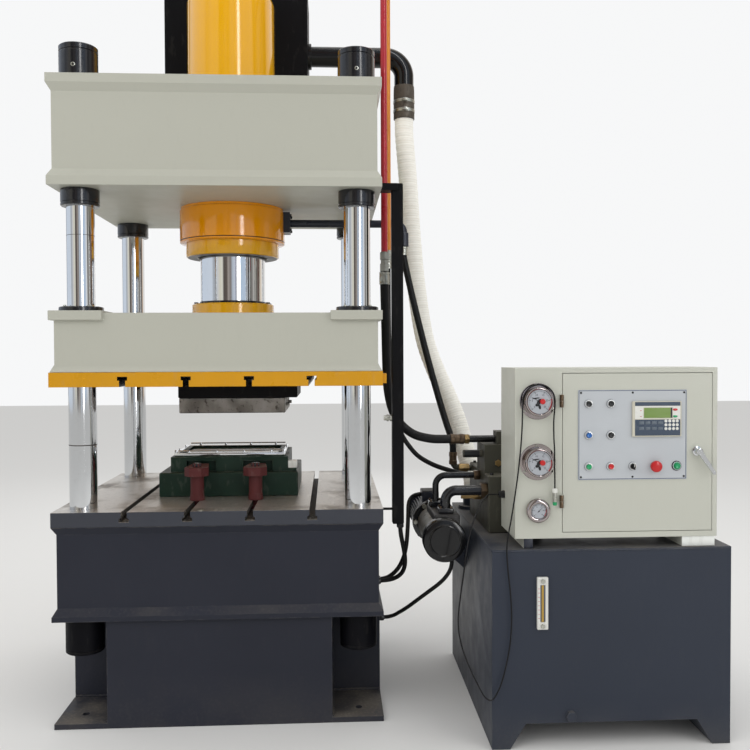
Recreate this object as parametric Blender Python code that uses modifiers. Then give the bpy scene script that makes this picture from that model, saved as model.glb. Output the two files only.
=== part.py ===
"""Four-column hydraulic press with its power unit.

Units are metres and +Z is up. The origin is the middle of the bed's underside, where
the press stands on the floor; the operator's side faces -Y.
"""
from math import atan2, cos, hypot, pi, radians, sin

import bmesh
import bpy
from mathutils import Vector

# Clearances
GAP = 0.0003               # between pieces that touch
SLIDE_FIT = 0.0005         # radial, between a running shaft and its bore

# Facets round a turned piece
LARGE_ROUND = 32
ROUND = 20
SMALL_ROUND = 12

# Press frame
PRESS_WIDTH = 1.200
PRESS_DEPTH = 1.025
WALL_INSET = 0.016         # box walls stand behind the plate edges by this much
BASE_THICKNESS = 0.020
LEDGE_BOTTOM = 0.397
LEDGE_EDGE = 0.018
WELD_HEIGHT = 0.028        # slope of the weld between a plate edge and a wall
TABLE_BOTTOM = 0.740
TABLE_THICKNESS = 0.054
NOTCH_WIDTH = 0.190        # corner recess of the lower box that holds a column nut
NOTCH_DEPTH = 0.252
ANCHOR_HOLE_RADIUS = 0.013
TABLE_TOP = TABLE_BOTTOM + TABLE_THICKNESS

# T-slots
SLOT_SPACING = 0.2265
SLOT_COUNT = 4
SLOT_NECK = 0.022
SLOT_HEAD = 0.036
SLOT_HEAD_HEIGHT = 0.014
SLOT_DEPTH = 0.037

# Columns and their nuts
COLUMN_RADIUS = 0.050
COLUMN_END_RADIUS = 0.045
COLUMN_X = 0.510
COLUMN_Y = 0.410
COLUMN_CLEAR_LENGTH = 1.176   # table top to the underside of the beam
NUT_RADIUS = 0.0695
BED_NUT_HEIGHT = 0.136
BEAM_NUT_HEIGHT = 0.062
TOP_NUT_HEIGHT = 0.123
NUT_CHAMFER = 0.004
NUT_SCREW_RADIUS = 0.005
NUT_SCREW_DEPTH = 0.012

# Top beam
BEAM_HEIGHT = 0.396
BEAM_PLATE = 0.032
BEAM_BOTTOM = TABLE_TOP + COLUMN_CLEAR_LENGTH
BEAM_TOP = BEAM_BOTTOM + BEAM_HEIGHT

# Main cylinder
CYLINDER_RADIUS = 0.180
CYLINDER_BORE = 0.150
CYLINDER_RISE = 0.499         # above the beam
CYLINDER_SHOULDER = 0.045
CYLINDER_HEAD = 0.065         # closed end
RING_RADIUS = 0.218
RING_HEIGHT = 0.146
RING_CHAMFER = 0.005
GLAND_RADIUS = 0.193
GLAND_HEIGHT = 0.058
CYLINDER_TOP = BEAM_TOP + CYLINDER_RISE
RING_BOTTOM = BEAM_BOTTOM - RING_HEIGHT
GLAND_BOTTOM = RING_BOTTOM - GLAND_HEIGHT

# Slide
SLIDE_OPENING = 0.452         # table top to the slide's underside at rest
SLIDE_PLATE_THICKNESS = 0.053
SLIDE_HEIGHT = 0.268          # plate and body, without the corner pads
PAD_SIZE = 0.190
PAD_THICKNESS = 0.035
PAD_RISE = 0.008
BUSH_RADIUS = 0.079
BUSH_HEIGHT = 0.016
SLIDE_BOTTOM = TABLE_TOP + SLIDE_OPENING
SLIDE_PLATE_TOP = SLIDE_BOTTOM + SLIDE_PLATE_THICKNESS
SLIDE_TOP = SLIDE_BOTTOM + SLIDE_HEIGHT
PAD_TOP = SLIDE_TOP + PAD_RISE
STRIKER_SIZE = (0.014, 0.060, 0.036)
STRIKER_FRONT = 0.010         # behind the slide's front edge

# Ram
RAM_RADIUS = 0.135
RAM_LENGTH = 1.086
PISTON_HEIGHT = 0.100
RAM_COLLAR = 0.004            # black clamping ring above the flange
RAM_COLLAR_HEIGHT = 0.010
FLANGE_RADIUS = 0.1705
FLANGE_HEIGHT = 0.058
FLANGE_CHAMFER = 0.003

# Dies
UPPER_PLATE_LOW = (-0.200, -0.190)
UPPER_PLATE_HIGH = (0.275, 0.190)
UPPER_PLATE_THICKNESS = 0.057
UPPER_BLOCK_LOW = (-0.200, -0.170)
UPPER_BLOCK_HIGH = (0.225, 0.170)
UPPER_BLOCK_THICKNESS = 0.062
DIE_PIN_RADIUS = 0.007
DIE_PIN_LENGTH = 0.014
DIE_BEVEL = 0.003
LOWER_STEP = (0.276, 0.200, 0.096)      # half width, half depth, height
UPPER_STEP = (0.235, 0.170, 0.060)
DIE_RIM = (0.222, 0.158, 0.012)
DIE_RIM_WIDTH = 0.030
DIE_KEY = (0.034, 0.040, 0.040)
DIE_POCKET = (0.116, 0.028, 0.0427)      # width, depth, height of the room before a clamp

# Hold-down clamps
CLAMP_Y = -0.275
CLAMP_STEM_RADIUS = 0.026
CLAMP_FOOT_RADIUS = 0.0285
CLAMP_HEAD_WIDTH = 0.092
CLAMP_HEAD_REACH = 0.096      # from the stem's axis towards the die
CLAMP_HEAD_BACK = 0.046
CLAMP_HEAD_THICKNESS = 0.034
CLAMP_NUT_RADIUS = 0.017
CLAMP_NUT_HEIGHT = 0.014

# Prefill tank and suction line
PREFILL_WIDTH = 0.628
PREFILL_DEPTH = 0.310
PREFILL_HEIGHT = 0.634
PREFILL_BEHIND = 0.010        # behind the cylinder
PREFILL_VALVE_RADIUS = 0.095
PREFILL_VALVE_HEIGHT = 0.090
PREFILL_PIPE_RADIUS = 0.036
SUCTION_RADIUS = 0.044
SUCTION_X = 0.748
SUCTION_Y = 0.250
SUCTION_Z = 2.704
SUCTION_END = 2.4283
SUCTION_BEND = 0.085
SUCTION_UNION_RADIUS = 0.056

# Pipes beside the press
PRESSURE_PIPE_RADIUS = 0.0125
PRESSURE_PIPE = (0.6205, -0.300)
PRESSURE_PIPE_BOTTOM = 1.6813
PRESSURE_PIPE_Z = 2.905
PRESSURE_NUT_RADIUS = 0.019
PRESSURE_NUT_LENGTH = 0.078
PILOT_PIPE_RADIUS = 0.011
PILOT_PIPE = (0.650, -0.100)
PILOT_PIPE_BOTTOM = 1.7513
PILOT_PIPE_Z = 2.930
PILOT_NUT_RADIUS = 0.015
PILOT_NUT_LENGTH = 0.040
PIPE_BEND = 0.060
ROD_PIPE_RADIUS = 0.0155
ROD_PIPE_X = 0.722
ROD_PIPE_Z = 1.915
ROD_PIPE_BOTTOM = 1.8183
ROD_BLOCK = (0.044, 0.078, 0.085)
ROD_NUT_RADIUS = 0.022
ROD_NUT_LENGTH = 0.060

# Limit-switch post
POST_X = 0.6615
POST_Y = -0.410
POST_WIDTH = 0.043
POST_BOTTOM = 0.720
POST_TOP = 2.000
POST_ARM_HEIGHT = 0.028
POST_ROD_RADIUS = 0.005
POST_ROD_Z = 0.775
SENSOR_Z = 1.120
SENSOR_RADIUS = 0.009
SENSOR_LENGTH = 0.030

# Oil tank
TANK_LEFT = 0.956
TANK_WIDTH = 0.838
TANK_FRONT = -0.745
TANK_DEPTH = 0.930
TANK_TOP = 0.690
TANK_FLOOR = 0.087            # underside of the oil space, between the skids
SKID_WIDTH = 0.058
SKID_SPREAD = 0.060           # how much wider a skid is at its top
INLET = (1.030, 0.050)
INLET_RADIUS = 0.046
INLET_HEIGHT = 0.070
FILLER = (0.200, 0.150)       # from the tank's right and back walls
FILLER_RADIUS = 0.045
FILLER_HEIGHT = 0.065
DRAIN = (1.230, 0.112)
DRAIN_RADIUS = 0.019
DRAIN_LENGTH = 0.014
SHELF_REACH = 0.165
SHELF_THICKNESS = 0.012
SHELF_LENGTH = 0.250
LEVEL_SIZE = (0.038, 0.014, 0.180)
LEVEL_LEFT = 1.110
LEVEL_BOTTOM = 0.4165
LEVEL_WINDOW = (0.018, 0.005, 0.128)

# Control cabinet
CABINET_LEFT = 1.038
CABINET_WIDTH = 0.708
CABINET_FRONT = -0.735
CABINET_DEPTH = 0.230
CABINET_BOTTOM = 0.725
CABINET_HEIGHT = 0.586
CABINET_SHEET = 0.003
DOOR_LEFT = 1.2035
DOOR_BOTTOM = 0.7465
DOOR_WIDTH = 0.5235
DOOR_HEIGHT = 0.545
DOOR_THICKNESS = 0.0195
DOOR_SHEET = 0.003
DOOR_RIM_GAP = 0.002
FRAME_LIP = 0.015
FRAME_LIP_THICKNESS = 0.0025
LEFT_BAY = 0.142
RAIL_X = 0.032
RAIL_WIDTH = 0.030
PAD_LEFT = 0.587
PAD_WIDTH = 0.115
HINGE_Z = (0.853, 1.198)
HINGE_RADIUS = 0.006
HINGE_LENGTH = 0.044
HINGE_PIN_RADIUS = 0.003
HINGE_STANDOFF = 0.0065       # pin axis in front of the cabinet's face
HINGE_LEAF = 0.018
HINGE_LEAF_THICKNESS = 0.002
GLAND_Y = -0.560
GLAND_Z = 0.850
CABLE_GLAND_RADIUS = 0.012
CABLE_GLAND_LENGTH = 0.020

# Operating panel on the door
PANEL_LEFT = 1.256
PANEL_WIDTH = 0.381
PANEL_BOTTOM = 0.925
PANEL_HEIGHT = 0.310
PANEL_THICKNESS = 0.002
DISPLAY_LEFT = 1.443
DISPLAY_BOTTOM = 1.073
DISPLAY_SIZE = (0.172, 0.008, 0.122)
DISPLAY_BODY_DEPTH = 0.030
DISPLAY_BODY_INSET = 0.010
SCREEN_RECESS = 0.002
CONTROL_LEFT = 1.2925
CONTROL_PITCH = 0.0771
CONTROL_ROWS = (0.9715, 1.0795, 1.1875)
BEZEL_RADIUS = 0.0145
BEZEL_BORE = 0.0110
BEZEL_HEIGHT = 0.006
CAP_RADIUS = 0.0104
CAP_BACK = 0.0046
CAP_HEIGHT = 0.0110
STEM_RADIUS = 0.0060
STEM_LENGTH = 0.034
STEM_HOLE = 0.0080
CAP_CHAMFER = 0.001
MUSHROOM_RADIUS = 0.0200
MUSHROOM_BACK = 0.0135
MUSHROOM_HEIGHT = 0.0270
SELECTOR_BAR = (0.0070, 0.0200, 0.0110)

# Door handle
HANDLE_X = 1.673
HANDLE_Z = 1.022
HANDLE_TIP = (0.055, -0.080)
HANDLE_HUB_RADIUS = 0.012
HANDLE_STANDOFF = 0.030
HANDLE_BAR_WIDTH = 0.014
HANDLE_BAR_THICKNESS = 0.009
HANDLE_SHAFT_RADIUS = 0.0055
CAM_LENGTH = 0.026
CAM_WIDTH = 0.014
CAM_THICKNESS = 0.003

# Pressure gauges
GAUGE_X = 1.116
GAUGE_Z = (1.197, 0.989)
GAUGE_FLANGE_RADIUS = 0.0625
GAUGE_FLANGE_THICKNESS = 0.003
GAUGE_BODY_RADIUS = 0.050
GAUGE_DIAL_RADIUS = 0.044
GAUGE_RISE = 0.034
GAUGE_RECESS = 0.006
GAUGE_BACK_RADIUS = 0.038
GAUGE_BACK_DEPTH = 0.030
GAUGE_KNOB = (0.009, 0.001, 0.0095, 0.009)   # x, z, radius, height
SMALL_GAUGE_Z = 0.823
SMALL_GAUGE_RADIUS = 0.041
SMALL_GAUGE_DIAL = 0.026
SMALL_GAUGE_RISE = 0.024
SMALL_GAUGE_BACK = 0.024

# Pump, motor and valves
PUMP_X = 0.822
PUMP_Z = 0.680
PUMP_FRONT = -0.560
PUMP_LENGTH = 0.385
PUMP_COVER_RADIUS = 0.079
PUMP_COVER_LENGTH = 0.060
PUMP_BODY_RADIUS = 0.066
PUMP_FLANGE_RADIUS = 0.083
PUMP_FLANGE_THICKNESS = 0.022
PUMP_BOSS_RADIUS = 0.056
PUMP_BOSS_STEP = 0.004
PORT_BLOCK = ((0.790, -0.500, 0.690), (0.885, -0.250, 0.765))
MOTOR_RADIUS = 0.076
MOTOR_LENGTH = 0.290
MOTOR_COWL_LENGTH = 0.060
MOTOR_FOOT_WIDTH = 0.110
TERMINAL_BOX = (0.070, 0.090, 0.055)
CABLE_START = (0.858, -0.470, 0.5977)         # under the pump
PIPE_A = (0.837, -0.450)      # discharge, with its bend above the cover
PIPE_A_Z = 0.848
PIPE_A_RADIUS = 0.019
PIPE_B = (0.819, -0.300)
PIPE_B_Z = 0.884
PIPE_B_RADIUS = 0.0125
PORT_FLANGE = (0.056, 0.020)
PUMP_PIPE_BEND = 0.040
MANIFOLD_LOW = (0.995, -0.480, 0.6903)
MANIFOLD_HIGH = (1.200, -0.060, 0.905)
VALVE_LOW = (0.995, -0.400, 0.905)
VALVE_HIGH = (1.170, -0.240, 1.0125)
SOLENOID = (-0.330, 0.972, 0.0145, 0.072)     # y, z, radius, length
STUB_START = (0.8705, -0.350, 1.0315)
STUB_RADIUS = 0.0125
STUB_FLANGE = ((1.045, -0.385, 1.0), (1.110, -0.315, 1.062))
ROD_STUB = (0.918, -0.100, 0.9523)
ROD_STUB_Z = 0.885
ROD_STUB_RADIUS = 0.0130

# Hoses and cables: radius, and the points that each route passes
SUCTION_HOSE_RADIUS = 0.0425
SUCTION_HOSE = (
    (0.748, 0.250, 2.426), (0.748, 0.250, 2.370), (0.757, 0.248, 2.250), (0.766, 0.245, 2.130),
    (0.783, 0.240, 1.860), (0.804, 0.230, 1.640), (0.836, 0.220, 1.435), (0.880, 0.200, 1.298),
    (0.934, 0.172, 1.170), (0.972, 0.145, 1.065), (0.998, 0.115, 0.960), (1.020, 0.078, 0.865),
    (1.030, 0.050, 0.800), (1.030, 0.050, 0.7605))
PRESSURE_HOSE_RADIUS = 0.0170
PRESSURE_HOSE = (
    (0.6205, -0.30, 1.681), (0.6205, -0.30, 1.630), (0.6245, -0.30, 1.456), (0.627, -0.30, 1.330),
    (0.632, -0.301, 1.225), (0.649, -0.307, 1.145), (0.680, -0.318, 1.090), (0.730, -0.332, 1.050),
    (0.790, -0.345, 1.034), (0.840, -0.35, 1.0315), (0.870, -0.35, 1.0315))
PILOT_HOSE_RADIUS = 0.0095
PILOT_HOSE = (
    (0.650, -0.100, 1.751), (0.650, -0.100, 1.700), (0.651, -0.100, 1.462), (0.656, -0.100, 1.300),
    (0.664, -0.100, 1.180), (0.678, -0.102, 1.100), (0.702, -0.107, 1.030), (0.732, -0.120, 0.981),
    (0.770, -0.148, 0.940), (0.828, -0.183, 0.909), (0.895, -0.218, 0.889), (0.950, -0.236, 0.878),
    (0.9947, -0.236, 0.878))
ROD_HOSE_RADIUS = 0.0140
ROD_HOSE = (
    (0.722, 0.000, 1.818), (0.722, 0.000, 1.780), (0.747, 0.000, 1.660), (0.783, 0.000, 1.507),
    (0.825, -0.01, 1.336), (0.866, -0.03, 1.180), (0.893, -0.061, 1.078), (0.9095, -0.087, 1.020),
    (0.9172, -0.0985, 0.984), (0.918, -0.10, 0.966), (0.918, -0.10, 0.9526))
MOTOR_CABLE_RADIUS = 0.0075
MOTOR_CABLE = (
    CABLE_START, (0.858, -0.47, 0.580), (0.8545, -0.4685, 0.560), (0.8455, -0.4635, 0.538),
    (0.829, -0.451, 0.512), (0.806, -0.428, 0.483), (0.776, -0.392, 0.448), (0.743, -0.351, 0.409),
    (0.711, -0.311, 0.371), (0.687, -0.281, 0.345), (0.6718, -0.2579, 0.3286), (0.6635, -0.2497, 0.3206),
    (0.649, -0.2409, 0.3122), (0.6317, -0.2354, 0.3068), (0.613, -0.2335, 0.305),
    (0.6003, -0.2335, 0.305))
SWITCH_CONDUIT_RADIUS = 0.0085
SWITCH_CONDUIT = (
    (0.670, -0.41, 0.7197), (0.670, -0.41, 0.7077), (0.6723, -0.4068, 0.6816), (0.6777, -0.3981, 0.6523),
    (0.6843, -0.3854, 0.6211), (0.6901, -0.3699, 0.5895), (0.6932, -0.353, 0.5588),
    (0.6914, -0.3361, 0.5306), (0.6828, -0.3206, 0.5062), (0.6654, -0.3079, 0.487),
    (0.6372, -0.2992, 0.4745), (0.5963, -0.296, 0.470), (0.5843, -0.296, 0.470))
MOTOR_CONDUIT_RADIUS = 0.0085
MOTOR_CONDUIT = (
    (0.7867, -0.07, 0.772), (0.780, -0.07, 0.772), (0.756, -0.0735, 0.7665), (0.7385, -0.084, 0.752),
    (0.730, -0.103, 0.730), (0.7262, -0.133, 0.700), (0.7215, -0.167, 0.664), (0.716, -0.198, 0.627),
    (0.709, -0.224, 0.587), (0.697, -0.242, 0.548), (0.679, -0.252, 0.514), (0.656, -0.2565, 0.4885),
    (0.629, -0.258, 0.4718), (0.599, -0.258, 0.466), (0.5843, -0.258, 0.466))
GAUGE_WIRE_RADIUS = 0.0025
GAUGE_WIRE = (
    (1.1715, -0.752, 0.9003), (1.1715, -0.752, 0.925), (1.169, -0.757, 0.985), (1.169, -0.757, 1.030),
    (1.168, -0.752, 1.075), (1.1675, -0.752, 1.130), (1.1705, -0.755, 1.185), (1.166, -0.756, 1.222),
    (1.146, -0.756, 1.246), (1.116, -0.756, 1.255), (1.086, -0.756, 1.246), (1.066, -0.755, 1.222),
    (1.0605, -0.753, 1.185), (1.059, -0.750, 1.110), (1.055, -0.747, 1.040), (1.047, -0.745, 0.960),
    (1.035, -0.744, 0.870), (1.022, -0.746, 0.793), (1.010, -0.752, 0.735), (1.005, -0.757, 0.690),
    (1.009, -0.758, 0.620), (1.017, -0.758, 0.545), (1.021, -0.758, 0.470), (1.018, -0.758, 0.390),
    (1.006, -0.759, 0.315), (0.988, -0.761, 0.245), (0.968, -0.764, 0.200), (0.948, -0.766, 0.181),
    (0.925, -0.766, 0.197), (0.899, -0.765, 0.245), (0.870, -0.765, 0.308), (0.846, -0.765, 0.380),
    (0.837, -0.763, 0.452), (0.845, -0.758, 0.532), (0.858, -0.748, 0.610), (0.872, -0.735, 0.694),
    (0.895, -0.710, 0.772), (0.930, -0.660, 0.828), (0.970, -0.585, 0.850), (0.995, -0.560, 0.850),
    (1.0175, -0.560, 0.850))
CONNECTOR_RADIUS = 0.0075
CONNECTOR_LENGTH = 0.058
CONNECTOR_CAP_RADIUS = 0.0090
CONNECTOR_CAP_LENGTH = 0.014

# Colours: red, green, blue, roughness, metallic
FINISHES = {
    "grey_paint": (0.46, 0.47, 0.41, 0.45, 0.0),
    "yellow_paint": (0.76, 0.36, 0.02, 0.35, 0.0),
    "bed_paint": (0.030, 0.034, 0.050, 0.55, 0.0),
    "tank_paint": (0.042, 0.052, 0.073, 0.50, 0.0),
    "black_paint": (0.012, 0.012, 0.014, 0.45, 0.0),
    "black_nut": (0.010, 0.011, 0.016, 0.22, 0.0),
    "bright_steel": (0.55, 0.54, 0.52, 0.30, 1.0),
    "chrome": (0.75, 0.76, 0.78, 0.10, 1.0),
    "red_paint": (0.38, 0.012, 0.030, 0.35, 0.0),
    "orange_paint": (0.75, 0.28, 0.05, 0.40, 0.0),
    "die_green": (0.010, 0.032, 0.018, 0.50, 0.0),
    "clamp_red": (0.22, 0.045, 0.045, 0.60, 0.0),
    "hose_rubber": (0.012, 0.012, 0.013, 0.55, 0.0),
    "hose_cloth": (0.83, 0.78, 0.64, 0.85, 0.0),
    "panel_light": (0.62, 0.64, 0.60, 0.40, 0.0),
    "display_case": (0.60, 0.55, 0.42, 0.45, 0.0),
    "button_black": (0.015, 0.015, 0.017, 0.35, 0.0),
    "button_blue": (0.02, 0.07, 0.35, 0.35, 0.0),
    "button_green": (0.01, 0.32, 0.10, 0.35, 0.0),
    "button_red": (0.55, 0.01, 0.01, 0.35, 0.0),
    "level_white": (0.75, 0.75, 0.72, 0.35, 0.0),
    "valve_grey": (0.16, 0.15, 0.12, 0.50, 0.3),
}


def new_collection(name):
    """Make a collection in the scene and return it."""
    made = bpy.data.collections.new(name)
    bpy.context.scene.collection.children.link(made)
    return made


def clear_scene():
    """Remove every object that the file starts with."""
    for old in list(bpy.data.objects):
        bpy.data.objects.remove(old)


def finish(name):
    """Return the named finish as a material, made once."""
    if name in bpy.data.materials:
        return bpy.data.materials[name]
    red, green, blue, roughness, metallic = FINISHES[name]
    made = bpy.data.materials.new(name)
    made.use_nodes = True
    shader = made.node_tree.nodes["Principled BSDF"]
    shader.inputs["Base Color"].default_value = (red, green, blue, 1.0)
    shader.inputs["Roughness"].default_value = roughness
    shader.inputs["Metallic"].default_value = metallic
    made.diffuse_color = (red, green, blue, 1.0)
    return made


def place(name, mesh, at=(0.0, 0.0, 0.0), turn=(0.0, 0.0, 0.0)):
    """Link a mesh as an object at its place."""
    made = bpy.data.objects.new(name, mesh)
    made.location = at
    made.rotation_euler = turn
    PARTS.objects.link(made)
    return made


def baked(source, name, flat_ends=False):
    """Turn a curve or a modified object into a plain welded mesh object.

    With flat ends, the fans round the local Z axis become single faces.
    """
    bpy.context.view_layer.update()
    graph = bpy.context.evaluated_depsgraph_get()
    mesh = bpy.data.meshes.new_from_object(source.evaluated_get(graph))
    shape = bmesh.new()
    shape.from_mesh(mesh)
    bmesh.ops.remove_doubles(shape, verts=shape.verts, dist=1e-5)
    bmesh.ops.dissolve_degenerate(shape, edges=shape.edges, dist=1e-6)
    poles = [vert for vert in shape.verts if hypot(vert.co.x, vert.co.y) < 1e-6]
    if flat_ends:
        bmesh.ops.dissolve_verts(shape, verts=poles)
    bmesh.ops.recalc_face_normals(shape, faces=shape.faces)
    shape.to_mesh(mesh)
    shape.free()
    mesh.shade_smooth()
    mesh.set_sharp_from_angle(angle=radians(40))
    made = place(name, mesh)
    made.matrix_world = source.matrix_world.copy()
    bpy.data.objects.remove(source)
    return made


def block(name, low, high, at=(0.0, 0.0, 0.0)):
    """A box between two corners given in the row's frame, with its origin at a point."""
    shape = bmesh.new()
    bmesh.ops.create_cube(shape, size=1.0)
    size = Vector(high) - Vector(low)
    middle = (Vector(high) + Vector(low)) / 2 - Vector(at)
    bmesh.ops.scale(shape, vec=size, verts=shape.verts)
    bmesh.ops.translate(shape, vec=middle, verts=shape.verts)
    mesh = bpy.data.meshes.new(name)
    shape.to_mesh(mesh)
    shape.free()
    return place(name, mesh, at)


def stacked(name, sections):
    """A rectangular body drawn up through sections of (height, half width, half depth)."""
    shape = bmesh.new()
    bmesh.ops.create_cube(shape, size=2.0)
    ends = [[vert for vert in shape.verts if vert.co.z * side > 0] for side in (-1, 1)]
    for verts, section in zip(ends, sections):
        side = verts[0].co.z
        bmesh.ops.scale(shape, vec=(section[1], section[2], 1.0), verts=verts)
        bmesh.ops.translate(shape, vec=(0.0, 0.0, section[0] - side), verts=verts)
    shape.normal_update()
    top = [face for face in shape.faces if face.normal.z > 0.99]
    below = sections[1]
    for section in sections[2:]:
        grown = bmesh.ops.extrude_discrete_faces(shape, faces=top)["faces"]
        top = grown
        verts = list(grown[0].verts)
        growth = (section[1] / below[1], section[2] / below[2], 1.0)
        bmesh.ops.scale(shape, vec=growth, verts=verts)
        bmesh.ops.translate(shape, vec=(0.0, 0.0, section[0] - below[0]), verts=verts)
        below = section
    bmesh.ops.recalc_face_normals(shape, faces=shape.faces)
    mesh = bpy.data.meshes.new(name)
    shape.to_mesh(mesh)
    shape.free()
    return place(name, mesh)


AXIS_TURN = {"Z": (0.0, 0.0, 0.0), "-Y": (pi / 2, 0.0, 0.0), "X": (0.0, pi / 2, 0.0)}


def turned(name, outline, at=(0.0, 0.0, 0.0), axis="Z", steps=ROUND, ring=False):
    """A turned piece from (radius, height) points that run down its outer side.

    The heights run along the named axis. A ring's outline closes on itself; any other
    starts and ends on the axis.
    """
    shape = bmesh.new()
    points = [shape.verts.new((radius, 0.0, height)) for radius, height in outline]
    for one, other in zip(points, points[1:]):
        shape.edges.new((one, other))
    if ring:
        shape.edges.new((points[-1], points[0]))
    mesh = bpy.data.meshes.new(name)
    shape.to_mesh(mesh)
    shape.free()
    profile = place(name + "_profile", mesh, at, AXIS_TURN[axis])
    screw = profile.modifiers.new("Turn", "SCREW")
    screw.axis = "Z"
    screw.angle = 2 * pi
    screw.screw_offset = 0.0
    screw.steps = steps
    screw.render_steps = steps
    screw.use_merge_vertices = True
    screw.merge_threshold = 0.00001
    return baked(profile, name, flat_ends=True)


def rod(name, radius, low, high, at=(0.0, 0.0, 0.0), axis="Z", steps=ROUND, chamfer=0.0):
    """A round bar from one height to another along an axis, with chamfered ends."""
    if chamfer:
        outline = ((0.0, high), (radius - chamfer, high), (radius, high - chamfer),
                   (radius, low + chamfer), (radius - chamfer, low), (0.0, low))
    else:
        outline = ((0.0, high), (radius, high), (radius, low), (0.0, low))
    return turned(name, outline, at, axis, steps)


def prism(name, outline, low, high, at=(0.0, 0.0, 0.0), axis="-Y"):
    """A flat outline given thickness along an axis, from one height to another."""
    drawn = bpy.data.curves.new(name + "_outline", "CURVE")
    drawn.dimensions = "2D"
    drawn.fill_mode = "BOTH"
    drawn.extrude = (high - low) / 2
    line = drawn.splines.new("POLY")
    line.points.add(len(outline) - 1)
    for point, (across, up) in zip(line.points, outline):
        point.co = (across, up, 0.0, 1.0)
    line.use_cyclic_u = True
    turn = AXIS_TURN[axis]
    shift = {"Z": (0, 0, 1), "-Y": (0, -1, 0), "X": (1, 0, 0)}[axis]
    middle = Vector(at) + Vector(shift) * (high + low) / 2
    source = place(name + "_outline", drawn, middle, turn)
    return baked(source, name)


def add_tube(name, points, radius, resolution):
    """A curve object along points, with round section and filled ends."""
    drawn = bpy.data.curves.new(name, "CURVE")
    drawn.dimensions = "3D"
    drawn.bevel_depth = radius
    drawn.bevel_resolution = resolution
    drawn.use_fill_caps = True
    line = drawn.splines.new("POLY")
    line.points.add(len(points) - 1)
    for point, place_at in zip(line.points, points):
        point.co = (*place_at, 1.0)
    return place(name, drawn)


def rounded_route(corners, bend, steps=6):
    """Points along straight runs whose corners are arcs of a bend radius."""
    corners = [Vector(corner) for corner in corners]
    route = [corners[0]]
    for before, corner, after in zip(corners, corners[1:], corners[2:]):
        back = (before - corner).normalized()
        ahead = (after - corner).normalized()
        half = back.angle(ahead) / 2
        reach = bend * cos(half) / sin(half)
        centre = corner + (back + ahead).normalized() * bend / sin(half)
        start = corner + back * reach - centre
        end = corner + ahead * reach - centre
        sweep = start.angle(end)
        for step in range(steps + 1):
            share = step / steps
            weight = (sin((1 - share) * sweep) / sin(sweep), sin(share * sweep) / sin(sweep))
            route.append(centre + start * weight[0] + end * weight[1])
    route.append(corners[-1])
    return route


def pipe(name, corners, radius, bend, resolution=4):
    """A bent steel pipe as a plain mesh."""
    return baked(add_tube(name + "_line", rounded_route(corners, bend), radius, resolution), name)


def thinned(points, slack):
    """The points of a line that are needed to keep it within a slack of its course."""
    start, end = points[0], points[-1]
    along = (end - start).normalized()
    worst = 0.0
    split = 0
    for index, point in enumerate(points[1:-1], 1):
        off = ((point - start) - along * along.dot(point - start)).length
        if off > worst:
            worst = off
            split = index
    if worst <= slack:
        return [start, end]
    return thinned(points[:split + 1], slack)[:-1] + thinned(points[split:], slack)


def smooth_route(points, slack):
    """A smooth curve through a route's points, straight at both ends, in as few points as it needs."""
    knots = [Vector(point) for point in points]
    fine = []
    for before, one, other, after in zip(knots, knots[1:], knots[2:], knots[3:]):
        for step in range(10):
            share = step / 10
            fine.append(0.5 * (2 * one + (other - before) * share
                               + (2 * before - 5 * one + 4 * other - after) * share ** 2
                               + (3 * one - before - 3 * other + after) * share ** 3))
    return [knots[0]] + thinned(fine + [knots[-2]], slack) + [knots[-1]]


def cord(name, points, radius, material, slack, resolution=2):
    """A hose or cable that hangs freely, along its own route."""
    made = add_tube(name, smooth_route(points, slack), radius, resolution)
    made.data.materials.append(finish(material))
    return made


def hide_tool(tool):
    """Put a cutter or a fused shape aside, where nothing renders it."""
    for holder in list(tool.users_collection):
        holder.objects.unlink(tool)
    TOOLS.objects.link(tool)
    tool.hide_render = True
    tool.display_type = "WIRE"


def combine(target, operation, tools):
    """Apply one kind of boolean to a piece, a tool at a time."""
    for tool in tools:
        hide_tool(tool)
        step = target.modifiers.new(tool.name, "BOOLEAN")
        step.operation = operation
        step.solver = "EXACT"
        step.object = tool
    return target


def cut(target, *tools):
    """Cut shapes out of a piece."""
    return combine(target, "DIFFERENCE", tools)


def fuse(target, *tools):
    """Make further shapes part of a piece."""
    return combine(target, "UNION", tools)


def chamfer(piece, width):
    """Bevel a piece's sharp edges before it is cut."""
    step = piece.modifiers.new("Edges", "BEVEL")
    step.width = width
    step.segments = 1
    step.limit_method = "ANGLE"
    step.angle_limit = radians(40)
    return piece


def paint(piece, name):
    """Give a piece its own finish."""
    piece.data.materials.clear()
    piece.data.materials.append(finish(name))
    return piece


def corners():
    """The four column places, each with a name."""
    for depth_name, side_y in (("front", -1), ("back", 1)):
        for width_name, side_x in (("left", -1), ("right", 1)):
            yield depth_name + "_" + width_name, side_x, side_y


def slot_places():
    """The X place of each T-slot."""
    return [(index - (SLOT_COUNT - 1) / 2) * SLOT_SPACING for index in range(SLOT_COUNT)]


def slot_cutters(name, face, inward):
    """T-slot cutters from a face into a plate; inward is -1 downwards and 1 upwards."""
    made = []
    for index, across in enumerate(slot_places()):
        half_neck = SLOT_NECK / 2
        half_head = SLOT_HEAD / 2
        mouth = -0.01
        shoulder = SLOT_DEPTH - SLOT_HEAD_HEIGHT
        drawn = ((-half_neck, mouth), (half_neck, mouth), (half_neck, shoulder), (half_head, shoulder),
                 (half_head, SLOT_DEPTH), (-half_head, SLOT_DEPTH), (-half_head, shoulder),
                 (-half_neck, shoulder))
        outline = [(across + x, face + inward * depth) for x, depth in drawn]
        made.append(prism(f"{name}_slot_{index}", outline, -PRESS_DEPTH, PRESS_DEPTH))
    return made


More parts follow.
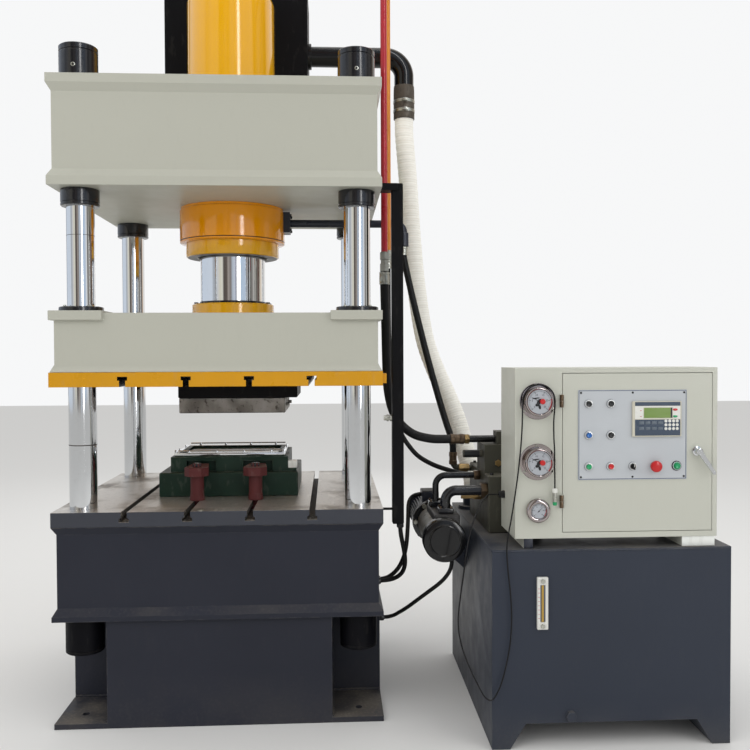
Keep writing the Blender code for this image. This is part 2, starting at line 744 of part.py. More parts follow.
def column_cutters(name, radius, low, high):
    """Cutters for the four column bores."""
    return [rod(f"{name}_bore_{corner}", radius, low, high,
                (side_x * COLUMN_X, side_y * COLUMN_Y, 0.0))
            for corner, side_x, side_y in corners()]


def build_bed():
    """The welded bed and the slotted table plate on it."""
    half_x = PRESS_WIDTH / 2
    half_y = PRESS_DEPTH / 2
    wall_x = half_x - WALL_INSET
    wall_y = half_y - WALL_INSET
    bed = stacked("bed_frame", (
        (LEDGE_BOTTOM, half_x, half_y),
        (LEDGE_BOTTOM + LEDGE_EDGE, half_x, half_y),
        (LEDGE_BOTTOM + LEDGE_EDGE + WELD_HEIGHT, wall_x, wall_y),
        (TABLE_BOTTOM - WELD_HEIGHT, wall_x, wall_y),
        (TABLE_BOTTOM - GAP, half_x, half_y)))
    lower = block("bed_lower_box", (-half_x, -wall_y, 0.0), (half_x, wall_y, LEDGE_BOTTOM + LEDGE_EDGE / 2))
    notches = []
    for corner, side_x, side_y in corners():
        inner_x = side_x * (half_x - NOTCH_WIDTH)
        inner_y = side_y * (half_y - WALL_INSET - NOTCH_DEPTH)
        outer_x = side_x * half_x * 1.1
        outer_y = side_y * half_y * 1.1
        notches.append(block("notch_" + corner,
                             (min(inner_x, outer_x), min(inner_y, outer_y), BASE_THICKNESS),
                             (max(inner_x, outer_x), max(inner_y, outer_y), LEDGE_BOTTOM)))
    cut(lower, *notches)
    fuse(bed, lower)
    cut(bed, *column_cutters("bed", COLUMN_END_RADIUS + GAP, LEDGE_BOTTOM - 0.01, TABLE_TOP))
    cut(bed, *column_cutters("anchor", ANCHOR_HOLE_RADIUS, -0.01, BASE_THICKNESS + 0.005))
    paint(bed, "bed_paint")
    table = block("table_plate", (-half_x, -half_y, TABLE_BOTTOM), (half_x, half_y, TABLE_TOP))
    cut(table, *slot_cutters("table", TABLE_TOP, -1))
    cut(table, *column_cutters("table", COLUMN_RADIUS + GAP, TABLE_BOTTOM - 0.01, TABLE_TOP + 0.01))
    paint(table, "bright_steel")


def build_columns():
    """Four columns with their fixed nuts, and the separate nuts on top."""
    bed_nut_bottom = LEDGE_BOTTOM - BED_NUT_HEIGHT
    beam_nut_bottom = BEAM_BOTTOM - BEAM_NUT_HEIGHT
    top_nut_top = BEAM_TOP + TOP_NUT_HEIGHT
    outline = (
        (0.0, top_nut_top - NUT_CHAMFER), (COLUMN_END_RADIUS, top_nut_top - NUT_CHAMFER),
        (COLUMN_END_RADIUS, BEAM_BOTTOM - GAP), (NUT_RADIUS, BEAM_BOTTOM - GAP),
        (NUT_RADIUS, beam_nut_bottom), (COLUMN_RADIUS, beam_nut_bottom),
        (COLUMN_RADIUS, TABLE_BOTTOM), (COLUMN_END_RADIUS, TABLE_BOTTOM),
        (COLUMN_END_RADIUS, LEDGE_BOTTOM - GAP), (NUT_RADIUS, LEDGE_BOTTOM - GAP),
        (NUT_RADIUS, bed_nut_bottom), (0.0, bed_nut_bottom))
    low = BEAM_TOP + GAP
    bore = COLUMN_END_RADIUS + GAP
    nut_outline = (
        (bore, top_nut_top), (NUT_RADIUS - NUT_CHAMFER, top_nut_top), (NUT_RADIUS, top_nut_top - NUT_CHAMFER),
        (NUT_RADIUS, low), (bore, low))
    screw_z = BEAM_TOP + TOP_NUT_HEIGHT / 3
    for corner, side_x, side_y in corners():
        at = (side_x * COLUMN_X, side_y * COLUMN_Y, 0.0)
        column = turned("column_" + corner, outline, at)
        paint(column, "chrome")
        nut = turned("top_nut_" + corner, nut_outline, at, ring=True)
        drill = rod("top_nut_drill_" + corner, NUT_SCREW_RADIUS, NUT_RADIUS - NUT_SCREW_DEPTH,
                    NUT_RADIUS + 0.01, (at[0], at[1], screw_z), "-Y", 12)
        cut(nut, drill)
        paint(nut, "black_nut")


def build_beam():
    """The welded top beam, bored for the columns and the cylinder."""
    half_x = PRESS_WIDTH / 2
    half_y = PRESS_DEPTH / 2
    wall_x = half_x - WALL_INSET
    wall_y = half_y - WALL_INSET
    beam = stacked("top_beam", (
        (BEAM_BOTTOM, half_x, half_y),
        (BEAM_BOTTOM + BEAM_PLATE, half_x, half_y),
        (BEAM_BOTTOM + BEAM_PLATE + WELD_HEIGHT, wall_x, wall_y),
        (BEAM_TOP - BEAM_PLATE - WELD_HEIGHT, wall_x, wall_y),
        (BEAM_TOP - BEAM_PLATE, half_x, half_y),
        (BEAM_TOP, half_x, half_y)))
    cut(beam, *column_cutters("beam", COLUMN_END_RADIUS + GAP, BEAM_BOTTOM - 0.01, BEAM_TOP + 0.01))
    cut(beam, rod("beam_cylinder_bore", CYLINDER_RADIUS + GAP, BEAM_BOTTOM - 0.01, BEAM_TOP + 0.01,
                  steps=LARGE_ROUND))
    paint(beam, "grey_paint")


def build_cylinder():
    """The main cylinder, its load ring under the beam and the gland that guides the ram."""
    inner_top = CYLINDER_TOP - CYLINDER_HEAD
    outline = (
        (0.0, CYLINDER_TOP), (CYLINDER_RADIUS - CYLINDER_SHOULDER, CYLINDER_TOP),
        (CYLINDER_RADIUS - CYLINDER_SHOULDER * 0.3, CYLINDER_TOP - CYLINDER_SHOULDER * 0.4),
        (CYLINDER_RADIUS, CYLINDER_TOP - CYLINDER_SHOULDER), (CYLINDER_RADIUS, RING_BOTTOM),
        (CYLINDER_BORE, RING_BOTTOM), (CYLINDER_BORE, inner_top - 0.01),
        (CYLINDER_BORE - 0.01, inner_top), (0.0, inner_top))
    paint(turned("main_cylinder", outline, steps=LARGE_ROUND), "yellow_paint")
    top = BEAM_BOTTOM - GAP
    bore = CYLINDER_RADIUS + GAP
    ring = ((bore, top), (RING_RADIUS, top), (RING_RADIUS, RING_BOTTOM + RING_CHAMFER),
            (RING_RADIUS - RING_CHAMFER, RING_BOTTOM), (bore, RING_BOTTOM))
    paint(turned("load_ring", ring, steps=LARGE_ROUND, ring=True), "yellow_paint")
    top = RING_BOTTOM - GAP
    bore = RAM_RADIUS + SLIDE_FIT
    gland = ((bore, top), (GLAND_RADIUS, top), (GLAND_RADIUS, GLAND_BOTTOM + RING_CHAMFER),
             (GLAND_RADIUS - RING_CHAMFER, GLAND_BOTTOM), (bore, GLAND_BOTTOM))
    paint(turned("gland_ring", gland, steps=LARGE_ROUND, ring=True), "yellow_paint")


def build_ram():
    """The ram with its piston head, and the flange that clamps it to the slide."""
    foot = SLIDE_TOP + GAP
    flange_top = foot + FLANGE_HEIGHT
    head = foot + RAM_LENGTH
    piston = CYLINDER_BORE - SLIDE_FIT
    outline = (
        (0.0, head), (piston - 0.005, head), (piston, head - 0.005),
        (piston, head - PISTON_HEIGHT), (RAM_RADIUS, head - PISTON_HEIGHT),
        (RAM_RADIUS, flange_top + GAP + RAM_COLLAR_HEIGHT),
        (RAM_RADIUS + RAM_COLLAR, flange_top + GAP + RAM_COLLAR_HEIGHT),
        (RAM_RADIUS + RAM_COLLAR, flange_top + GAP), (RAM_RADIUS, flange_top + GAP),
        (RAM_RADIUS, foot), (0.0, foot))
    paint(turned("ram", outline, steps=LARGE_ROUND), "chrome")
    bore = RAM_RADIUS + GAP
    flange = ((bore, flange_top), (FLANGE_RADIUS - FLANGE_CHAMFER, flange_top),
              (FLANGE_RADIUS, flange_top - FLANGE_CHAMFER), (FLANGE_RADIUS, foot), (bore, foot))
    paint(turned("ram_flange", flange, steps=LARGE_ROUND, ring=True), "yellow_paint")


def build_slide():
    """The moving slide, its slotted plate and the guide bushes on its corner pads."""
    half_x = PRESS_WIDTH / 2
    half_y = PRESS_DEPTH / 2
    wall_x = half_x - WALL_INSET
    wall_y = half_y - WALL_INSET
    low = SLIDE_PLATE_TOP + GAP
    slide = stacked("slide_beam", (
        (low, half_x - 0.002, half_y - 0.002), (low + WELD_HEIGHT, wall_x, wall_y),
        (SLIDE_TOP, wall_x, wall_y)))
    for corner, side_x, side_y in corners():
        middle = (side_x * (half_x - PAD_SIZE / 2), side_y * (half_y - PAD_SIZE / 2))
        pad = block("pad_" + corner,
                    (middle[0] - PAD_SIZE / 2, middle[1] - PAD_SIZE / 2, PAD_TOP - PAD_THICKNESS),
                    (middle[0] + PAD_SIZE / 2, middle[1] + PAD_SIZE / 2, PAD_TOP))
        at = (side_x * COLUMN_X, side_y * COLUMN_Y, 0.0)
        bush_top = PAD_TOP + BUSH_HEIGHT
        bush = turned("bush_" + corner, (
            (0.0, bush_top), (BUSH_RADIUS, bush_top), (BUSH_RADIUS, PAD_TOP - 0.01),
            (0.0, PAD_TOP - 0.01)), at)
        fuse(pad, bush)
        fuse(slide, pad)
    bore = COLUMN_RADIUS + SLIDE_FIT
    cut(slide, *column_cutters("slide", bore, SLIDE_BOTTOM - 0.01, PAD_TOP + BUSH_HEIGHT + 0.01))
    paint(slide, "grey_paint")
    plate = block("slide_plate", (-half_x, -half_y, SLIDE_BOTTOM), (half_x, half_y, SLIDE_PLATE_TOP))
    striker_z = SLIDE_BOTTOM + (SLIDE_PLATE_THICKNESS - STRIKER_SIZE[2]) / 2
    front = -half_y + STRIKER_FRONT
    fuse(plate, block("striker", (half_x - 0.005, front, striker_z),
                      (half_x + STRIKER_SIZE[0], front + STRIKER_SIZE[1], striker_z + STRIKER_SIZE[2])))
    cut(plate, *slot_cutters("slide", SLIDE_BOTTOM, 1))
    cut(plate, *column_cutters("plate", bore, SLIDE_BOTTOM - 0.01, SLIDE_PLATE_TOP + 0.01))
    paint(plate, "yellow_paint")


def build_dies():
    """The upper die on the slide and the stepped lower die on the table."""
    plate_top = SLIDE_BOTTOM - GAP
    plate_bottom = plate_top - UPPER_PLATE_THICKNESS
    plate = block("upper_die_plate", (*UPPER_PLATE_LOW, plate_bottom), (*UPPER_PLATE_HIGH, plate_top))
    paint(chamfer(plate, DIE_BEVEL), "black_paint")
    block_top = plate_bottom - GAP
    block_bottom = block_top - UPPER_BLOCK_THICKNESS
    upper = block("upper_die_block", (*UPPER_BLOCK_LOW, block_bottom), (*UPPER_BLOCK_HIGH, block_top))
    chamfer(upper, DIE_BEVEL)
    middle_z = (block_top + block_bottom) / 2
    for index, share in enumerate((-0.5, 0.5)):
        pin_y = UPPER_BLOCK_HIGH[1] * share
        fuse(upper, rod(f"die_pin_{index}", DIE_PIN_RADIUS, UPPER_BLOCK_LOW[0] - DIE_PIN_LENGTH,
                        UPPER_BLOCK_HIGH[0] + DIE_PIN_LENGTH, (0.0, pin_y, middle_z), "X", 12))
    paint(upper, "bright_steel")
    low = TABLE_TOP + GAP
    step_top = low + LOWER_STEP[2]
    upper_top = step_top + UPPER_STEP[2]
    lower = block("lower_die", (-LOWER_STEP[0], -LOWER_STEP[1], low), (LOWER_STEP[0], LOWER_STEP[1], step_top))
    chamfer(lower, DIE_BEVEL)
    upper_step = block("die_upper_step", (-UPPER_STEP[0], -UPPER_STEP[1], step_top - 0.01),
                       (UPPER_STEP[0], UPPER_STEP[1], upper_top))
    rim = block("die_rim", (-DIE_RIM[0], -DIE_RIM[1], upper_top - 0.002),
                (DIE_RIM[0], DIE_RIM[1], upper_top + DIE_RIM[2]))
    window = (DIE_RIM[0] - DIE_RIM_WIDTH, DIE_RIM[1] - DIE_RIM_WIDTH)
    cavity = block("die_cavity", (-window[0], -window[1], upper_top), (window[0], window[1], upper_top + 0.1))
    key = block("die_key", (UPPER_STEP[0] - 0.005, -UPPER_STEP[1], step_top - 0.005),
                (UPPER_STEP[0] + DIE_KEY[0], -UPPER_STEP[1] + DIE_KEY[1], step_top + DIE_KEY[2]))
    fuse(lower, upper_step, rim, key)
    pockets = [block(f"die_pocket_{index}", (across - DIE_POCKET[0] / 2, -UPPER_STEP[1] - 0.01, step_top),
                     (across + DIE_POCKET[0] / 2, -UPPER_STEP[1] + DIE_POCKET[1], step_top + DIE_POCKET[2]))
               for index, across in enumerate(slot_places()[1:3])]
    cut(lower, cavity, *pockets)
    paint(lower, "die_green")


def build_clamps():
    """Two posts held in the T-slots that press the lower die down."""
    step_top = TABLE_TOP + GAP + LOWER_STEP[2]
    head_low = step_top + GAP
    head_top = head_low + CLAMP_HEAD_THICKNESS
    shoulder = TABLE_TOP - (SLOT_DEPTH - SLOT_HEAD_HEIGHT)
    for name, across in zip(("clamp_left", "clamp_right"), slot_places()[1:3]):
        at = (across, CLAMP_Y, 0.0)
        foot = TABLE_TOP + GAP
        stem = turned(name, (
            (0.0, head_top - 0.002), (CLAMP_STEM_RADIUS, head_top - 0.002),
            (CLAMP_STEM_RADIUS, foot + 0.03), (CLAMP_FOOT_RADIUS, foot + 0.012),
            (CLAMP_FOOT_RADIUS, foot), (0.0, foot)), at, steps=20)
        half = CLAMP_HEAD_WIDTH / 2
        outline = ((-half, -CLAMP_HEAD_BACK * 0.4), (-half * 0.5, -CLAMP_HEAD_BACK),
                   (half * 0.5, -CLAMP_HEAD_BACK), (half, -CLAMP_HEAD_BACK * 0.4),
                   (half * 0.7, CLAMP_HEAD_REACH), (-half * 0.7, CLAMP_HEAD_REACH))
        head = prism(name + "_head", outline, head_low, head_top, at, "Z")
        bolt = rod(name + "_bolt", CLAMP_NUT_RADIUS, head_top - 0.002, head_top + CLAMP_NUT_HEIGHT,
                   at, "Z", 6)
        neck_half = SLOT_NECK / 2 - 0.001
        key_half = SLOT_HEAD / 2 - 0.001
        neck = block(name + "_neck", (across - neck_half, CLAMP_Y - neck_half, shoulder - 0.006),
                     (across + neck_half, CLAMP_Y + neck_half, foot + 0.002))
        key = block(name + "_key", (across - key_half, CLAMP_Y - key_half, TABLE_TOP - SLOT_DEPTH + 0.002),
                    (across + key_half, CLAMP_Y + key_half, shoulder - GAP))
        fuse(stem, head, bolt, neck, key)
        paint(stem, "clamp_red")


def build_prefill():
    """The prefill tank behind the cylinder, its valve on top of it and the suction elbow."""
    front = CYLINDER_RADIUS + PREFILL_BEHIND
    low = BEAM_TOP + GAP
    tank = block("prefill_tank", (-PREFILL_WIDTH / 2, front, low),
                 (PREFILL_WIDTH / 2, front + PREFILL_DEPTH, low + PREFILL_HEIGHT))
    chamfer(tank, 0.004)
    valve_low = CYLINDER_TOP + GAP
    valve_top = valve_low + PREFILL_VALVE_HEIGHT
    valve = turned("prefill_valve", (
        (0.0, valve_top), (PREFILL_VALVE_RADIUS - 0.012, valve_top),
        (PREFILL_VALVE_RADIUS, valve_top - 0.012), (PREFILL_VALVE_RADIUS, valve_low + 0.012),
        (PREFILL_VALVE_RADIUS + 0.025, valve_low + 0.012), (PREFILL_VALVE_RADIUS + 0.025, valve_low),
        (0.0, valve_low)))
    middle = (valve_low + valve_top) / 2
    duct = rod("prefill_duct", PREFILL_PIPE_RADIUS, -(front + 0.02), 0.0, (0.0, 0.0, middle), "-Y", 24)
    fuse(tank, duct, valve)
    paint(tank, "black_paint")
    side = PREFILL_WIDTH / 2 + GAP
    elbow = pipe("suction_elbow", ((side, SUCTION_Y, SUCTION_Z), (SUCTION_X, SUCTION_Y, SUCTION_Z),
                                   (SUCTION_X, SUCTION_Y, SUCTION_END)), SUCTION_RADIUS, SUCTION_BEND)
    outline = [(0.0, SUCTION_END + 0.120)]
    for radius, drop in ((SUCTION_UNION_RADIUS, 0.120), (SUCTION_UNION_RADIUS, 0.076),
                         (SUCTION_RADIUS + 0.003, 0.076), (SUCTION_RADIUS + 0.003, 0.020),
                         (SUCTION_RADIUS + 0.007, 0.018), (SUCTION_RADIUS + 0.007, -0.002), (0.0, -0.002)):
        outline.append((radius, SUCTION_END + drop))
    fuse(elbow, turned("suction_union", outline, (SUCTION_X, SUCTION_Y, 0.0), steps=20))
    fuse(elbow, rod("suction_flange", SUCTION_UNION_RADIUS, side - 0.0001, side + 0.016,
                    (0.0, SUCTION_Y, SUCTION_Z), "X", 20))
    paint(elbow, "black_paint")


def pipe_to_valve(name, foot, radius, bottom, height):
    """A pipe that rises beside the beam and runs in to the prefill valve."""
    reach = hypot(*foot)
    share = (PREFILL_VALVE_RADIUS + GAP) / reach
    end = (foot[0] * share, foot[1] * share, height)
    return pipe(name, ((*foot, bottom), (*foot, height), end), radius, PIPE_BEND)


def build_pipes():
    """The pressure, pilot and rod-side pipes."""
    red = pipe_to_valve("pressure_pipe", PRESSURE_PIPE, PRESSURE_PIPE_RADIUS,
                        PRESSURE_PIPE_BOTTOM, PRESSURE_PIPE_Z)
    nut_at = (*PRESSURE_PIPE, 0.0)
    fuse(red, rod("pressure_nut", PRESSURE_NUT_RADIUS, PRESSURE_PIPE_BOTTOM,
                  PRESSURE_PIPE_BOTTOM + PRESSURE_NUT_LENGTH, nut_at, "Z", 12, 0.002))
    paint(red, "red_paint")
    pilot = pipe_to_valve("pilot_pipe", PILOT_PIPE, PILOT_PIPE_RADIUS, PILOT_PIPE_BOTTOM, PILOT_PIPE_Z)
    nut_at = (*PILOT_PIPE, 0.0)
    fuse(pilot, rod("pilot_nut", PILOT_NUT_RADIUS, PILOT_PIPE_BOTTOM,
                    PILOT_PIPE_BOTTOM + PILOT_NUT_LENGTH, nut_at, "Z", 12, 0.002))
    paint(pilot, "orange_paint")
    saddle = block("rod_side_pipe", (RING_RADIUS - 0.02, -ROD_BLOCK[1] / 2, ROD_PIPE_Z - ROD_BLOCK[2] / 2),
                   (RING_RADIUS - 0.02 + ROD_BLOCK[0], ROD_BLOCK[1] / 2, ROD_PIPE_Z + ROD_BLOCK[2] / 2))
    ring_space = rod("ring_space", RING_RADIUS + GAP, RING_BOTTOM, BEAM_BOTTOM, steps=LARGE_ROUND)
    line = pipe("rod_side_line", ((RING_RADIUS + 0.01, 0.0, ROD_PIPE_Z), (ROD_PIPE_X, 0.0, ROD_PIPE_Z),
                                  (ROD_PIPE_X, 0.0, ROD_PIPE_BOTTOM)), ROD_PIPE_RADIUS, 0.035)
    nut = rod("rod_side_nut", ROD_NUT_RADIUS, ROD_PIPE_BOTTOM, ROD_PIPE_BOTTOM + ROD_NUT_LENGTH,
              (ROD_PIPE_X, 0.0, 0.0), "Z", 12, 0.002)
    cut(saddle, ring_space)
    fuse(saddle, line, nut)
    paint(saddle, "bed_paint")


def build_post():
    """The post that carries the slide's limit switches beside the right columns."""
    half = POST_WIDTH / 2
    post = block("switch_post", (POST_X - half, POST_Y - half, POST_BOTTOM), (POST_X + half, POST_Y + half, POST_TOP))
    chamfer(post, 0.003)
    side = PRESS_WIDTH / 2 + GAP
    arm = block("post_arm", (side, POST_Y - half * 1.4, POST_TOP - POST_ARM_HEIGHT),
                (POST_X, POST_Y + half * 1.4, POST_TOP - 0.002))
    lower = rod("post_rod", POST_ROD_RADIUS, side, POST_X, (0.0, POST_Y, POST_ROD_Z), "X", 10)
    sensor = rod("post_sensor", SENSOR_RADIUS, POST_X - half - SENSOR_LENGTH, POST_X,
                 (0.0, POST_Y, SENSOR_Z), "X", 14, 0.001)
    fuse(post, arm, lower, sensor)
    paint(post, "black_paint")


def build_tank():
    """The oil tank on its skids, with the pump shelf, and the level gauge on its front."""
    right = TANK_LEFT + TANK_WIDTH
    back = TANK_FRONT + TANK_DEPTH
    tank = block("oil_tank", (TANK_LEFT, TANK_FRONT, 0.0), (right, back, TANK_TOP))
    inner = TANK_LEFT + SKID_WIDTH
    outer = right - SKID_WIDTH
    tunnel = prism("skid_tunnel", ((inner, -0.01), (outer, -0.01), (outer - SKID_SPREAD, TANK_FLOOR),
                                   (inner + SKID_SPREAD, TANK_FLOOR)), -back - 0.1, -TANK_FRONT + 0.1)
    cut(tank, tunnel)
    inlet = turned("tank_inlet", (
        (0.0, TANK_TOP + INLET_HEIGHT), (INLET_RADIUS, TANK_TOP + INLET_HEIGHT),
        (INLET_RADIUS, TANK_TOP + 0.014), (INLET_RADIUS + 0.022, TANK_TOP + 0.014),
        (INLET_RADIUS + 0.022, TANK_TOP - 0.004), (0.0, TANK_TOP - 0.004)), (*INLET, 0.0), steps=24)
    filler = turned("tank_filler", (
        (0.0, TANK_TOP + FILLER_HEIGHT), (FILLER_RADIUS - 0.008, TANK_TOP + FILLER_HEIGHT),
        (FILLER_RADIUS, TANK_TOP + FILLER_HEIGHT - 0.010), (FILLER_RADIUS, TANK_TOP + 0.022),
        (FILLER_RADIUS * 0.7, TANK_TOP + 0.018), (FILLER_RADIUS * 0.7, TANK_TOP - 0.004),
        (0.0, TANK_TOP - 0.004)), (right - FILLER[0], back - FILLER[1], 0.0), steps=24)
    drain = rod("tank_drain", DRAIN_RADIUS, -TANK_FRONT - 0.005, -TANK_FRONT + DRAIN_LENGTH,
                (DRAIN[0], 0.0, DRAIN[1]), "-Y", 6)
    shelf_top = PUMP_Z - MOTOR_RADIUS - GAP
    motor_front = PUMP_FRONT + PUMP_LENGTH
    shelf = prism("pump_shelf", (
        (TANK_LEFT + 0.004, shelf_top), (TANK_LEFT - SHELF_REACH, shelf_top),
        (TANK_LEFT - SHELF_REACH, shelf_top - SHELF_THICKNESS),
        (TANK_LEFT - SHELF_REACH + 0.04, shelf_top - SHELF_THICKNESS),
        (TANK_LEFT + 0.004, shelf_top - SHELF_REACH * 0.8)),
        -(motor_front + 0.02 + SHELF_LENGTH), -(motor_front + 0.02))
    fuse(tank, inlet, filler, drain, shelf)
    paint(tank, "tank_paint")
    level = block("level_gauge", (LEVEL_LEFT, TANK_FRONT - GAP - LEVEL_SIZE[1], LEVEL_BOTTOM),
                  (LEVEL_LEFT + LEVEL_SIZE[0], TANK_FRONT - GAP, LEVEL_BOTTOM + LEVEL_SIZE[2]))
    chamfer(level, 0.002)
    middle_x = LEVEL_LEFT + LEVEL_SIZE[0] / 2
    middle_z = LEVEL_BOTTOM + LEVEL_SIZE[2] / 2
    face = TANK_FRONT - GAP - LEVEL_SIZE[1]
    cut(level, block("level_window", (middle_x - LEVEL_WINDOW[0] / 2, face - 0.01, middle_z - LEVEL_WINDOW[2] / 2),
                     (middle_x + LEVEL_WINDOW[0] / 2, face + LEVEL_WINDOW[1], middle_z + LEVEL_WINDOW[2] / 2)))
    paint(level, "level_white")


def hinge_axis():
    """The door's hinge axis, in X and Y."""
    return DOOR_LEFT - 0.0055, CABINET_FRONT - HINGE_STANDOFF


def build_cabinet():
    """The sheet-steel control cabinet, open behind its door."""
    left = CABINET_LEFT
    right = left + CABINET_WIDTH
    front = CABINET_FRONT
    back = front + CABINET_DEPTH
    top = CABINET_BOTTOM + CABINET_HEIGHT
    sheet = CABINET_SHEET
    recess_back = front + DOOR_THICKNESS + 0.001
    lip_back = recess_back + FRAME_LIP_THICKNESS
    cabinet = block("control_cabinet", (left, front, CABINET_BOTTOM), (right, back, top))
    inside = block("cabinet_inside", (left + sheet, lip_back, CABINET_BOTTOM + sheet),
                   (right - sheet, back - sheet, top - sheet))
    bay = block("cabinet_bay", (left + sheet, front + sheet, CABINET_BOTTOM + sheet),
                (left + LEFT_BAY, lip_back + 0.01, top - sheet))
    gap = DOOR_RIM_GAP
    recess = block("door_recess", (DOOR_LEFT - gap, front - 0.01, DOOR_BOTTOM - gap),
                   (DOOR_LEFT + DOOR_WIDTH + gap, recess_back, DOOR_BOTTOM + DOOR_HEIGHT + gap))
    opening = block("door_opening", (DOOR_LEFT + FRAME_LIP, front, DOOR_BOTTOM + FRAME_LIP),
                    (DOOR_LEFT + DOOR_WIDTH - FRAME_LIP, lip_back + 0.01, DOOR_BOTTOM + DOOR_HEIGHT - FRAME_LIP))
    cut(cabinet, inside, bay, recess, opening)
    for index, height in enumerate(GAUGE_Z):
        cut(cabinet, rod(f"gauge_hole_{index}", GAUGE_BACK_RADIUS + GAP, -front - 0.01, -front + 0.01,
                         (GAUGE_X, 0.0, height), "-Y"))
    cut(cabinet, rod("gauge_hole_small", SMALL_GAUGE_BACK + GAP, -front - 0.01, -front + 0.01,
                     (GAUGE_X, 0.0, SMALL_GAUGE_Z), "-Y"))
    for name, offset, width in (("rail", RAIL_X, RAIL_WIDTH), ("pad", PAD_LEFT, PAD_WIDTH)):
        fuse(cabinet, block("cabinet_" + name, (left + offset, front + 0.004, TANK_TOP + GAP),
                            (left + offset + width, back - 0.004, CABINET_BOTTOM + 0.001)))
    gland = rod("cabinet_gland", CABLE_GLAND_RADIUS, left - CABLE_GLAND_LENGTH, left + 0.001,
                (0.0, GLAND_Y, GLAND_Z), "X", 12, 0.002)
    fuse(cabinet, gland)
    axis_x, axis_y = hinge_axis()
    half = HINGE_LENGTH / 2
    for index, height in enumerate(HINGE_Z):
        knuckle = turned(f"cabinet_knuckle_{index}", (
            (0.0, height + half - 0.003), (HINGE_PIN_RADIUS, height + half - 0.003),
            (HINGE_PIN_RADIUS, height - GAP), (HINGE_RADIUS, height - GAP),
            (HINGE_RADIUS, height - half), (0.0, height - half)), (axis_x, axis_y, 0.0), steps=12)
        leaf = block(f"cabinet_leaf_{index}", (axis_x - HINGE_LEAF, front - HINGE_LEAF_THICKNESS, height - half),
                     (axis_x - 0.001, front + 0.001, height - GAP))
        fuse(cabinet, knuckle, leaf)
    paint(cabinet, "grey_paint")


def build_door():
    """The door, a shallow pan on two lift-off hinges, with its origin on their axis."""
    axis_x, axis_y = hinge_axis()
    at = (axis_x, axis_y, DOOR_BOTTOM)
    front = CABINET_FRONT
    right = DOOR_LEFT + DOOR_WIDTH
    top = DOOR_BOTTOM + DOOR_HEIGHT
    door = block("cabinet_door", (DOOR_LEFT, front, DOOR_BOTTOM), (right, front + DOOR_THICKNESS, top), at)
    hollow = block("door_hollow", (DOOR_LEFT + DOOR_SHEET, front + DOOR_SHEET, DOOR_BOTTOM + DOOR_SHEET),
                   (right - DOOR_SHEET, front + DOOR_THICKNESS + 0.01, top - DOOR_SHEET))
    cut(door, hollow)
    half = HINGE_LENGTH / 2
    for index, height in enumerate(HINGE_Z):
        bore = HINGE_PIN_RADIUS + GAP
        knuckle = turned(f"door_knuckle_{index}", (
            (0.0, height + half), (HINGE_RADIUS, height + half), (HINGE_RADIUS, height),
            (bore, height), (bore, height + half - 0.002), (0.0, height + half - 0.002)),
            (axis_x, axis_y, 0.0), steps=12)
        leaf = block(f"door_leaf_{index}", (axis_x + 0.0045, front - HINGE_LEAF_THICKNESS - 0.001, height),
                     (axis_x + HINGE_LEAF, front + 0.001, height + half))
        fuse(door, knuckle, leaf)
    for name, place_x, place_z in control_places():
        cut(door, rod("door_hole_" + name, STEM_HOLE, -front - 0.01, -front + 0.01,
                      (place_x, 0.0, place_z), "-Y", 8))
    cut(door, block("door_window", display_window(0)[0], display_window(0)[1]))
    cut(door, rod("door_handle_hole", HANDLE_SHAFT_RADIUS + GAP, -front - 0.01, -front + 0.01,
                  (HANDLE_X, 0.0, HANDLE_Z), "-Y", 14))
    paint(door, "grey_paint")


def control_places():
    """Each control on the door: its name and its X and Z place."""
    column = [CONTROL_LEFT + index * CONTROL_PITCH for index in range(5)]
    bottom, middle, top = CONTROL_ROWS
    return (
        ("button_raise", column[0], top), ("button_lower", column[1], top),
        ("button_reset", column[0], middle), ("button_light", column[1], middle),
        ("button_motor_on", column[0], bottom), ("button_motor_off", column[1], bottom),
        ("mode_selector", column[2], bottom), ("emergency_stop", column[3], bottom),
        ("button_cycle", column[4], bottom))


CONTROL_COLOURS = {
    "button_raise": "button_black", "button_lower": "button_black", "button_reset": "button_blue",
    "button_light": "button_black", "button_motor_on": "button_green", "button_motor_off": "button_red",
    "mode_selector": "button_black", "emergency_stop": "button_red", "button_cycle": "button_green"}


def display_window(margin):
    """The cut-out behind the display, as two corners, grown by a margin."""
    inset = DISPLAY_BODY_INSET - margin
    low = (DISPLAY_LEFT + inset, CABINET_FRONT - 0.02, DISPLAY_BOTTOM + inset)
    high = (DISPLAY_LEFT + DISPLAY_SIZE[0] - inset, CABINET_FRONT + DISPLAY_BODY_DEPTH,
            DISPLAY_BOTTOM + DISPLAY_SIZE[2] - inset)
    return low, high


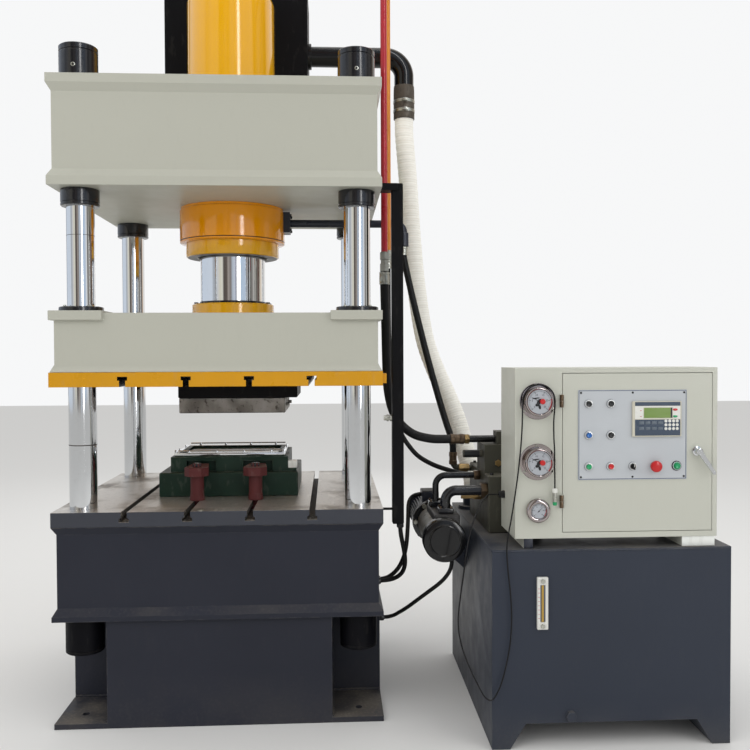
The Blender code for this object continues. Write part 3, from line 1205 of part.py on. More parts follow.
def build_panel():
    """The light face plate with the controls' bezels, and the display in its cut-out."""
    back = CABINET_FRONT - GAP
    face = back - PANEL_THICKNESS
    panel = block("panel_plate", (PANEL_LEFT, face, PANEL_BOTTOM),
                  (PANEL_LEFT + PANEL_WIDTH, back, PANEL_BOTTOM + PANEL_HEIGHT))
    for name, place_x, place_z in control_places():
        at = (place_x, 0.0, place_z)
        fuse(panel, rod("bezel_" + name, BEZEL_RADIUS, -back + 0.001, -face + BEZEL_HEIGHT, at, "-Y", 12))
        cut(panel, rod("panel_hole_" + name, BEZEL_BORE, -back - 0.01, -face + 0.02, at, "-Y", 12))
    cut(panel, block("panel_window", *display_window(0)))
    paint(panel, "panel_light")
    low = (DISPLAY_LEFT, face - GAP - DISPLAY_SIZE[1], DISPLAY_BOTTOM)
    high = (DISPLAY_LEFT + DISPLAY_SIZE[0], face - GAP, DISPLAY_BOTTOM + DISPLAY_SIZE[2])
    display = chamfer(block("operator_display", low, high), 0.0015)
    window_low, window_high = display_window(-0.0005)
    body = block("display_body", (window_low[0], face - 0.004, window_low[2]), window_high)
    screen = block("display_screen", (low[0] + 0.016, low[1] - 0.01, low[2] + 0.062),
                   (high[0] - 0.016, low[1] + SCREEN_RECESS, high[2] - 0.026))
    fuse(display, body)
    cut(display, screen)
    paint(display, "display_case")


def build_controls():
    """The nine operating elements, each with its origin on its own axis."""
    face = CABINET_FRONT - GAP - PANEL_THICKNESS
    for name, place_x, place_z in control_places():
        at = (place_x, face, place_z)
        if name == "emergency_stop":
            outline = ((0.0, MUSHROOM_HEIGHT), (MUSHROOM_RADIUS * 0.6, MUSHROOM_HEIGHT),
                       (MUSHROOM_RADIUS * 0.92, MUSHROOM_HEIGHT - 0.003),
                       (MUSHROOM_RADIUS, MUSHROOM_HEIGHT - 0.008), (MUSHROOM_RADIUS, MUSHROOM_BACK),
                       (CAP_RADIUS, MUSHROOM_BACK), (CAP_RADIUS, CAP_BACK + 0.002),
                       (STEM_RADIUS, CAP_BACK + 0.002), (STEM_RADIUS, -STEM_LENGTH), (0.0, -STEM_LENGTH))
        else:
            outline = ((0.0, CAP_HEIGHT), (CAP_RADIUS - CAP_CHAMFER, CAP_HEIGHT),
                       (CAP_RADIUS, CAP_HEIGHT - CAP_CHAMFER), (CAP_RADIUS, CAP_BACK),
                       (STEM_RADIUS, CAP_BACK), (STEM_RADIUS, -STEM_LENGTH), (0.0, -STEM_LENGTH))
        piece = turned(name, outline, at, "-Y", SMALL_ROUND)
        if name == "mode_selector":
            width, length, height = SELECTOR_BAR
            bar = block("selector_bar", (place_x - width / 2, face - CAP_HEIGHT - height, place_z - length / 2),
                        (place_x + width / 2, face - CAP_HEIGHT + 0.001, place_z + length / 2))
            fuse(piece, chamfer(bar, 0.001))
        paint(piece, CONTROL_COLOURS[name])


def build_handle():
    """The door's turning handle with its shaft and latch cam, on the shaft's axis."""
    at = (HANDLE_X, CABINET_FRONT, HANDLE_Z)
    inner = DOOR_THICKNESS + 0.004
    handle = turned("door_handle", (
        (0.0, HANDLE_STANDOFF), (HANDLE_HUB_RADIUS - 0.002, HANDLE_STANDOFF),
        (HANDLE_HUB_RADIUS, HANDLE_STANDOFF - 0.002), (HANDLE_HUB_RADIUS, 0.008),
        (HANDLE_HUB_RADIUS + 0.005, 0.006), (HANDLE_HUB_RADIUS + 0.005, GAP),
        (HANDLE_SHAFT_RADIUS, GAP), (HANDLE_SHAFT_RADIUS, -inner), (0.0, -inner)), at, "-Y", SMALL_ROUND)
    tip_x, tip_z = HANDLE_TIP
    length = hypot(tip_x, tip_z)
    lean = atan2(tip_z, tip_x)
    half = HANDLE_BAR_WIDTH / 2
    drawn = [(0.0, -half * 1.2), (length - half, -half * 0.8)]
    for step in range(7):
        angle = -pi / 2 + pi * step / 6
        drawn.append((length - half + half * 0.8 * cos(angle), half * 0.8 * sin(angle)))
    drawn.append((0.0, half * 1.2))
    outline = [(x * cos(lean) - z * sin(lean), x * sin(lean) + z * cos(lean)) for x, z in drawn]
    bar = prism("handle_bar", outline, HANDLE_STANDOFF - HANDLE_BAR_THICKNESS - 0.001,
                HANDLE_STANDOFF - 0.001, at)
    cam_low = inner - CAM_THICKNESS
    cam = block("handle_cam", (HANDLE_X - CAM_WIDTH / 2, CABINET_FRONT + cam_low, HANDLE_Z - CAM_LENGTH),
                (HANDLE_X + CAM_WIDTH / 2, CABINET_FRONT + inner, HANDLE_Z + CAM_WIDTH / 2))
    fuse(handle, bar, cam)
    paint(handle, "chrome")


def build_gauges():
    """Three pressure gauges through the cabinet's front."""
    front = -CABINET_FRONT + GAP
    for name, height in zip(("gauge_main", "gauge_return"), GAUGE_Z):
        at = (GAUGE_X, 0.0, height)
        top = front + GAUGE_RISE
        gauge = turned(name, (
            (0.0, top - GAUGE_RECESS), (GAUGE_DIAL_RADIUS, top - GAUGE_RECESS), (GAUGE_DIAL_RADIUS, top),
            (GAUGE_BODY_RADIUS - 0.002, top), (GAUGE_BODY_RADIUS, top - 0.003),
            (GAUGE_BODY_RADIUS, front + GAUGE_FLANGE_THICKNESS),
            (GAUGE_FLANGE_RADIUS, front + GAUGE_FLANGE_THICKNESS), (GAUGE_FLANGE_RADIUS, front),
            (GAUGE_BACK_RADIUS, front), (GAUGE_BACK_RADIUS, front - GAUGE_BACK_DEPTH),
            (0.0, front - GAUGE_BACK_DEPTH)), at, "-Y")
        knob_x, knob_z, knob_radius, knob_height = GAUGE_KNOB
        knob = rod(name + "_knob", knob_radius, top - GAUGE_RECESS - 0.001,
                   top - GAUGE_RECESS + knob_height, (GAUGE_X + knob_x, 0.0, height + knob_z), "-Y", 14)
        fuse(gauge, knob)
        paint(gauge, "chrome")
    top = front + SMALL_GAUGE_RISE
    small = turned("gauge_pilot", (
        (0.0, top - GAUGE_RECESS), (SMALL_GAUGE_DIAL, top - GAUGE_RECESS), (SMALL_GAUGE_DIAL, top),
        (SMALL_GAUGE_RADIUS - 0.003, top), (SMALL_GAUGE_RADIUS, top - 0.006), (SMALL_GAUGE_RADIUS, front),
        (SMALL_GAUGE_BACK, front), (SMALL_GAUGE_BACK, front - GAUGE_BACK_DEPTH),
        (0.0, front - GAUGE_BACK_DEPTH)), (GAUGE_X, 0.0, SMALL_GAUGE_Z), "-Y")
    paint(small, "chrome")


def build_pump():
    """The pump with its two bent port pipes, and the motor behind it on the tank's shelf."""
    at = (PUMP_X, 0.0, PUMP_Z)
    front = -PUMP_FRONT
    rear = front - PUMP_LENGTH
    pump = turned("pump", (
        (0.0, front), (PUMP_BOSS_RADIUS, front), (PUMP_BOSS_RADIUS + 0.004, front - PUMP_BOSS_STEP),
        (PUMP_COVER_RADIUS - 0.008, front - PUMP_BOSS_STEP), (PUMP_COVER_RADIUS, front - PUMP_BOSS_STEP - 0.006),
        (PUMP_COVER_RADIUS, front - PUMP_COVER_LENGTH), (PUMP_BODY_RADIUS, front - PUMP_COVER_LENGTH - 0.008),
        (PUMP_BODY_RADIUS, rear + PUMP_FLANGE_THICKNESS), (PUMP_FLANGE_RADIUS, rear + PUMP_FLANGE_THICKNESS),
        (PUMP_FLANGE_RADIUS, rear), (0.0, rear)), at, "-Y")
    fuse(pump, block("pump_ports", *PORT_BLOCK))
    fuse(pump, rod("pump_gland", CABLE_GLAND_RADIUS, CABLE_START[2] + GAP, PUMP_Z, (*CABLE_START[:2], 0.0), "Z", 12))
    inlet_x = MANIFOLD_LOW[0] - GAP
    top = PORT_BLOCK[1][2]
    for name, foot, height, radius in (("pipe_a", PIPE_A, PIPE_A_Z, PIPE_A_RADIUS),
                                       ("pipe_b", PIPE_B, PIPE_B_Z, PIPE_B_RADIUS)):
        line = pipe("pump_" + name, ((*foot, top - 0.005), (*foot, height), (inlet_x, foot[1], height)),
                    radius, PUMP_PIPE_BEND, 3)
        half = PORT_FLANGE[0] / 2
        flange = block("pump_flange_" + name, (foot[0] - half, foot[1] - half, top - 0.002),
                       (foot[0] + half, foot[1] + half, top + PORT_FLANGE[1]))
        fuse(pump, line, flange)
    paint(pump, "black_paint")
    motor_front = rear - GAP
    motor_back = motor_front - MOTOR_LENGTH
    motor = turned("drive_motor", (
        (0.0, motor_front), (PUMP_FLANGE_RADIUS, motor_front), (PUMP_FLANGE_RADIUS, motor_front - 0.014),
        (MOTOR_RADIUS - 0.005, motor_front - 0.014), (MOTOR_RADIUS - 0.005, motor_back + MOTOR_COWL_LENGTH),
        (MOTOR_RADIUS, motor_back + MOTOR_COWL_LENGTH), (MOTOR_RADIUS, motor_back + 0.015),
        (MOTOR_RADIUS - 0.018, motor_back), (0.0, motor_back)), at, "-Y")
    half = MOTOR_FOOT_WIDTH / 2
    shelf_top = PUMP_Z - MOTOR_RADIUS
    feet = block("motor_feet", (PUMP_X - half, -motor_front + 0.05, shelf_top),
                 (PUMP_X + half, -motor_front + 0.19, shelf_top + 0.026))
    box_low = PUMP_Z + MOTOR_RADIUS - 0.020
    box_y = -motor_front + 0.06
    terminal = block("motor_terminals", (PUMP_X - TERMINAL_BOX[0] / 2, box_y, box_low),
                     (PUMP_X + TERMINAL_BOX[0] / 2, box_y + TERMINAL_BOX[1], box_low + TERMINAL_BOX[2]))
    fuse(motor, feet, chamfer(terminal, 0.004))
    paint(motor, "black_paint")


def build_valves():
    """The manifold with its valve, solenoid and hose ends behind the cabinet."""
    manifold = chamfer(block("valve_block", MANIFOLD_LOW, MANIFOLD_HIGH), 0.004)
    valve = block("valve_body", (VALVE_LOW[0], VALVE_LOW[1], VALVE_LOW[2] - 0.01), VALVE_HIGH)
    coil_y, coil_z, coil_radius, coil_length = SOLENOID
    coil = rod("solenoid", coil_radius, VALVE_LOW[0] - coil_length, VALVE_LOW[0] + 0.01,
               (0.0, coil_y, coil_z), "X", 16, 0.002)
    stub = rod("pressure_stub", STUB_RADIUS, STUB_START[0], STUB_FLANGE[0][0] + 0.01,
               (0.0, STUB_START[1], STUB_START[2]), "X", 16)
    flange = block("stub_flange", *STUB_FLANGE)
    rod_stub = pipe("rod_stub", (ROD_STUB, (ROD_STUB[0], ROD_STUB[1], ROD_STUB_Z),
                                 (MANIFOLD_LOW[0] + 0.01, ROD_STUB[1], ROD_STUB_Z)),
                    ROD_STUB_RADIUS, 0.028, 3)
    fuse(manifold, valve, coil, flange, stub, rod_stub)
    paint(manifold, "valve_grey")


def build_cords():
    """The hoses, conduits and wires that hang freely, and the plug on the gauge wire."""
    cord("suction_hose", SUCTION_HOSE, SUCTION_HOSE_RADIUS, "hose_cloth", 0.002, 4)
    cord("pressure_hose", PRESSURE_HOSE, PRESSURE_HOSE_RADIUS, "hose_rubber", 0.001, 3)
    cord("pilot_hose", PILOT_HOSE, PILOT_HOSE_RADIUS, "hose_rubber", 0.0012)
    cord("rod_side_hose", ROD_HOSE, ROD_HOSE_RADIUS, "hose_rubber", 0.001)
    cord("motor_cable", MOTOR_CABLE, MOTOR_CABLE_RADIUS, "hose_rubber", 0.001)
    cord("switch_conduit", SWITCH_CONDUIT, SWITCH_CONDUIT_RADIUS, "hose_rubber", 0.001)
    cord("motor_conduit", MOTOR_CONDUIT, MOTOR_CONDUIT_RADIUS, "hose_rubber", 0.001)
    cord("gauge_wire", GAUGE_WIRE, GAUGE_WIRE_RADIUS, "hose_rubber", 0.0012)
    top_x, top_y, top_z = GAUGE_WIRE[0]
    top = top_z - GAP
    outline = ((0.0, top), (CONNECTOR_CAP_RADIUS, top), (CONNECTOR_CAP_RADIUS, top - CONNECTOR_CAP_LENGTH),
               (CONNECTOR_RADIUS, top - CONNECTOR_CAP_LENGTH), (CONNECTOR_RADIUS, top - CONNECTOR_LENGTH),
               (0.0, top - CONNECTOR_LENGTH))
    paint(turned("wire_plug", outline, (top_x, top_y, 0.0), steps=16), "level_white")


clear_scene()
PARTS = new_collection("hydraulic_press")
TOOLS = new_collection("cutters")
build_bed()
build_columns()
build_beam()
build_cylinder()
build_ram()
build_slide()
build_dies()
build_clamps()
build_prefill()
build_pipes()
build_post()
build_tank()
build_cabinet()
build_door()
build_panel()
build_controls()
build_handle()
build_gauges()
build_pump()
build_valves()
build_cords()
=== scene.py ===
"""Looks of a four-column hydraulic press with its power unit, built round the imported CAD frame.

The frame's origin is the middle of the bed's underside: X to the right, Y to the back, Z up,
in metres. Every dressed piece rides on a CAD body and keeps its place in its mesh.
"""

import logging
from collections.abc import Iterable, Sequence
from dataclasses import dataclass, field
from enum import Enum
from functools import cache
from math import cos, hypot, pi, radians, sin

import bpy
from mathutils import Matrix, Vector

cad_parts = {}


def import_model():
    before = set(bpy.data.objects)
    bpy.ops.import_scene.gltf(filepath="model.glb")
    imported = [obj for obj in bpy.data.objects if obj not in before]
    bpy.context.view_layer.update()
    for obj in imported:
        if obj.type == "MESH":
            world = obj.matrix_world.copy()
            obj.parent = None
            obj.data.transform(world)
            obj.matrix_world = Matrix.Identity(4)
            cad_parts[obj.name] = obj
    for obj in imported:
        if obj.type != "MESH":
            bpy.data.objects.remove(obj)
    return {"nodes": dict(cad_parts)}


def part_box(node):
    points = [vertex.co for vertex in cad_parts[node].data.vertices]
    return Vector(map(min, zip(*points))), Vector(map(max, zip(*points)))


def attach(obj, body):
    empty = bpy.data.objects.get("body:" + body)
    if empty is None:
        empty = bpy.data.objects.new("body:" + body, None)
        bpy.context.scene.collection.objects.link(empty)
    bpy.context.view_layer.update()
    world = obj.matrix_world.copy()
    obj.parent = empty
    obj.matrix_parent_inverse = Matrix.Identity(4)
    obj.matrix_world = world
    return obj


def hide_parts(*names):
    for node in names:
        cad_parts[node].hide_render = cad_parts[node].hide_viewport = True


LOG = logging.getLogger("press")
Point = tuple[float, float, float]
Colour = tuple[float, float, float, float]
Outline = Sequence[tuple[float, float]]
Piece = bpy.types.Object
Socket = bpy.types.NodeSocket
CORNERS = (("front_left", -1, -1), ("front_right", 1, -1), ("back_left", -1, 1), ("back_right", 1, 1))


class Axis(Enum):
    """The way a turned or drawn piece faces."""

    UP = (0.0, 0.0, 0.0)
    FRONT = (pi / 2, 0.0, 0.0)
    RIGHT = (0.0, pi / 2, 0.0)


class Body(Enum):
    """The CAD bodies that pieces ride on."""

    PRESS = "press"
    SLIDE = "slide"
    DOOR = "door"
    HANDLE = "handle"


def srgb(red: int, green: int, blue: int) -> Colour:
    """Turn a screen colour into a linear one.

    Args:
        red: Red, 0 to 255.
        green: Green, 0 to 255.
        blue: Blue, 0 to 255.

    Returns:
        Linear red, green, blue and alpha.
    """
    made = []
    for value in (red, green, blue):
        share = value / 255
        made.append(share / 12.92 if share <= 0.04045 else ((share + 0.055) / 1.055) ** 2.4)
    return (made[0], made[1], made[2], 1.0)


def millimetres(*points: Sequence[float]) -> tuple[tuple[float, ...], ...]:
    """Points given in millimetres, in metres."""
    return tuple(tuple(round(value / 1000, 9) for value in point) for point in points)


def section(*points: tuple[float, float], out: float = 0.0, up: float = 0.0) -> Outline:
    """Points of a section, in millimetres from a radius and a height that are in metres."""
    return [(out + radius, up + height) for radius, height in millimetres(*points)]


# Modelling


def clear_selection() -> None:
    """Leave edit mode and deselect everything."""
    if bpy.context.object and bpy.context.object.mode != "OBJECT":
        bpy.ops.object.mode_set(mode="OBJECT")
    bpy.ops.object.select_all(action="DESELECT")


def pick(piece: Piece, *others: Piece) -> None:
    """Select pieces, the first of them active."""
    clear_selection()
    for one in (piece, *others):
        one.select_set(True)
    bpy.context.view_layer.objects.active = piece


def settle(piece: Piece, at: Point = (0, 0, 0), turn: Point = (0, 0, 0)) -> Piece:
    """Turn and move a piece, and put the change in its mesh.

    Args:
        piece: The piece, whose own origin is at the world's.
        at: Where its origin goes.
        turn: Its turn, as Euler angles.

    Returns:
        The same piece.
    """
    piece.rotation_euler = turn
    piece.location = at
    pick(piece)
    bpy.ops.object.transform_apply(location=True, rotation=True, scale=True)
    return piece


def clean(piece: Piece, smooth: float = 32.0) -> Piece:
    """Merge doubles, turn the faces outward and shade a piece.

    Args:
        piece: The piece.
        smooth: Angle in degrees under which edges are shaded smooth.

    Returns:
        The same piece.
    """
    pick(piece)
    bpy.ops.object.mode_set(mode="EDIT")
    bpy.ops.mesh.select_all(action="SELECT")
    bpy.ops.mesh.remove_doubles(threshold=0.000005)
    bpy.ops.mesh.normals_make_consistent(inside=False)
    bpy.ops.object.mode_set(mode="OBJECT")
    bpy.ops.object.shade_smooth_by_angle(angle=radians(smooth))
    return piece


def turned(name: str, outline: Outline, at: Point = (0, 0, 0), axis: Axis = Axis.UP, segments: int = 64,
        ring: bool = False) -> Piece:
    """Model a turned piece by extruding and scaling a disc along its outline.

    Args:
        name: The piece's name.
        outline: Radius and height of each point down its section.
        at: The place of its axis.
        axis: The way its axis points.
        segments: Facets round it.
        ring: True where the outline closes on itself round a bore.

    Returns:
        The piece.
    """
    radius, height = outline[0]
    clear_selection()
    bpy.ops.mesh.primitive_circle_add(vertices=segments, radius=radius, fill_type="NOTHING" if ring else "NGON",
        location=(0, 0, height))
    piece = bpy.context.object
    piece.name = name
    bpy.ops.object.transform_apply(location=True, rotation=True, scale=True)
    bpy.ops.object.mode_set(mode="EDIT")
    bpy.ops.mesh.select_mode(type="VERT")
    bpy.ops.mesh.select_all(action="SELECT")
    course = list(outline[1:]) + ([outline[0]] if ring else [])
    for next_radius, next_height in course:
        bpy.ops.mesh.extrude_region_move(TRANSFORM_OT_translate={"value": (0, 0, next_height - height)})
        share = next_radius / radius
        if abs(share - 1) > 1e-6:
            bpy.ops.transform.resize(value=(share, share, 1), center_override=(0, 0, next_height))
        radius, height = next_radius, next_height
    clean(piece)
    return settle(piece, at, axis.value)


def slab(name: str, low: Point, high: Point, edge: float = 0.001, segments: int = 2) -> Piece:
    """Model a block between two corners, with its edges rounded.

    Args:
        name: The piece's name.
        low: Its lowest corner.
        high: Its highest corner.
        edge: Width of the rounded edge.
        segments: Facets across the edge.

    Returns:
        The piece.
    """
    clear_selection()
    middle = [(a + b) / 2 for a, b in zip(low, high)]
    size = [abs(b - a) for a, b in zip(low, high)]
    bpy.ops.mesh.primitive_cube_add(size=1, location=middle, scale=size)
    piece = bpy.context.object
    piece.name = name
    bpy.ops.object.transform_apply(location=True, rotation=True, scale=True)
    bpy.ops.object.mode_set(mode="EDIT")
    bpy.ops.mesh.select_all(action="SELECT")
    bpy.ops.mesh.bevel(offset=edge, offset_type="OFFSET", segments=segments, affect="EDGES")
    return clean(piece)


def drawn(name: str, outline: Outline, depth: float, at: Point = (0, 0, 0), axis: Axis = Axis.FRONT,
        edge: float = 0.0005) -> Piece:
    """Model a flat shape with thickness and rounded rims from its outline.

    Args:
        name: The piece's name.
        outline: Its corners, across and up.
        depth: Its whole thickness, to both sides of its place.
        at: The place of its middle.
        axis: The way its face points.
        edge: Width of its rounded rim.

    Returns:
        The piece.
    """
    shape = bpy.data.curves.new(name, "CURVE")
    shape.dimensions = "2D"
    shape.fill_mode = "BOTH"
    shape.extrude = depth / 2 - edge
    shape.bevel_depth = edge
    shape.bevel_resolution = 1
    shape.offset = -edge
    line = shape.splines.new("POLY")
    line.points.add(len(outline) - 1)
    for point, (across, up) in zip(line.points, outline):
        point.co = (across, up, 0, 1)
    line.use_cyclic_u = True
    piece = bpy.data.objects.new(name, shape)
    bpy.context.scene.collection.objects.link(piece)
    pick(piece)
    bpy.ops.object.convert(target="MESH")
    return settle(clean(bpy.context.object), at, axis.value)


def smooth_course(points: Iterable[Point], spacing: float) -> list[Vector]:
    """Follow a smooth curve through points, straight at both ends.

    Args:
        points: The route's own points.
        spacing: Distance between the points returned.

    Returns:
        Points along the curve.
    """
    knots = [Vector(point) for point in points]
    fine = [knots[0].lerp(knots[1], step / 12) for step in range(12)]
    for before, one, other, after in zip(knots, knots[1:], knots[2:], knots[3:]):
        for step in range(16):
            share = step / 16
            fine.append(0.5 * (2 * one + (other - before) * share + (2 * before - 5 * one + 4 * other - after)
                * share ** 2 + (3 * one - before - 3 * other + after) * share ** 3))
    fine += [knots[-2].lerp(knots[-1], step / 12) for step in range(13)]
    reach = [0.0]
    for one, other in zip(fine, fine[1:]):
        reach.append(reach[-1] + (other - one).length)
    count = max(12, round(reach[-1] / spacing))
    course = []
    index = 0
    for step in range(count + 1):
        target = reach[-1] * step / count
        while index < len(reach) - 2 and reach[index + 1] < target:
            index += 1
        span = reach[index + 1] - reach[index]
        course.append(fine[index].lerp(fine[index + 1], (target - reach[index]) / span if span else 0.0))
    return course


def bent_course(corners: Iterable[Point], bend: float, steps: int = 12) -> list[Vector]:
    """Follow straight runs whose corners are arcs.

    Args:
        corners: The ends and corners of the runs.
        bend: Radius of the arcs.
        steps: Points along each arc.

    Returns:
        Points along the course.
    """
    knots = [Vector(corner) for corner in corners]
    course = [knots[0]]
    for before, corner, after in zip(knots, knots[1:], knots[2:]):
        back = (before - corner).normalized()
        ahead = (after - corner).normalized()
        half = back.angle(ahead) / 2
        centre = corner + (back + ahead).normalized() * bend / sin(half)
        start = corner + back * (bend * cos(half) / sin(half)) - centre
        end = corner + ahead * (bend * cos(half) / sin(half)) - centre
        sweep = start.angle(end)
        for step in range(steps + 1):
            share = step / steps
            course.append(centre + (start * sin((1 - share) * sweep) + end * sin(share * sweep)) / sin(sweep))
    course.append(knots[-1])
    return course


def tube(name: str, course: Sequence[Vector], radius: float, swell: Sequence[float] = (), facets: int = 8) -> Piece:
    """Model a round tube along a course, with filled ends.

    Args:
        name: The piece's name.
        course: The points that it follows.
        radius: Its radius.
        swell: A factor on the radius at each point, or nothing.
        facets: Fineness of its section.

    Returns:
        The piece, a mesh with its length along U.
    """
    line = bpy.data.curves.new(name, "CURVE")
    line.dimensions = "3D"
    line.bevel_depth = radius
    line.bevel_resolution = facets
    line.use_fill_caps = True
    run = line.splines.new("POLY")
    run.points.add(len(course) - 1)
    for index, (point, place) in enumerate(zip(run.points, course)):
        point.co = (*place, 1)
        point.radius = swell[index] if swell else 1.0
    piece = bpy.data.objects.new(name, line)
    bpy.context.scene.collection.objects.link(piece)
    pick(piece)
    bpy.ops.object.convert(target="MESH")
    return clean(bpy.context.object, 40)


def refined(name: str, node: str, edge: float = 0.002, segments: int = 2) -> Piece:
    """Copy a CAD node's solid and round its edges.

    Args:
        name: The new piece's name.
        node: The CAD node that it stands for.
        edge: Width of the rounded edges.
        segments: Facets across an edge.

    Returns:
        The piece, which replaces the node.
    """
    source = bpy.data.objects[node] if node in bpy.data.objects else FRAME_NODES[node]
    piece = source.copy()
    piece.data = source.data.copy()
    piece.name = name
    for key in list(piece.keys()):
        del piece[key]
    bpy.context.scene.collection.objects.link(piece)
    piece.parent = None
    piece.matrix_world = Matrix.Identity(4)
    pick(piece)
    bpy.ops.object.mode_set(mode="EDIT")
    bpy.ops.mesh.select_all(action="SELECT")
    bpy.ops.mesh.remove_doubles(threshold=0.00002)
    bpy.ops.mesh.dissolve_limited(angle_limit=radians(0.5))
    bpy.ops.object.mode_set(mode="OBJECT")
    step = piece.modifiers.new("Edges", "BEVEL")
    step.width = edge
    step.segments = segments
    step.limit_method = "ANGLE"
    step.angle_limit = radians(28)
    step.harden_normals = False
    bpy.ops.object.modifier_apply(modifier="Edges")
    clean(piece, 30)
    flat = piece.modifiers.new("Flat", "WEIGHTED_NORMAL")
    flat.keep_sharp = True
    bpy.ops.object.modifier_apply(modifier="Flat")
    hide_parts(node)
    return piece


def repeated(name: str, model: Piece, places: Iterable[tuple[Point, Point]]) -> Piece:
    """Copy a modelled piece to several places and join the copies.

    Args:
        name: The joined piece's name.
        model: The piece to copy, modelled at the world's origin, which is used up.
        places: A place and a turn for each copy.

    Returns:
        The joined piece.
    """
    copies = []
    for place, turn in places:
        copy = model.copy()
        copy.data = model.data.copy()
        bpy.context.scene.collection.objects.link(copy)
        copies.append(settle(copy, place, turn))
    bpy.data.objects.remove(model)
    return joined(name, copies)


def joined(name: str, pieces: Sequence[Piece]) -> Piece:
    """Join pieces of one finish into one."""
    pick(pieces[0], *pieces[1:])
    if len(pieces) > 1:
        bpy.ops.object.join()
    piece = bpy.context.object
    piece.name = name
    piece.data.name = name
    return piece


def ring_places(count: int, radius: float, at: Point, axis: Axis = Axis.UP, first: float = 0.0) -> list:
    """Places and turns of pieces spread round a circle.

    Args:
        count: How many.
        radius: The circle's radius.
        at: Its middle.
        axis: The way the circle faces.
        first: Angle of the first, in degrees.

    Returns:
        A place and a turn for each.
    """
    places = []
    for index in range(count):
        angle = radians(first) + 2 * pi * index / count
        across, up = radius * cos(angle), radius * sin(angle)
        if axis is Axis.UP:
            offset = (across, up, 0)
        elif axis is Axis.FRONT:
            offset = (across, 0, up)
        else:
            offset = (0, across, up)
        places.append((tuple(a + b for a, b in zip(at, offset)), axis.value))
    return places


def socket_screw(name: str, radius: float, height: float) -> Piece:
    """Model a socket-head screw, with its hexagon recess, standing on the ground plane."""
    piece = turned(name, ((radius, -0.0005), (radius, height * 0.88), (radius * 0.9, height),
        (radius * 0.6, height)), segments=20)
    pick(piece)
    bpy.ops.object.mode_set(mode="EDIT")
    bpy.ops.mesh.select_mode(type="FACE")
    bpy.ops.mesh.select_all(action="DESELECT")
    bpy.ops.object.mode_set(mode="OBJECT")
    for face in piece.data.polygons:
        face.select = face.center.z > height * 0.99 and hypot(face.center.x, face.center.y) < radius * 0.1
    bpy.ops.object.mode_set(mode="EDIT")
    bpy.ops.mesh.extrude_region_move(TRANSFORM_OT_translate={"value": (0, 0, -height * 0.5)})
    bpy.ops.object.mode_set(mode="OBJECT")
    return clean(piece)


def hex_nut(name: str, across: float, height: float, bore: float = 0.0) -> Piece:
    """Model a chamfered hexagon head or nut on the ground plane.

    Args:
        name: The piece's name.
        across: Half the distance across its corners.
        height: Its height.
        bore: Radius of a stud that stands out of it, or 0.

    Returns:
        The piece.
    """
    outline = [(across, -0.0005), (across, height * 0.85), (across * 0.88, height)]
    if bore:
        outline += [(bore, height), (bore, height * 1.5), (bore * 0.8, height * 1.6)]
    return turned(name, outline, segments=6)


def welded(name: str, course: Sequence[Vector], radius: float) -> Piece:
    """Model a weld bead with its ripples along a course."""
    swell = [1.0 + 0.16 * sin(index * 2.1) + 0.06 * sin(index * 0.7) for index in range(len(course))]
    return tube(name, course, radius, swell, 3)


def line_course(start: Point, end: Point, spacing: float) -> list[Vector]:
    """Even points from one point to another."""
    one, other = Vector(start), Vector(end)
    count = max(2, round((other - one).length / spacing))
    return [one.lerp(other, step / count) for step in range(count + 1)]


# Finishes


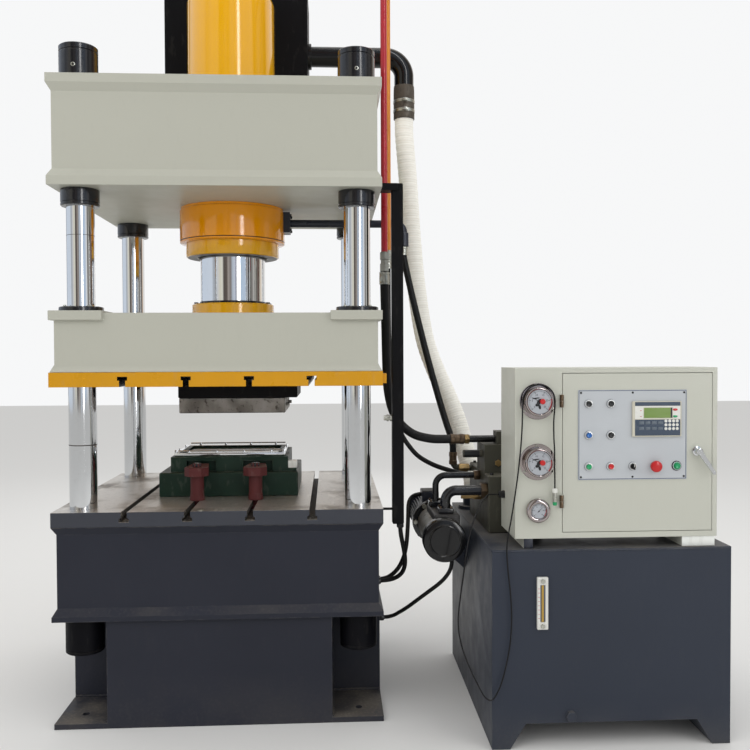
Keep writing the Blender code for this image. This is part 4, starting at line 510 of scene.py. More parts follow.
class Tree:
    """Short ways to build a node tree."""

    def __init__(self, tree: bpy.types.NodeTree) -> None:
        """Hold the tree."""
        self.tree = tree

    def add(self, kind: str, **values: object) -> bpy.types.Node:
        """Add a node, set its properties and the sockets that they name.

        Args:
            kind: The node's type name, without its ShaderNode prefix.
            values: Properties, or input sockets by name with _ for a space.

        Returns:
            The node.
        """
        node = self.tree.nodes.new("ShaderNode" + kind if not kind.startswith("NodeGroup") else kind)
        for key, value in values.items():
            if hasattr(node, key):
                setattr(node, key, value)
            else:
                fill(node, **{key: value})
        return node

    def link(self, source: Socket, target: Socket) -> None:
        """Join two sockets."""
        self.tree.links.new(source, target)

    def maths(self, operation: str, one: object, other: object = 0.0, clamp: bool = False) -> Socket:
        """Add a Math node on two sockets or numbers.

        Args:
            operation: What it does.
            one: Its first input.
            other: Its second input.
            clamp: True to keep the result between 0 and 1.

        Returns:
            Its output.
        """
        node = self.add("Math", operation=operation, use_clamp=clamp)
        for socket, value in zip(node.inputs, (one, other)):
            if isinstance(value, Socket):
                self.link(value, socket)
            else:
                socket.default_value = value
        return node.outputs[0]

    def times(self, one: object, other: object, clamp: bool = False) -> Socket:
        """Multiply two sockets or numbers."""
        return self.maths("MULTIPLY", one, other, clamp)

    def plus(self, one: object, other: object, clamp: bool = False) -> Socket:
        """Add two sockets or numbers."""
        return self.maths("ADD", one, other, clamp)

    def mix(self, share: object, one: object, other: object) -> Socket:
        """Mix two colours.

        Args:
            share: How much of the second.
            one: The first colour or socket.
            other: The second colour or socket.

        Returns:
            The mixed colour.
        """
        node = self.add("Mix", data_type="RGBA")
        for socket, value in zip((node.inputs[0], node.inputs[6], node.inputs[7]), (share, one, other)):
            if isinstance(value, Socket):
                self.link(value, socket)
            else:
                socket.default_value = value
        return node.outputs[2]

    def noise(self, vector: Socket, scale: object, detail: float = 3.0) -> Socket:
        """Add a noise texture and return its value."""
        node = self.add("TexNoise", Detail=detail)
        self.link(vector, node.inputs["Vector"])
        if isinstance(scale, Socket):
            self.link(scale, node.inputs["Scale"])
        else:
            node.inputs["Scale"].default_value = scale
        return node.outputs["Fac"]

    def ramp(self, value: Socket, low: float, high: float) -> Socket:
        """Stretch a value so that low gives 0 and high gives 1, smoothly."""
        node = self.add("MapRange", interpolation_type="SMOOTHSTEP", clamp=True, From_Min=low, From_Max=high)
        self.link(value, node.inputs["Value"])
        return node.outputs["Result"]

    def stretched(self, scale: Point) -> Socket:
        """Object coordinates scaled by a different amount along each axis."""
        mapping = self.add("Mapping", Scale=scale)
        self.link(self.place(), mapping.inputs["Vector"])
        return mapping.outputs["Vector"]

    def place(self) -> Socket:
        """Object coordinates."""
        return self.add("TexCoord").outputs["Object"]

    def facing(self) -> bpy.types.NodeOutputs:
        """The X, Y and Z of the surface's normal."""
        return self.parts(self.add("NewGeometry").outputs["Normal"])

    def parts(self, vector: Socket) -> bpy.types.NodeOutputs:
        """The X, Y and Z of a vector."""
        node = self.add("SeparateXYZ")
        self.link(vector, node.inputs[0])
        return node.outputs


def new_group(name: str, inputs: Sequence[tuple[str, str, object]],
        outputs: Sequence[tuple[str, str]]) -> tuple[Tree, bpy.types.Node, bpy.types.Node]:
    """Start a shader node group with named sockets.

    Args:
        name: The group's name.
        inputs: Name, type and default of each input.
        outputs: Name and type of each output.

    Returns:
        The tree, its input node and its output node.
    """
    tree = bpy.data.node_groups.new(name, "ShaderNodeTree")
    kinds = {"colour": "NodeSocketColor", "value": "NodeSocketFloat", "vector": "NodeSocketVector"}
    for label, kind, default in inputs:
        socket = tree.interface.new_socket(name=label, in_out="INPUT", socket_type=kinds[kind])
        socket.default_value = default
    for label, kind in outputs:
        tree.interface.new_socket(name=label, in_out="OUTPUT", socket_type=kinds[kind])
    inside = Tree(tree)
    return inside, tree.nodes.new("NodeGroupInput"), tree.nodes.new("NodeGroupOutput")


@cache
def mottle_group() -> bpy.types.NodeTree:
    """Uneven colour, roughness and skin of a painted or cast surface."""
    inside, given, made = new_group("mottle", (("Color", "colour", (0.5, 0.5, 0.5, 1)), ("Amount", "value", 0.2),
        ("Scale", "value", 3.0), ("Grain", "value", 260.0), ("Roughness", "value", 0.4)),
        (("Color", "colour"), ("Roughness", "value"), ("Height", "value")))
    place = inside.place()
    broad = inside.ramp(inside.noise(place, given.outputs["Scale"], 5), 0.35, 0.68)
    fine = inside.noise(place, given.outputs["Grain"], 2)
    dark = inside.add("VectorMath", operation="SCALE", Scale=0.66)
    inside.link(given.outputs["Color"], dark.inputs[0])
    share = inside.times(broad, given.outputs["Amount"])
    inside.link(inside.mix(share, given.outputs["Color"], dark.outputs[0]), made.inputs["Color"])
    spread = inside.times(inside.maths("SUBTRACT", inside.noise(place, 14.0, 4), 0.5), 0.3)
    inside.link(inside.plus(given.outputs["Roughness"], spread, True), made.inputs["Roughness"])
    inside.link(fine, made.inputs["Height"])
    return inside.tree


@cache
def edge_group() -> bpy.types.NodeTree:
    """Paint rubbed off convex edges, uneven along them."""
    inside, given, made = new_group("rubbed_edges", (("Color", "colour", (0.5, 0.5, 0.5, 1)),
        ("Bare", "colour", (0.3, 0.3, 0.3, 1)), ("Amount", "value", 0.5), ("Width", "value", 0.006)),
        (("Color", "colour"), ("Mask", "value")))
    bevel = inside.add("Bevel", samples=4)
    inside.link(given.outputs["Width"], bevel.inputs["Radius"])
    surface = inside.add("NewGeometry")
    dot = inside.add("VectorMath", operation="DOT_PRODUCT")
    inside.link(bevel.outputs[0], dot.inputs[0])
    inside.link(surface.outputs["Normal"], dot.inputs[1])
    bend = inside.times(inside.maths("SUBTRACT", 1.0, dot.outputs["Value"]), 9.0, True)
    patches = inside.ramp(inside.noise(inside.place(), 26.0, 6), 0.42, 0.62)
    mask = inside.times(inside.times(bend, patches), given.outputs["Amount"], True)
    inside.link(inside.mix(mask, given.outputs["Color"], given.outputs["Bare"]), made.inputs["Color"])
    inside.link(mask, made.inputs["Mask"])
    return inside.tree


@cache
def dust_group() -> bpy.types.NodeTree:
    """Dust settled on faces that look up, and splashes near the floor."""
    inside, given, made = new_group("settled_dust", (("Color", "colour", (0.5, 0.5, 0.5, 1)),
        ("Dust", "colour", (0.3, 0.28, 0.25, 1)), ("Upper", "value", 0.3), ("Lower", "value", 0.2),
        ("Height", "value", 0.25), ("Roughness", "value", 0.4)), (("Color", "colour"), ("Roughness", "value"),
        ("Mask", "value")))
    up = inside.ramp(inside.facing()["Z"], 0.3, 0.95)
    place = inside.place()
    low = inside.maths("SUBTRACT", 1.0, inside.maths("DIVIDE", inside.parts(place)["Z"], given.outputs["Height"]),
        True)
    cloud = inside.ramp(inside.noise(place, 5.0, 7), 0.3, 0.75)
    speck = inside.ramp(inside.noise(place, 90.0, 3), 0.48, 0.72)
    rough = inside.plus(inside.times(cloud, 0.75), inside.times(speck, 0.35))
    upper = inside.times(inside.times(up, rough), given.outputs["Upper"])
    lower = inside.times(inside.times(low, rough), given.outputs["Lower"])
    mask = inside.plus(upper, lower, True)
    inside.link(inside.mix(mask, given.outputs["Color"], given.outputs["Dust"]), made.inputs["Color"])
    duller = inside.times(mask, 0.45)
    inside.link(inside.plus(given.outputs["Roughness"], duller, True), made.inputs["Roughness"])
    inside.link(mask, made.inputs["Mask"])
    return inside.tree


@cache
def score_group() -> bpy.types.NodeTree:
    """Fine scratches and rubbed streaks, longer along one axis."""
    inside, given, made = new_group("scores", (("Vector", "vector", (0, 0, 0)), ("Amount", "value", 0.5),
        ("Scale", "value", 8.0)), (("Mask", "value"), ("Height", "value")))
    warped = inside.add("VectorMath", operation="ADD")
    sway = inside.add("TexNoise", Scale=3.0)
    inside.link(given.outputs["Vector"], sway.inputs["Vector"])
    shift = inside.add("VectorMath", operation="SCALE", Scale=0.08)
    inside.link(sway.outputs["Color"], shift.inputs[0])
    inside.link(given.outputs["Vector"], warped.inputs[0])
    inside.link(shift.outputs[0], warped.inputs[1])
    lines = inside.noise(warped.outputs[0], given.outputs["Scale"], 6)
    thin = inside.ramp(lines, 0.58, 0.66)
    inside.link(inside.times(thin, given.outputs["Amount"], True), made.inputs["Mask"])
    inside.link(lines, made.inputs["Height"])
    return inside.tree


def use_group(tree: Tree, group: bpy.types.NodeTree, **values: object) -> bpy.types.Node:
    """Place a node group and give its inputs values or links."""
    node = tree.add("Group")
    node.node_tree = group
    for key, value in values.items():
        if isinstance(value, Socket):
            tree.link(value, node.inputs[key])
        else:
            node.inputs[key].default_value = value
    return node


def fill(node: bpy.types.Node, **values: object) -> None:
    """Set a node's input sockets by name, with _ for a space."""
    for key, value in values.items():
        node.inputs[key.replace("_", " ")].default_value = value


def start_material(name: str) -> tuple[bpy.types.Material, Tree, bpy.types.Node]:
    """Make a material and return it with its tree and its shader."""
    made = bpy.data.materials.new(name)
    made.use_nodes = True
    tree = Tree(made.node_tree)
    return made, tree, made.node_tree.nodes["Principled BSDF"]


def add_bump(tree: Tree, shader: bpy.types.Node, height: Socket, strength: float, distance: float) -> None:
    """Feed a height to a shader's normal."""
    bump = tree.add("Bump", Strength=strength, Distance=distance)
    tree.link(height, bump.inputs["Height"])
    tree.link(bump.outputs["Normal"], shader.inputs["Normal"])


@dataclass(frozen=True)
class Paint:
    """A painted metal finish with uneven colour, rubbed edges and dust."""

    name: str
    colour: Colour
    roughness: float = 0.38
    mottling: float = 0.18
    scale: float = 3.0
    grain: float = 420.0
    bump: float = 0.05
    bare: Colour = srgb(120, 118, 112)
    rubbed: float = 0.25
    rub_width: float = 0.004
    dust: Colour = srgb(150, 146, 136)
    upper_dust: float = 0.25
    lower_dust: float = 0.0
    dust_height: float = 0.3
    marks: float = 0.05
    coat: float = 0.0
    specular: float = 0.4
    slot: str = "grey_paint"

    @cache
    def material(self) -> bpy.types.Material:
        """Build the finish once and return it."""
        made, tree, shader = start_material(self.name)
        skin = use_group(tree, mottle_group(), Color=self.colour, Amount=self.mottling, Scale=self.scale,
            Grain=self.grain, Roughness=self.roughness)
        colour = skin.outputs["Color"]
        if self.marks:
            scores = use_group(tree, score_group(), Vector=tree.stretched((1.0, 1.0, 0.3)), Amount=self.marks,
                Scale=46.0)
            colour = tree.mix(scores.outputs["Mask"], colour, self.dust)
        if self.rubbed:
            edges = use_group(tree, edge_group(), Color=colour, Bare=self.bare, Amount=self.rubbed,
                Width=self.rub_width)
            colour = edges.outputs["Color"]
        settled = use_group(tree, dust_group(), Color=colour, Dust=self.dust, Upper=self.upper_dust,
            Lower=self.lower_dust, Height=self.dust_height, Roughness=skin.outputs["Roughness"])
        tree.link(settled.outputs["Color"], shader.inputs["Base Color"])
        tree.link(settled.outputs["Roughness"], shader.inputs["Roughness"])
        fill(shader, Coat_Weight=self.coat, Specular_IOR_Level=self.specular)
        add_bump(tree, shader, skin.outputs["Height"], self.bump, 0.001)
        return made


@dataclass(frozen=True)
class SlotShadedPaint(Paint):
    """Paint on a plate whose T-slots are unpainted oily iron inside, darkened further as painted shade."""

    pitch: float = 0.2265
    half_slot: float = 0.0185
    face: float = 1.2463
    ceiling: float = 1.284
    half_depth: float = 0.511
    # Near-black inside the slots: dark oily iron, made darker as painted shade.
    inside: Colour = srgb(20, 17, 15)

    @cache
    def material(self) -> bpy.types.Material:
        """Build the finish once, with what lies inside the slots darkened as painted shade."""
        made = super().material()
        tree = Tree(made.node_tree)
        shader = made.node_tree.nodes["Principled BSDF"]
        spot = tree.parts(tree.place())
        # Mask of the faces inside the slots, where the painted shade goes.
        turns = tree.maths("FRACT", tree.maths("DIVIDE", spot["X"], self.pitch))
        across = tree.maths("ABSOLUTE", tree.maths("SUBTRACT", turns, 0.5))
        mask = tree.maths("LESS_THAN", across, self.half_slot / self.pitch)
        for share in (tree.maths("GREATER_THAN", spot["Z"], self.face),
                tree.maths("LESS_THAN", spot["Z"], self.ceiling), tree.maths("LESS_THAN",
                tree.maths("ABSOLUTE", spot["Y"]), self.half_depth)):
            mask = tree.times(mask, share)
        painted = shader.inputs["Base Color"].links[0].from_socket
        tree.link(tree.mix(mask, painted, self.inside), shader.inputs["Base Color"])
        return made


@dataclass(frozen=True)
class Metal:
    """A bare metal finish with machining lines, smudges and stains."""

    name: str
    colour: Colour
    roughness: float = 0.25
    lines: Point = (1.0, 1.0, 30.0)
    line_scale: float = 30.0
    line_depth: float = 0.04
    stain: Colour = srgb(70, 62, 54)
    stained: float = 0.2
    smudge: float = 0.3
    metallic: float = 1.0
    streaks: float = 0.16
    slot: str = "bright_steel"

    @cache
    def material(self) -> bpy.types.Material:
        """Build the finish once and return it."""
        made, tree, shader = start_material(self.name)
        place = tree.place()
        lines = tree.noise(tree.stretched(self.lines), self.line_scale, 4)
        cloud = tree.ramp(tree.noise(place, 4.5, 6), 0.42, 0.72)
        speck = tree.ramp(tree.noise(place, 60.0, 4), 0.56, 0.74)
        stains = tree.times(tree.plus(tree.times(cloud, 0.7), speck, True), self.stained)
        varied = tree.times(tree.ramp(lines, 0.3, 0.7), self.streaks)
        colour = tree.mix(varied, self.colour, (0.15, 0.15, 0.15, 1))
        tree.link(tree.mix(stains, colour, self.stain), shader.inputs["Base Color"])
        patch = tree.times(tree.ramp(tree.noise(place, 9.0, 5), 0.3, 0.8), self.smudge)
        rough = tree.plus(tree.times(patch, 0.5), self.roughness)
        rough = tree.plus(rough, tree.times(stains, 0.5), True)
        tree.link(rough, shader.inputs["Roughness"])
        fill(shader, Metallic=self.metallic)
        add_bump(tree, shader, lines, self.line_depth, 0.001)
        return made


@dataclass(frozen=True)
class Moulded:
    """Moulded plastic or rubber, with a fine skin and a little dust."""

    name: str
    colour: Colour
    roughness: float = 0.4
    grain: float = 900.0
    bump: float = 0.06
    mottling: float = 0.12
    dust: float = 0.1
    coat: float = 0.0
    specular: float = 0.4
    slot: str = "button_black"

    @cache
    def material(self) -> bpy.types.Material:
        """Build the finish once and return it."""
        made, tree, shader = start_material(self.name)
        skin = use_group(tree, mottle_group(), Color=self.colour, Amount=self.mottling, Scale=12.0,
            Grain=self.grain, Roughness=self.roughness)
        settled = use_group(tree, dust_group(), Color=skin.outputs["Color"], Upper=self.dust, Lower=0.0, Height=0.2,
            Roughness=skin.outputs["Roughness"])
        tree.link(settled.outputs["Color"], shader.inputs["Base Color"])
        tree.link(settled.outputs["Roughness"], shader.inputs["Roughness"])
        fill(shader, Coat_Weight=self.coat, Specular_IOR_Level=self.specular)
        add_bump(tree, shader, skin.outputs["Height"], self.bump, 0.0005)
        return made


@dataclass(frozen=True)
class TwoTone:
    """A plate whose top is bare machined metal, whose sides are painted, and whose T-slot insides are darkened as
    painted shade.
    """

    name: str
    metal: Colour
    paint: Colour
    top: float = 0.794
    side_x: float = 0.5985
    side_y: float = 0.511
    slot: str = "bright_steel"

    @cache
    def material(self) -> bpy.types.Material:
        """Build the finish once and return it."""
        made, tree, shader = start_material(self.name)
        place = tree.place()
        spot = tree.parts(place)
        side = tree.maths("MAXIMUM", tree.maths("GREATER_THAN", tree.maths("ABSOLUTE", spot["X"]), self.side_x),
            tree.maths("GREATER_THAN", tree.maths("ABSOLUTE", spot["Y"]), self.side_y))
        up = tree.ramp(tree.facing()["Z"], 0.5, 0.8)
        painted = tree.times(side, tree.maths("SUBTRACT", 1.0, up))
        lines = tree.noise(tree.stretched((2.0, 40.0, 1.0)), 9.0, 5)
        scores = use_group(tree, score_group(), Vector=tree.stretched((1.0, 0.3, 1.0)), Amount=0.35, Scale=24.0)
        grease = tree.ramp(tree.noise(place, 5.0, 7), 0.48, 0.72)
        specks = tree.ramp(tree.noise(place, 120.0, 3), 0.57, 0.72)
        bright = tree.mix(tree.times(lines, 0.35), self.metal, srgb(120, 114, 106))
        bright = tree.mix(tree.times(grease, 0.65), bright, srgb(92, 85, 77))
        bright = tree.mix(tree.times(specks, 0.4), bright, srgb(58, 53, 48))
        bright = tree.mix(scores.outputs["Mask"], bright, srgb(225, 222, 216))
        # Faces inside the T-slots: near-black and not metallic as painted shade, with light chips of debris towards
        # the front.
        inside = tree.times(tree.maths("LESS_THAN", spot["Z"], self.top - 0.0016),
            tree.maths("SUBTRACT", 1.0, side))
        chips = tree.ramp(tree.noise(place, 150.0, 2), 0.56, 0.64)
        front = tree.ramp(spot["Y"], -0.36, -0.5)
        slot = tree.mix(tree.times(chips, front), srgb(34, 30, 27), srgb(172, 166, 156))
        bright = tree.mix(tree.times(inside, 0.9), bright, slot)
        tree.link(tree.mix(painted, bright, self.paint), shader.inputs["Base Color"])
        bare = tree.maths("SUBTRACT", 1.0, tree.maths("MAXIMUM", painted, inside))
        tree.link(tree.times(bare, 0.75), shader.inputs["Metallic"])
        rough = tree.plus(0.38, tree.times(grease, 0.25), True)
        tree.link(tree.maths("MAXIMUM", rough, tree.times(inside, 0.7)), shader.inputs["Roughness"])
        add_bump(tree, shader, lines, 0.06, 0.001)
        return made


@dataclass(frozen=True)
class Wrap:
    """White cloth tape wound round a hose, with a darker line where each turn laps the next."""

    name: str
    colour: Colour
    lap: Colour
    turns: float = 60.0
    slot: str = "hose_cloth"

    @cache
    def material(self) -> bpy.types.Material:
        """Build the finish once and return it."""
        made, tree, shader = start_material(self.name)
        place = tree.place()
        spread = tree.parts(tree.add("UVMap").outputs["UV"])
        along = tree.times(spread["X"], self.turns)
        turn = tree.maths("FRACT", tree.plus(along, tree.times(spread["Y"], 1.0)))
        lap = tree.maths("SUBTRACT", 1.0, tree.ramp(turn, 0.0, 0.22))
        threads = tree.noise(tree.stretched((60.0, 60.0, 700.0)), 1.0, 2)
        grime = tree.ramp(tree.noise(place, 11.0, 6), 0.5, 0.8)
        colour = tree.mix(tree.times(lap, 0.35), self.colour, self.lap)
        colour = tree.mix(tree.times(grime, 0.12), colour, srgb(206, 196, 172))
        tree.link(colour, shader.inputs["Base Color"])
        fill(shader, Roughness=0.9, Specular_IOR_Level=0.2)
        height = tree.plus(tree.times(tree.ramp(turn, 0.0, 0.5), 0.9), tree.times(threads, 0.2))
        add_bump(tree, shader, height, 0.6, 0.0015)
        return made


GREY = Paint("grey_enamel", srgb(181, 181, 169), 0.42, 0.04, 2.0, rubbed=0.16, bare=srgb(112, 110, 100),
    upper_dust=0.4, marks=0.03)
CABINET_GREY = Paint("cabinet_enamel", srgb(191, 192, 181), 0.38, 0.03, 2.5, grain=700.0, bump=0.03, rubbed=0.08,
    upper_dust=0.2, marks=0.02)
YELLOW = Paint("yellow_enamel", srgb(232, 170, 6), 0.12, 0.06, 4.0, bump=0.02, rubbed=0.3, bare=srgb(96, 74, 40),
    upper_dust=0.3, marks=0.02, coat=0.5, slot="yellow_paint")
# The slide plate's yellow, with painted shade inside its T-slots.
PLATE_YELLOW = SlotShadedPaint("plate_enamel", srgb(208, 148, 8), 0.3, 0.14, 6.0, rubbed=0.5, bare=srgb(74, 56, 34),
    upper_dust=0.35, marks=0.07, slot="yellow_paint")
ORANGE_YELLOW = Paint("ring_enamel", srgb(246, 158, 4), 0.1, 0.16, 5.0, bump=0.02, rubbed=0.25,
    bare=srgb(84, 62, 36), upper_dust=0.3, marks=0.03, coat=0.5, slot="yellow_paint")
BED_PAINT = Paint("bed_enamel", srgb(44, 46, 55), 0.46, 0.24, 2.4, rubbed=0.5, bare=srgb(108, 105, 100),
    dust=srgb(120, 113, 103), upper_dust=0.8, lower_dust=0.14, dust_height=0.2, marks=0.008, rub_width=0.005,
    specular=0.15, slot="bed_paint")
TANK_PAINT = Paint("tank_enamel", srgb(50, 55, 66), 0.42, 0.16, 2.2, rubbed=0.3, bare=srgb(110, 108, 104),
    dust=srgb(122, 117, 108), upper_dust=0.8, lower_dust=0.2, dust_height=0.16, marks=0.01, specular=0.2,
    slot="tank_paint")
BLACK_PAINT = Paint("black_enamel", srgb(17, 17, 19), 0.44, 0.15, 4.0, rubbed=0.25, bare=srgb(72, 70, 68),
    upper_dust=0.3, marks=0.02, specular=0.08, slot="black_paint")
GLOSS_BLACK = Paint("gloss_black", srgb(12, 12, 14), 0.16, 0.1, 5.0, bump=0.02, rubbed=0.3, bare=srgb(96, 94, 90),
    upper_dust=0.2, marks=0.0, coat=0.15, specular=0.3, slot="black_paint")
NUT_BLACK = Paint("oiled_black", srgb(20, 21, 26), 0.22, 0.2, 9.0, rubbed=0.4, bare=srgb(86, 84, 82),
    rub_width=0.003, upper_dust=0.15, marks=0.05, coat=0.3, slot="black_nut")
DULL_NUT = Paint("dull_black", srgb(13, 13, 17), 0.52, 0.2, 9.0, rubbed=0.25, bare=srgb(70, 70, 72),
    rub_width=0.003, upper_dust=0.1, marks=0.02, specular=0.08, slot="black_nut")
BLUE_BLACK = Paint("blued_steel", srgb(36, 40, 52), 0.34, 0.25, 7.0, rubbed=0.35, upper_dust=0.3, marks=0.06,
    slot="black_paint")
# Dark brown: oil marks on the column, and painted shade in the load ring's groove and under the gland.
DARK_OIL_AND_SHADE = Paint("oily_brown_and_shade", srgb(44, 32, 22), 0.35, 0.35, 11.0, rubbed=0.2, upper_dust=0.0, marks=0.05,
    slot="black_nut")
RED_PAINT = Paint("red_enamel", srgb(172, 28, 42), 0.3, 0.12, 6.0, rubbed=0.25, bare=srgb(90, 40, 40),
    upper_dust=0.15, marks=0.04, coat=0.2, slot="red_paint")
ORANGE_PAINT = Paint("orange_enamel", srgb(214, 132, 40), 0.34, 0.12, 6.0, rubbed=0.2, upper_dust=0.15, marks=0.04,
    slot="orange_paint")
DIE_GREEN = Paint("die_enamel", srgb(22, 46, 35), 0.42, 0.6, 14.0, rubbed=0.75, bare=srgb(104, 112, 104),
    rub_width=0.005, dust=srgb(104, 106, 98), upper_dust=0.45, marks=0.16, specular=0.25, slot="die_green")
CLAMP_RED = Paint("clamp_enamel", srgb(86, 42, 42), 0.58, 0.35, 12.0, rubbed=0.55, bare=srgb(70, 52, 46),
    upper_dust=0.35, marks=0.08, specular=0.2, slot="clamp_red")
WHITE_RIM = Paint("pale_rim", srgb(236, 238, 234), 0.35, 0.15, 14.0, rubbed=0.3, bare=srgb(120, 120, 116),
    upper_dust=0.25, marks=0.1, slot="bright_steel")
RUBBER = Moulded("black_rubber", srgb(20, 20, 21), 0.55, dust=0.08, specular=0.25, slot="hose_rubber")
RED_PLASTIC = Moulded("red_plastic", srgb(190, 24, 26), 0.3, dust=0.05, coat=0.3, slot="button_red")
GREEN_PLASTIC = Moulded("green_plastic", srgb(16, 150, 92), 0.3, dust=0.05, coat=0.3, slot="button_green")
BLUE_PLASTIC = Moulded("blue_plastic", srgb(34, 98, 172), 0.3, dust=0.05, coat=0.3, slot="button_blue")
BLACK_PLASTIC = Moulded("black_plastic", srgb(24, 25, 27), 0.35, dust=0.08)
WHITE_PLASTIC = Moulded("white_plastic", srgb(222, 222, 216), 0.35, dust=0.05, slot="level_white")
BEIGE_PLASTIC = Moulded("beige_plastic", srgb(200, 196, 180), 0.42, dust=0.05, slot="display_case")
GREY_KEY = Moulded("grey_key", srgb(96, 106, 116), 0.42, dust=0.0, slot="display_case")
# A white dial painted grey: painted shade.
SHADED_DIAL = Moulded("shaded_dial", srgb(176, 180, 186), 0.5, bump=0.0, dust=0.0, mottling=0.3, specular=0.1,
    slot="level_white")
SCREEN_GREEN = Moulded("screen_green", srgb(112, 140, 66), 0.18, bump=0.0, dust=0.0, coat=0.4, slot="display_case")
PANEL_LIGHT = Moulded("panel_foil", srgb(190, 194, 198), 0.5, bump=0.02, dust=0.0, mottling=0.08, specular=0.1,
    slot="panel_light")
# Dark blue-grey: the line round the panel, which is painted shade, and the strip behind the level tube.
PANEL_LINE = Moulded("panel_line", srgb(78, 90, 112), 0.4, dust=0.0, slot="panel_light")
DARK_FACE = Moulded("dark_face", srgb(52, 66, 84), 0.3, dust=0.0, slot="display_case")
OIL_AMBER = Moulded("oil_amber", srgb(176, 142, 54), 0.12, bump=0.0, dust=0.0, coat=0.6, slot="level_white")
CHROME = Metal("hard_chrome", srgb(214, 216, 218), 0.06, (1.0, 1.0, 60.0), 20.0, 0.003, stained=0.05, smudge=0.05,
    streaks=0.02, slot="chrome")
STEEL = Metal("turned_steel", srgb(186, 184, 178), 0.3, (1.0, 1.0, 20.0), 40.0, 0.04, stained=0.35)
ZINC = Metal("zinc_plate", srgb(190, 190, 180), 0.3, (1.0, 1.0, 1.0), 60.0, 0.03, stained=0.3)
BRASS = Metal("brass", srgb(170, 142, 94), 0.3, (1.0, 1.0, 12.0), 40.0, 0.03, stained=0.35)
DIE_STEEL = Metal("die_steel", srgb(158, 155, 150), 0.42, (4.0, 30.0, 1.0), 14.0, 0.08, stained=0.65, smudge=0.5)
CAST_GREY = Metal("oily_casting", srgb(88, 80, 70), 0.48, (1.0, 1.0, 1.0), 90.0, 0.15, stained=0.55, metallic=0.45,
    slot="valve_grey")
PUMP_SILVER = Metal("pump_silver", srgb(150, 150, 146), 0.42, (1.0, 1.0, 1.0), 120.0, 0.12, stained=0.5,
    metallic=0.8, slot="black_paint")
VALVE_PAINT = Paint("weathered_green", srgb(66, 65, 56), 0.55, 0.45, 9.0, rubbed=0.5, bare=srgb(122, 118, 106),
    dust=srgb(128, 124, 112), upper_dust=0.5, marks=0.12, specular=0.25, slot="valve_grey")
GAUGE_STEEL = Metal("gauge_steel", srgb(172, 162, 160), 0.07, (1.0, 1.0, 1.0), 30.0, 0.004, stained=0.1, smudge=0.1,
    streaks=0.15, slot="chrome")
SATIN = Metal("satin_ring", srgb(216, 216, 214), 0.34, (1.0, 1.0, 1.0), 30.0, 0.01, stained=0.05, smudge=0.1,
    slot="chrome")
BROWN_STEEL = Metal("brown_steel", srgb(112, 94, 76), 0.34, (1.0, 1.0, 1.0), 50.0, 0.05, stained=0.5)
PUMP_BLACK = Metal("pump_black", srgb(38, 38, 40), 0.34, (1.0, 1.0, 1.0), 120.0, 0.12, stained=0.4, metallic=0.4,
    slot="black_paint")
TABLE_TOP = TwoTone("table_surface", srgb(200, 195, 188), srgb(47, 50, 59))
HOSE_WRAP = Wrap("hose_wrap", srgb(252, 250, 242), srgb(206, 196, 168), 157.0)


Finish = Paint | Metal | Moulded | TwoTone | Wrap


def dress(piece: Piece, finish: Finish, body: Body | str = Body.PRESS, nodes: Iterable[str] = ()) -> Piece:
    """Give a piece its finish, its body and the CAD nodes it stands for.

    Args:
        piece: The finished piece.
        finish: Its finish.
        body: The body that it rides on.
        nodes: CAD nodes that it replaces.

    Returns:
        The same piece.
    """
    piece.data.materials.clear()
    piece.data.materials.append(finish.material())
    if tuple(nodes):
        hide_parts(*nodes)
    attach(piece, body.value if isinstance(body, Body) else body)
    LOG.info("%s: %d faces, %s", piece.name, len(piece.data.polygons), finish.name)
    return piece


def heights(corners: Sequence[Sequence[float]]) -> tuple[float, float]:
    """Lowest and highest Z between the two corners of a box."""
    low, high = corners
    return low[2], high[2]


# Sub-assemblies


@dataclass
class Bed:
    """The welded bed and the slotted table."""

    half_width: float = 0.6
    half_depth: float = 0.5125
    inset: float = 0.016
    table: float = 0.794
    washer: tuple[float, float] = (-0.065, -0.5)

    def build(self) -> None:
        """Build and dress the bed's pieces."""
        dress(refined("bed_dressed", "bed_frame", 0.0035), BED_PAINT)
        dress(refined("table_dressed", "table_plate", 0.0015), TABLE_TOP)
        self.weld_seams()
        at = (*self.washer, self.table)
        dress(turned("table_washer", section((5.5, 0), (5.5, 2.2), (6.5, 2.8), (10.5, 2.8), (11.5, 2), (11.5, 0)),
            at, segments=32, ring=True), ZINC)

    def weld_seams(self) -> None:
        """Weld beads where the boxes meet the ledge and the foot plates."""
        wall_y = self.half_depth - self.inset
        notch_x = self.half_width - 0.19
        notch_y = wall_y - 0.252
        seams = []
        for side_x in (-1, 1):
            for side_y in (-1, 1):
                corner = (side_x * notch_x, side_y * notch_y)
                seams.append(line_course((corner[0] + side_x * 0.003, side_y * (wall_y - 0.004), 0.0225),
                    (corner[0] + side_x * 0.003, corner[1], 0.0225), 0.006))
                seams.append(line_course((corner[0], corner[1] + side_y * 0.003, 0.0225),
                    (side_x * (self.half_width - 0.004), corner[1] + side_y * 0.003, 0.0225), 0.006))
                seams.append(line_course((corner[0] + side_x * 0.003, corner[1] + side_y * 0.003, 0.024),
                    (corner[0] + side_x * 0.003, corner[1] + side_y * 0.003, 0.394), 0.006))
        beads = [welded(f"bed_weld_{index}", course, 0.0042) for index, course in enumerate(seams)]
        dress(joined("bed_welds", beads), BED_PAINT)


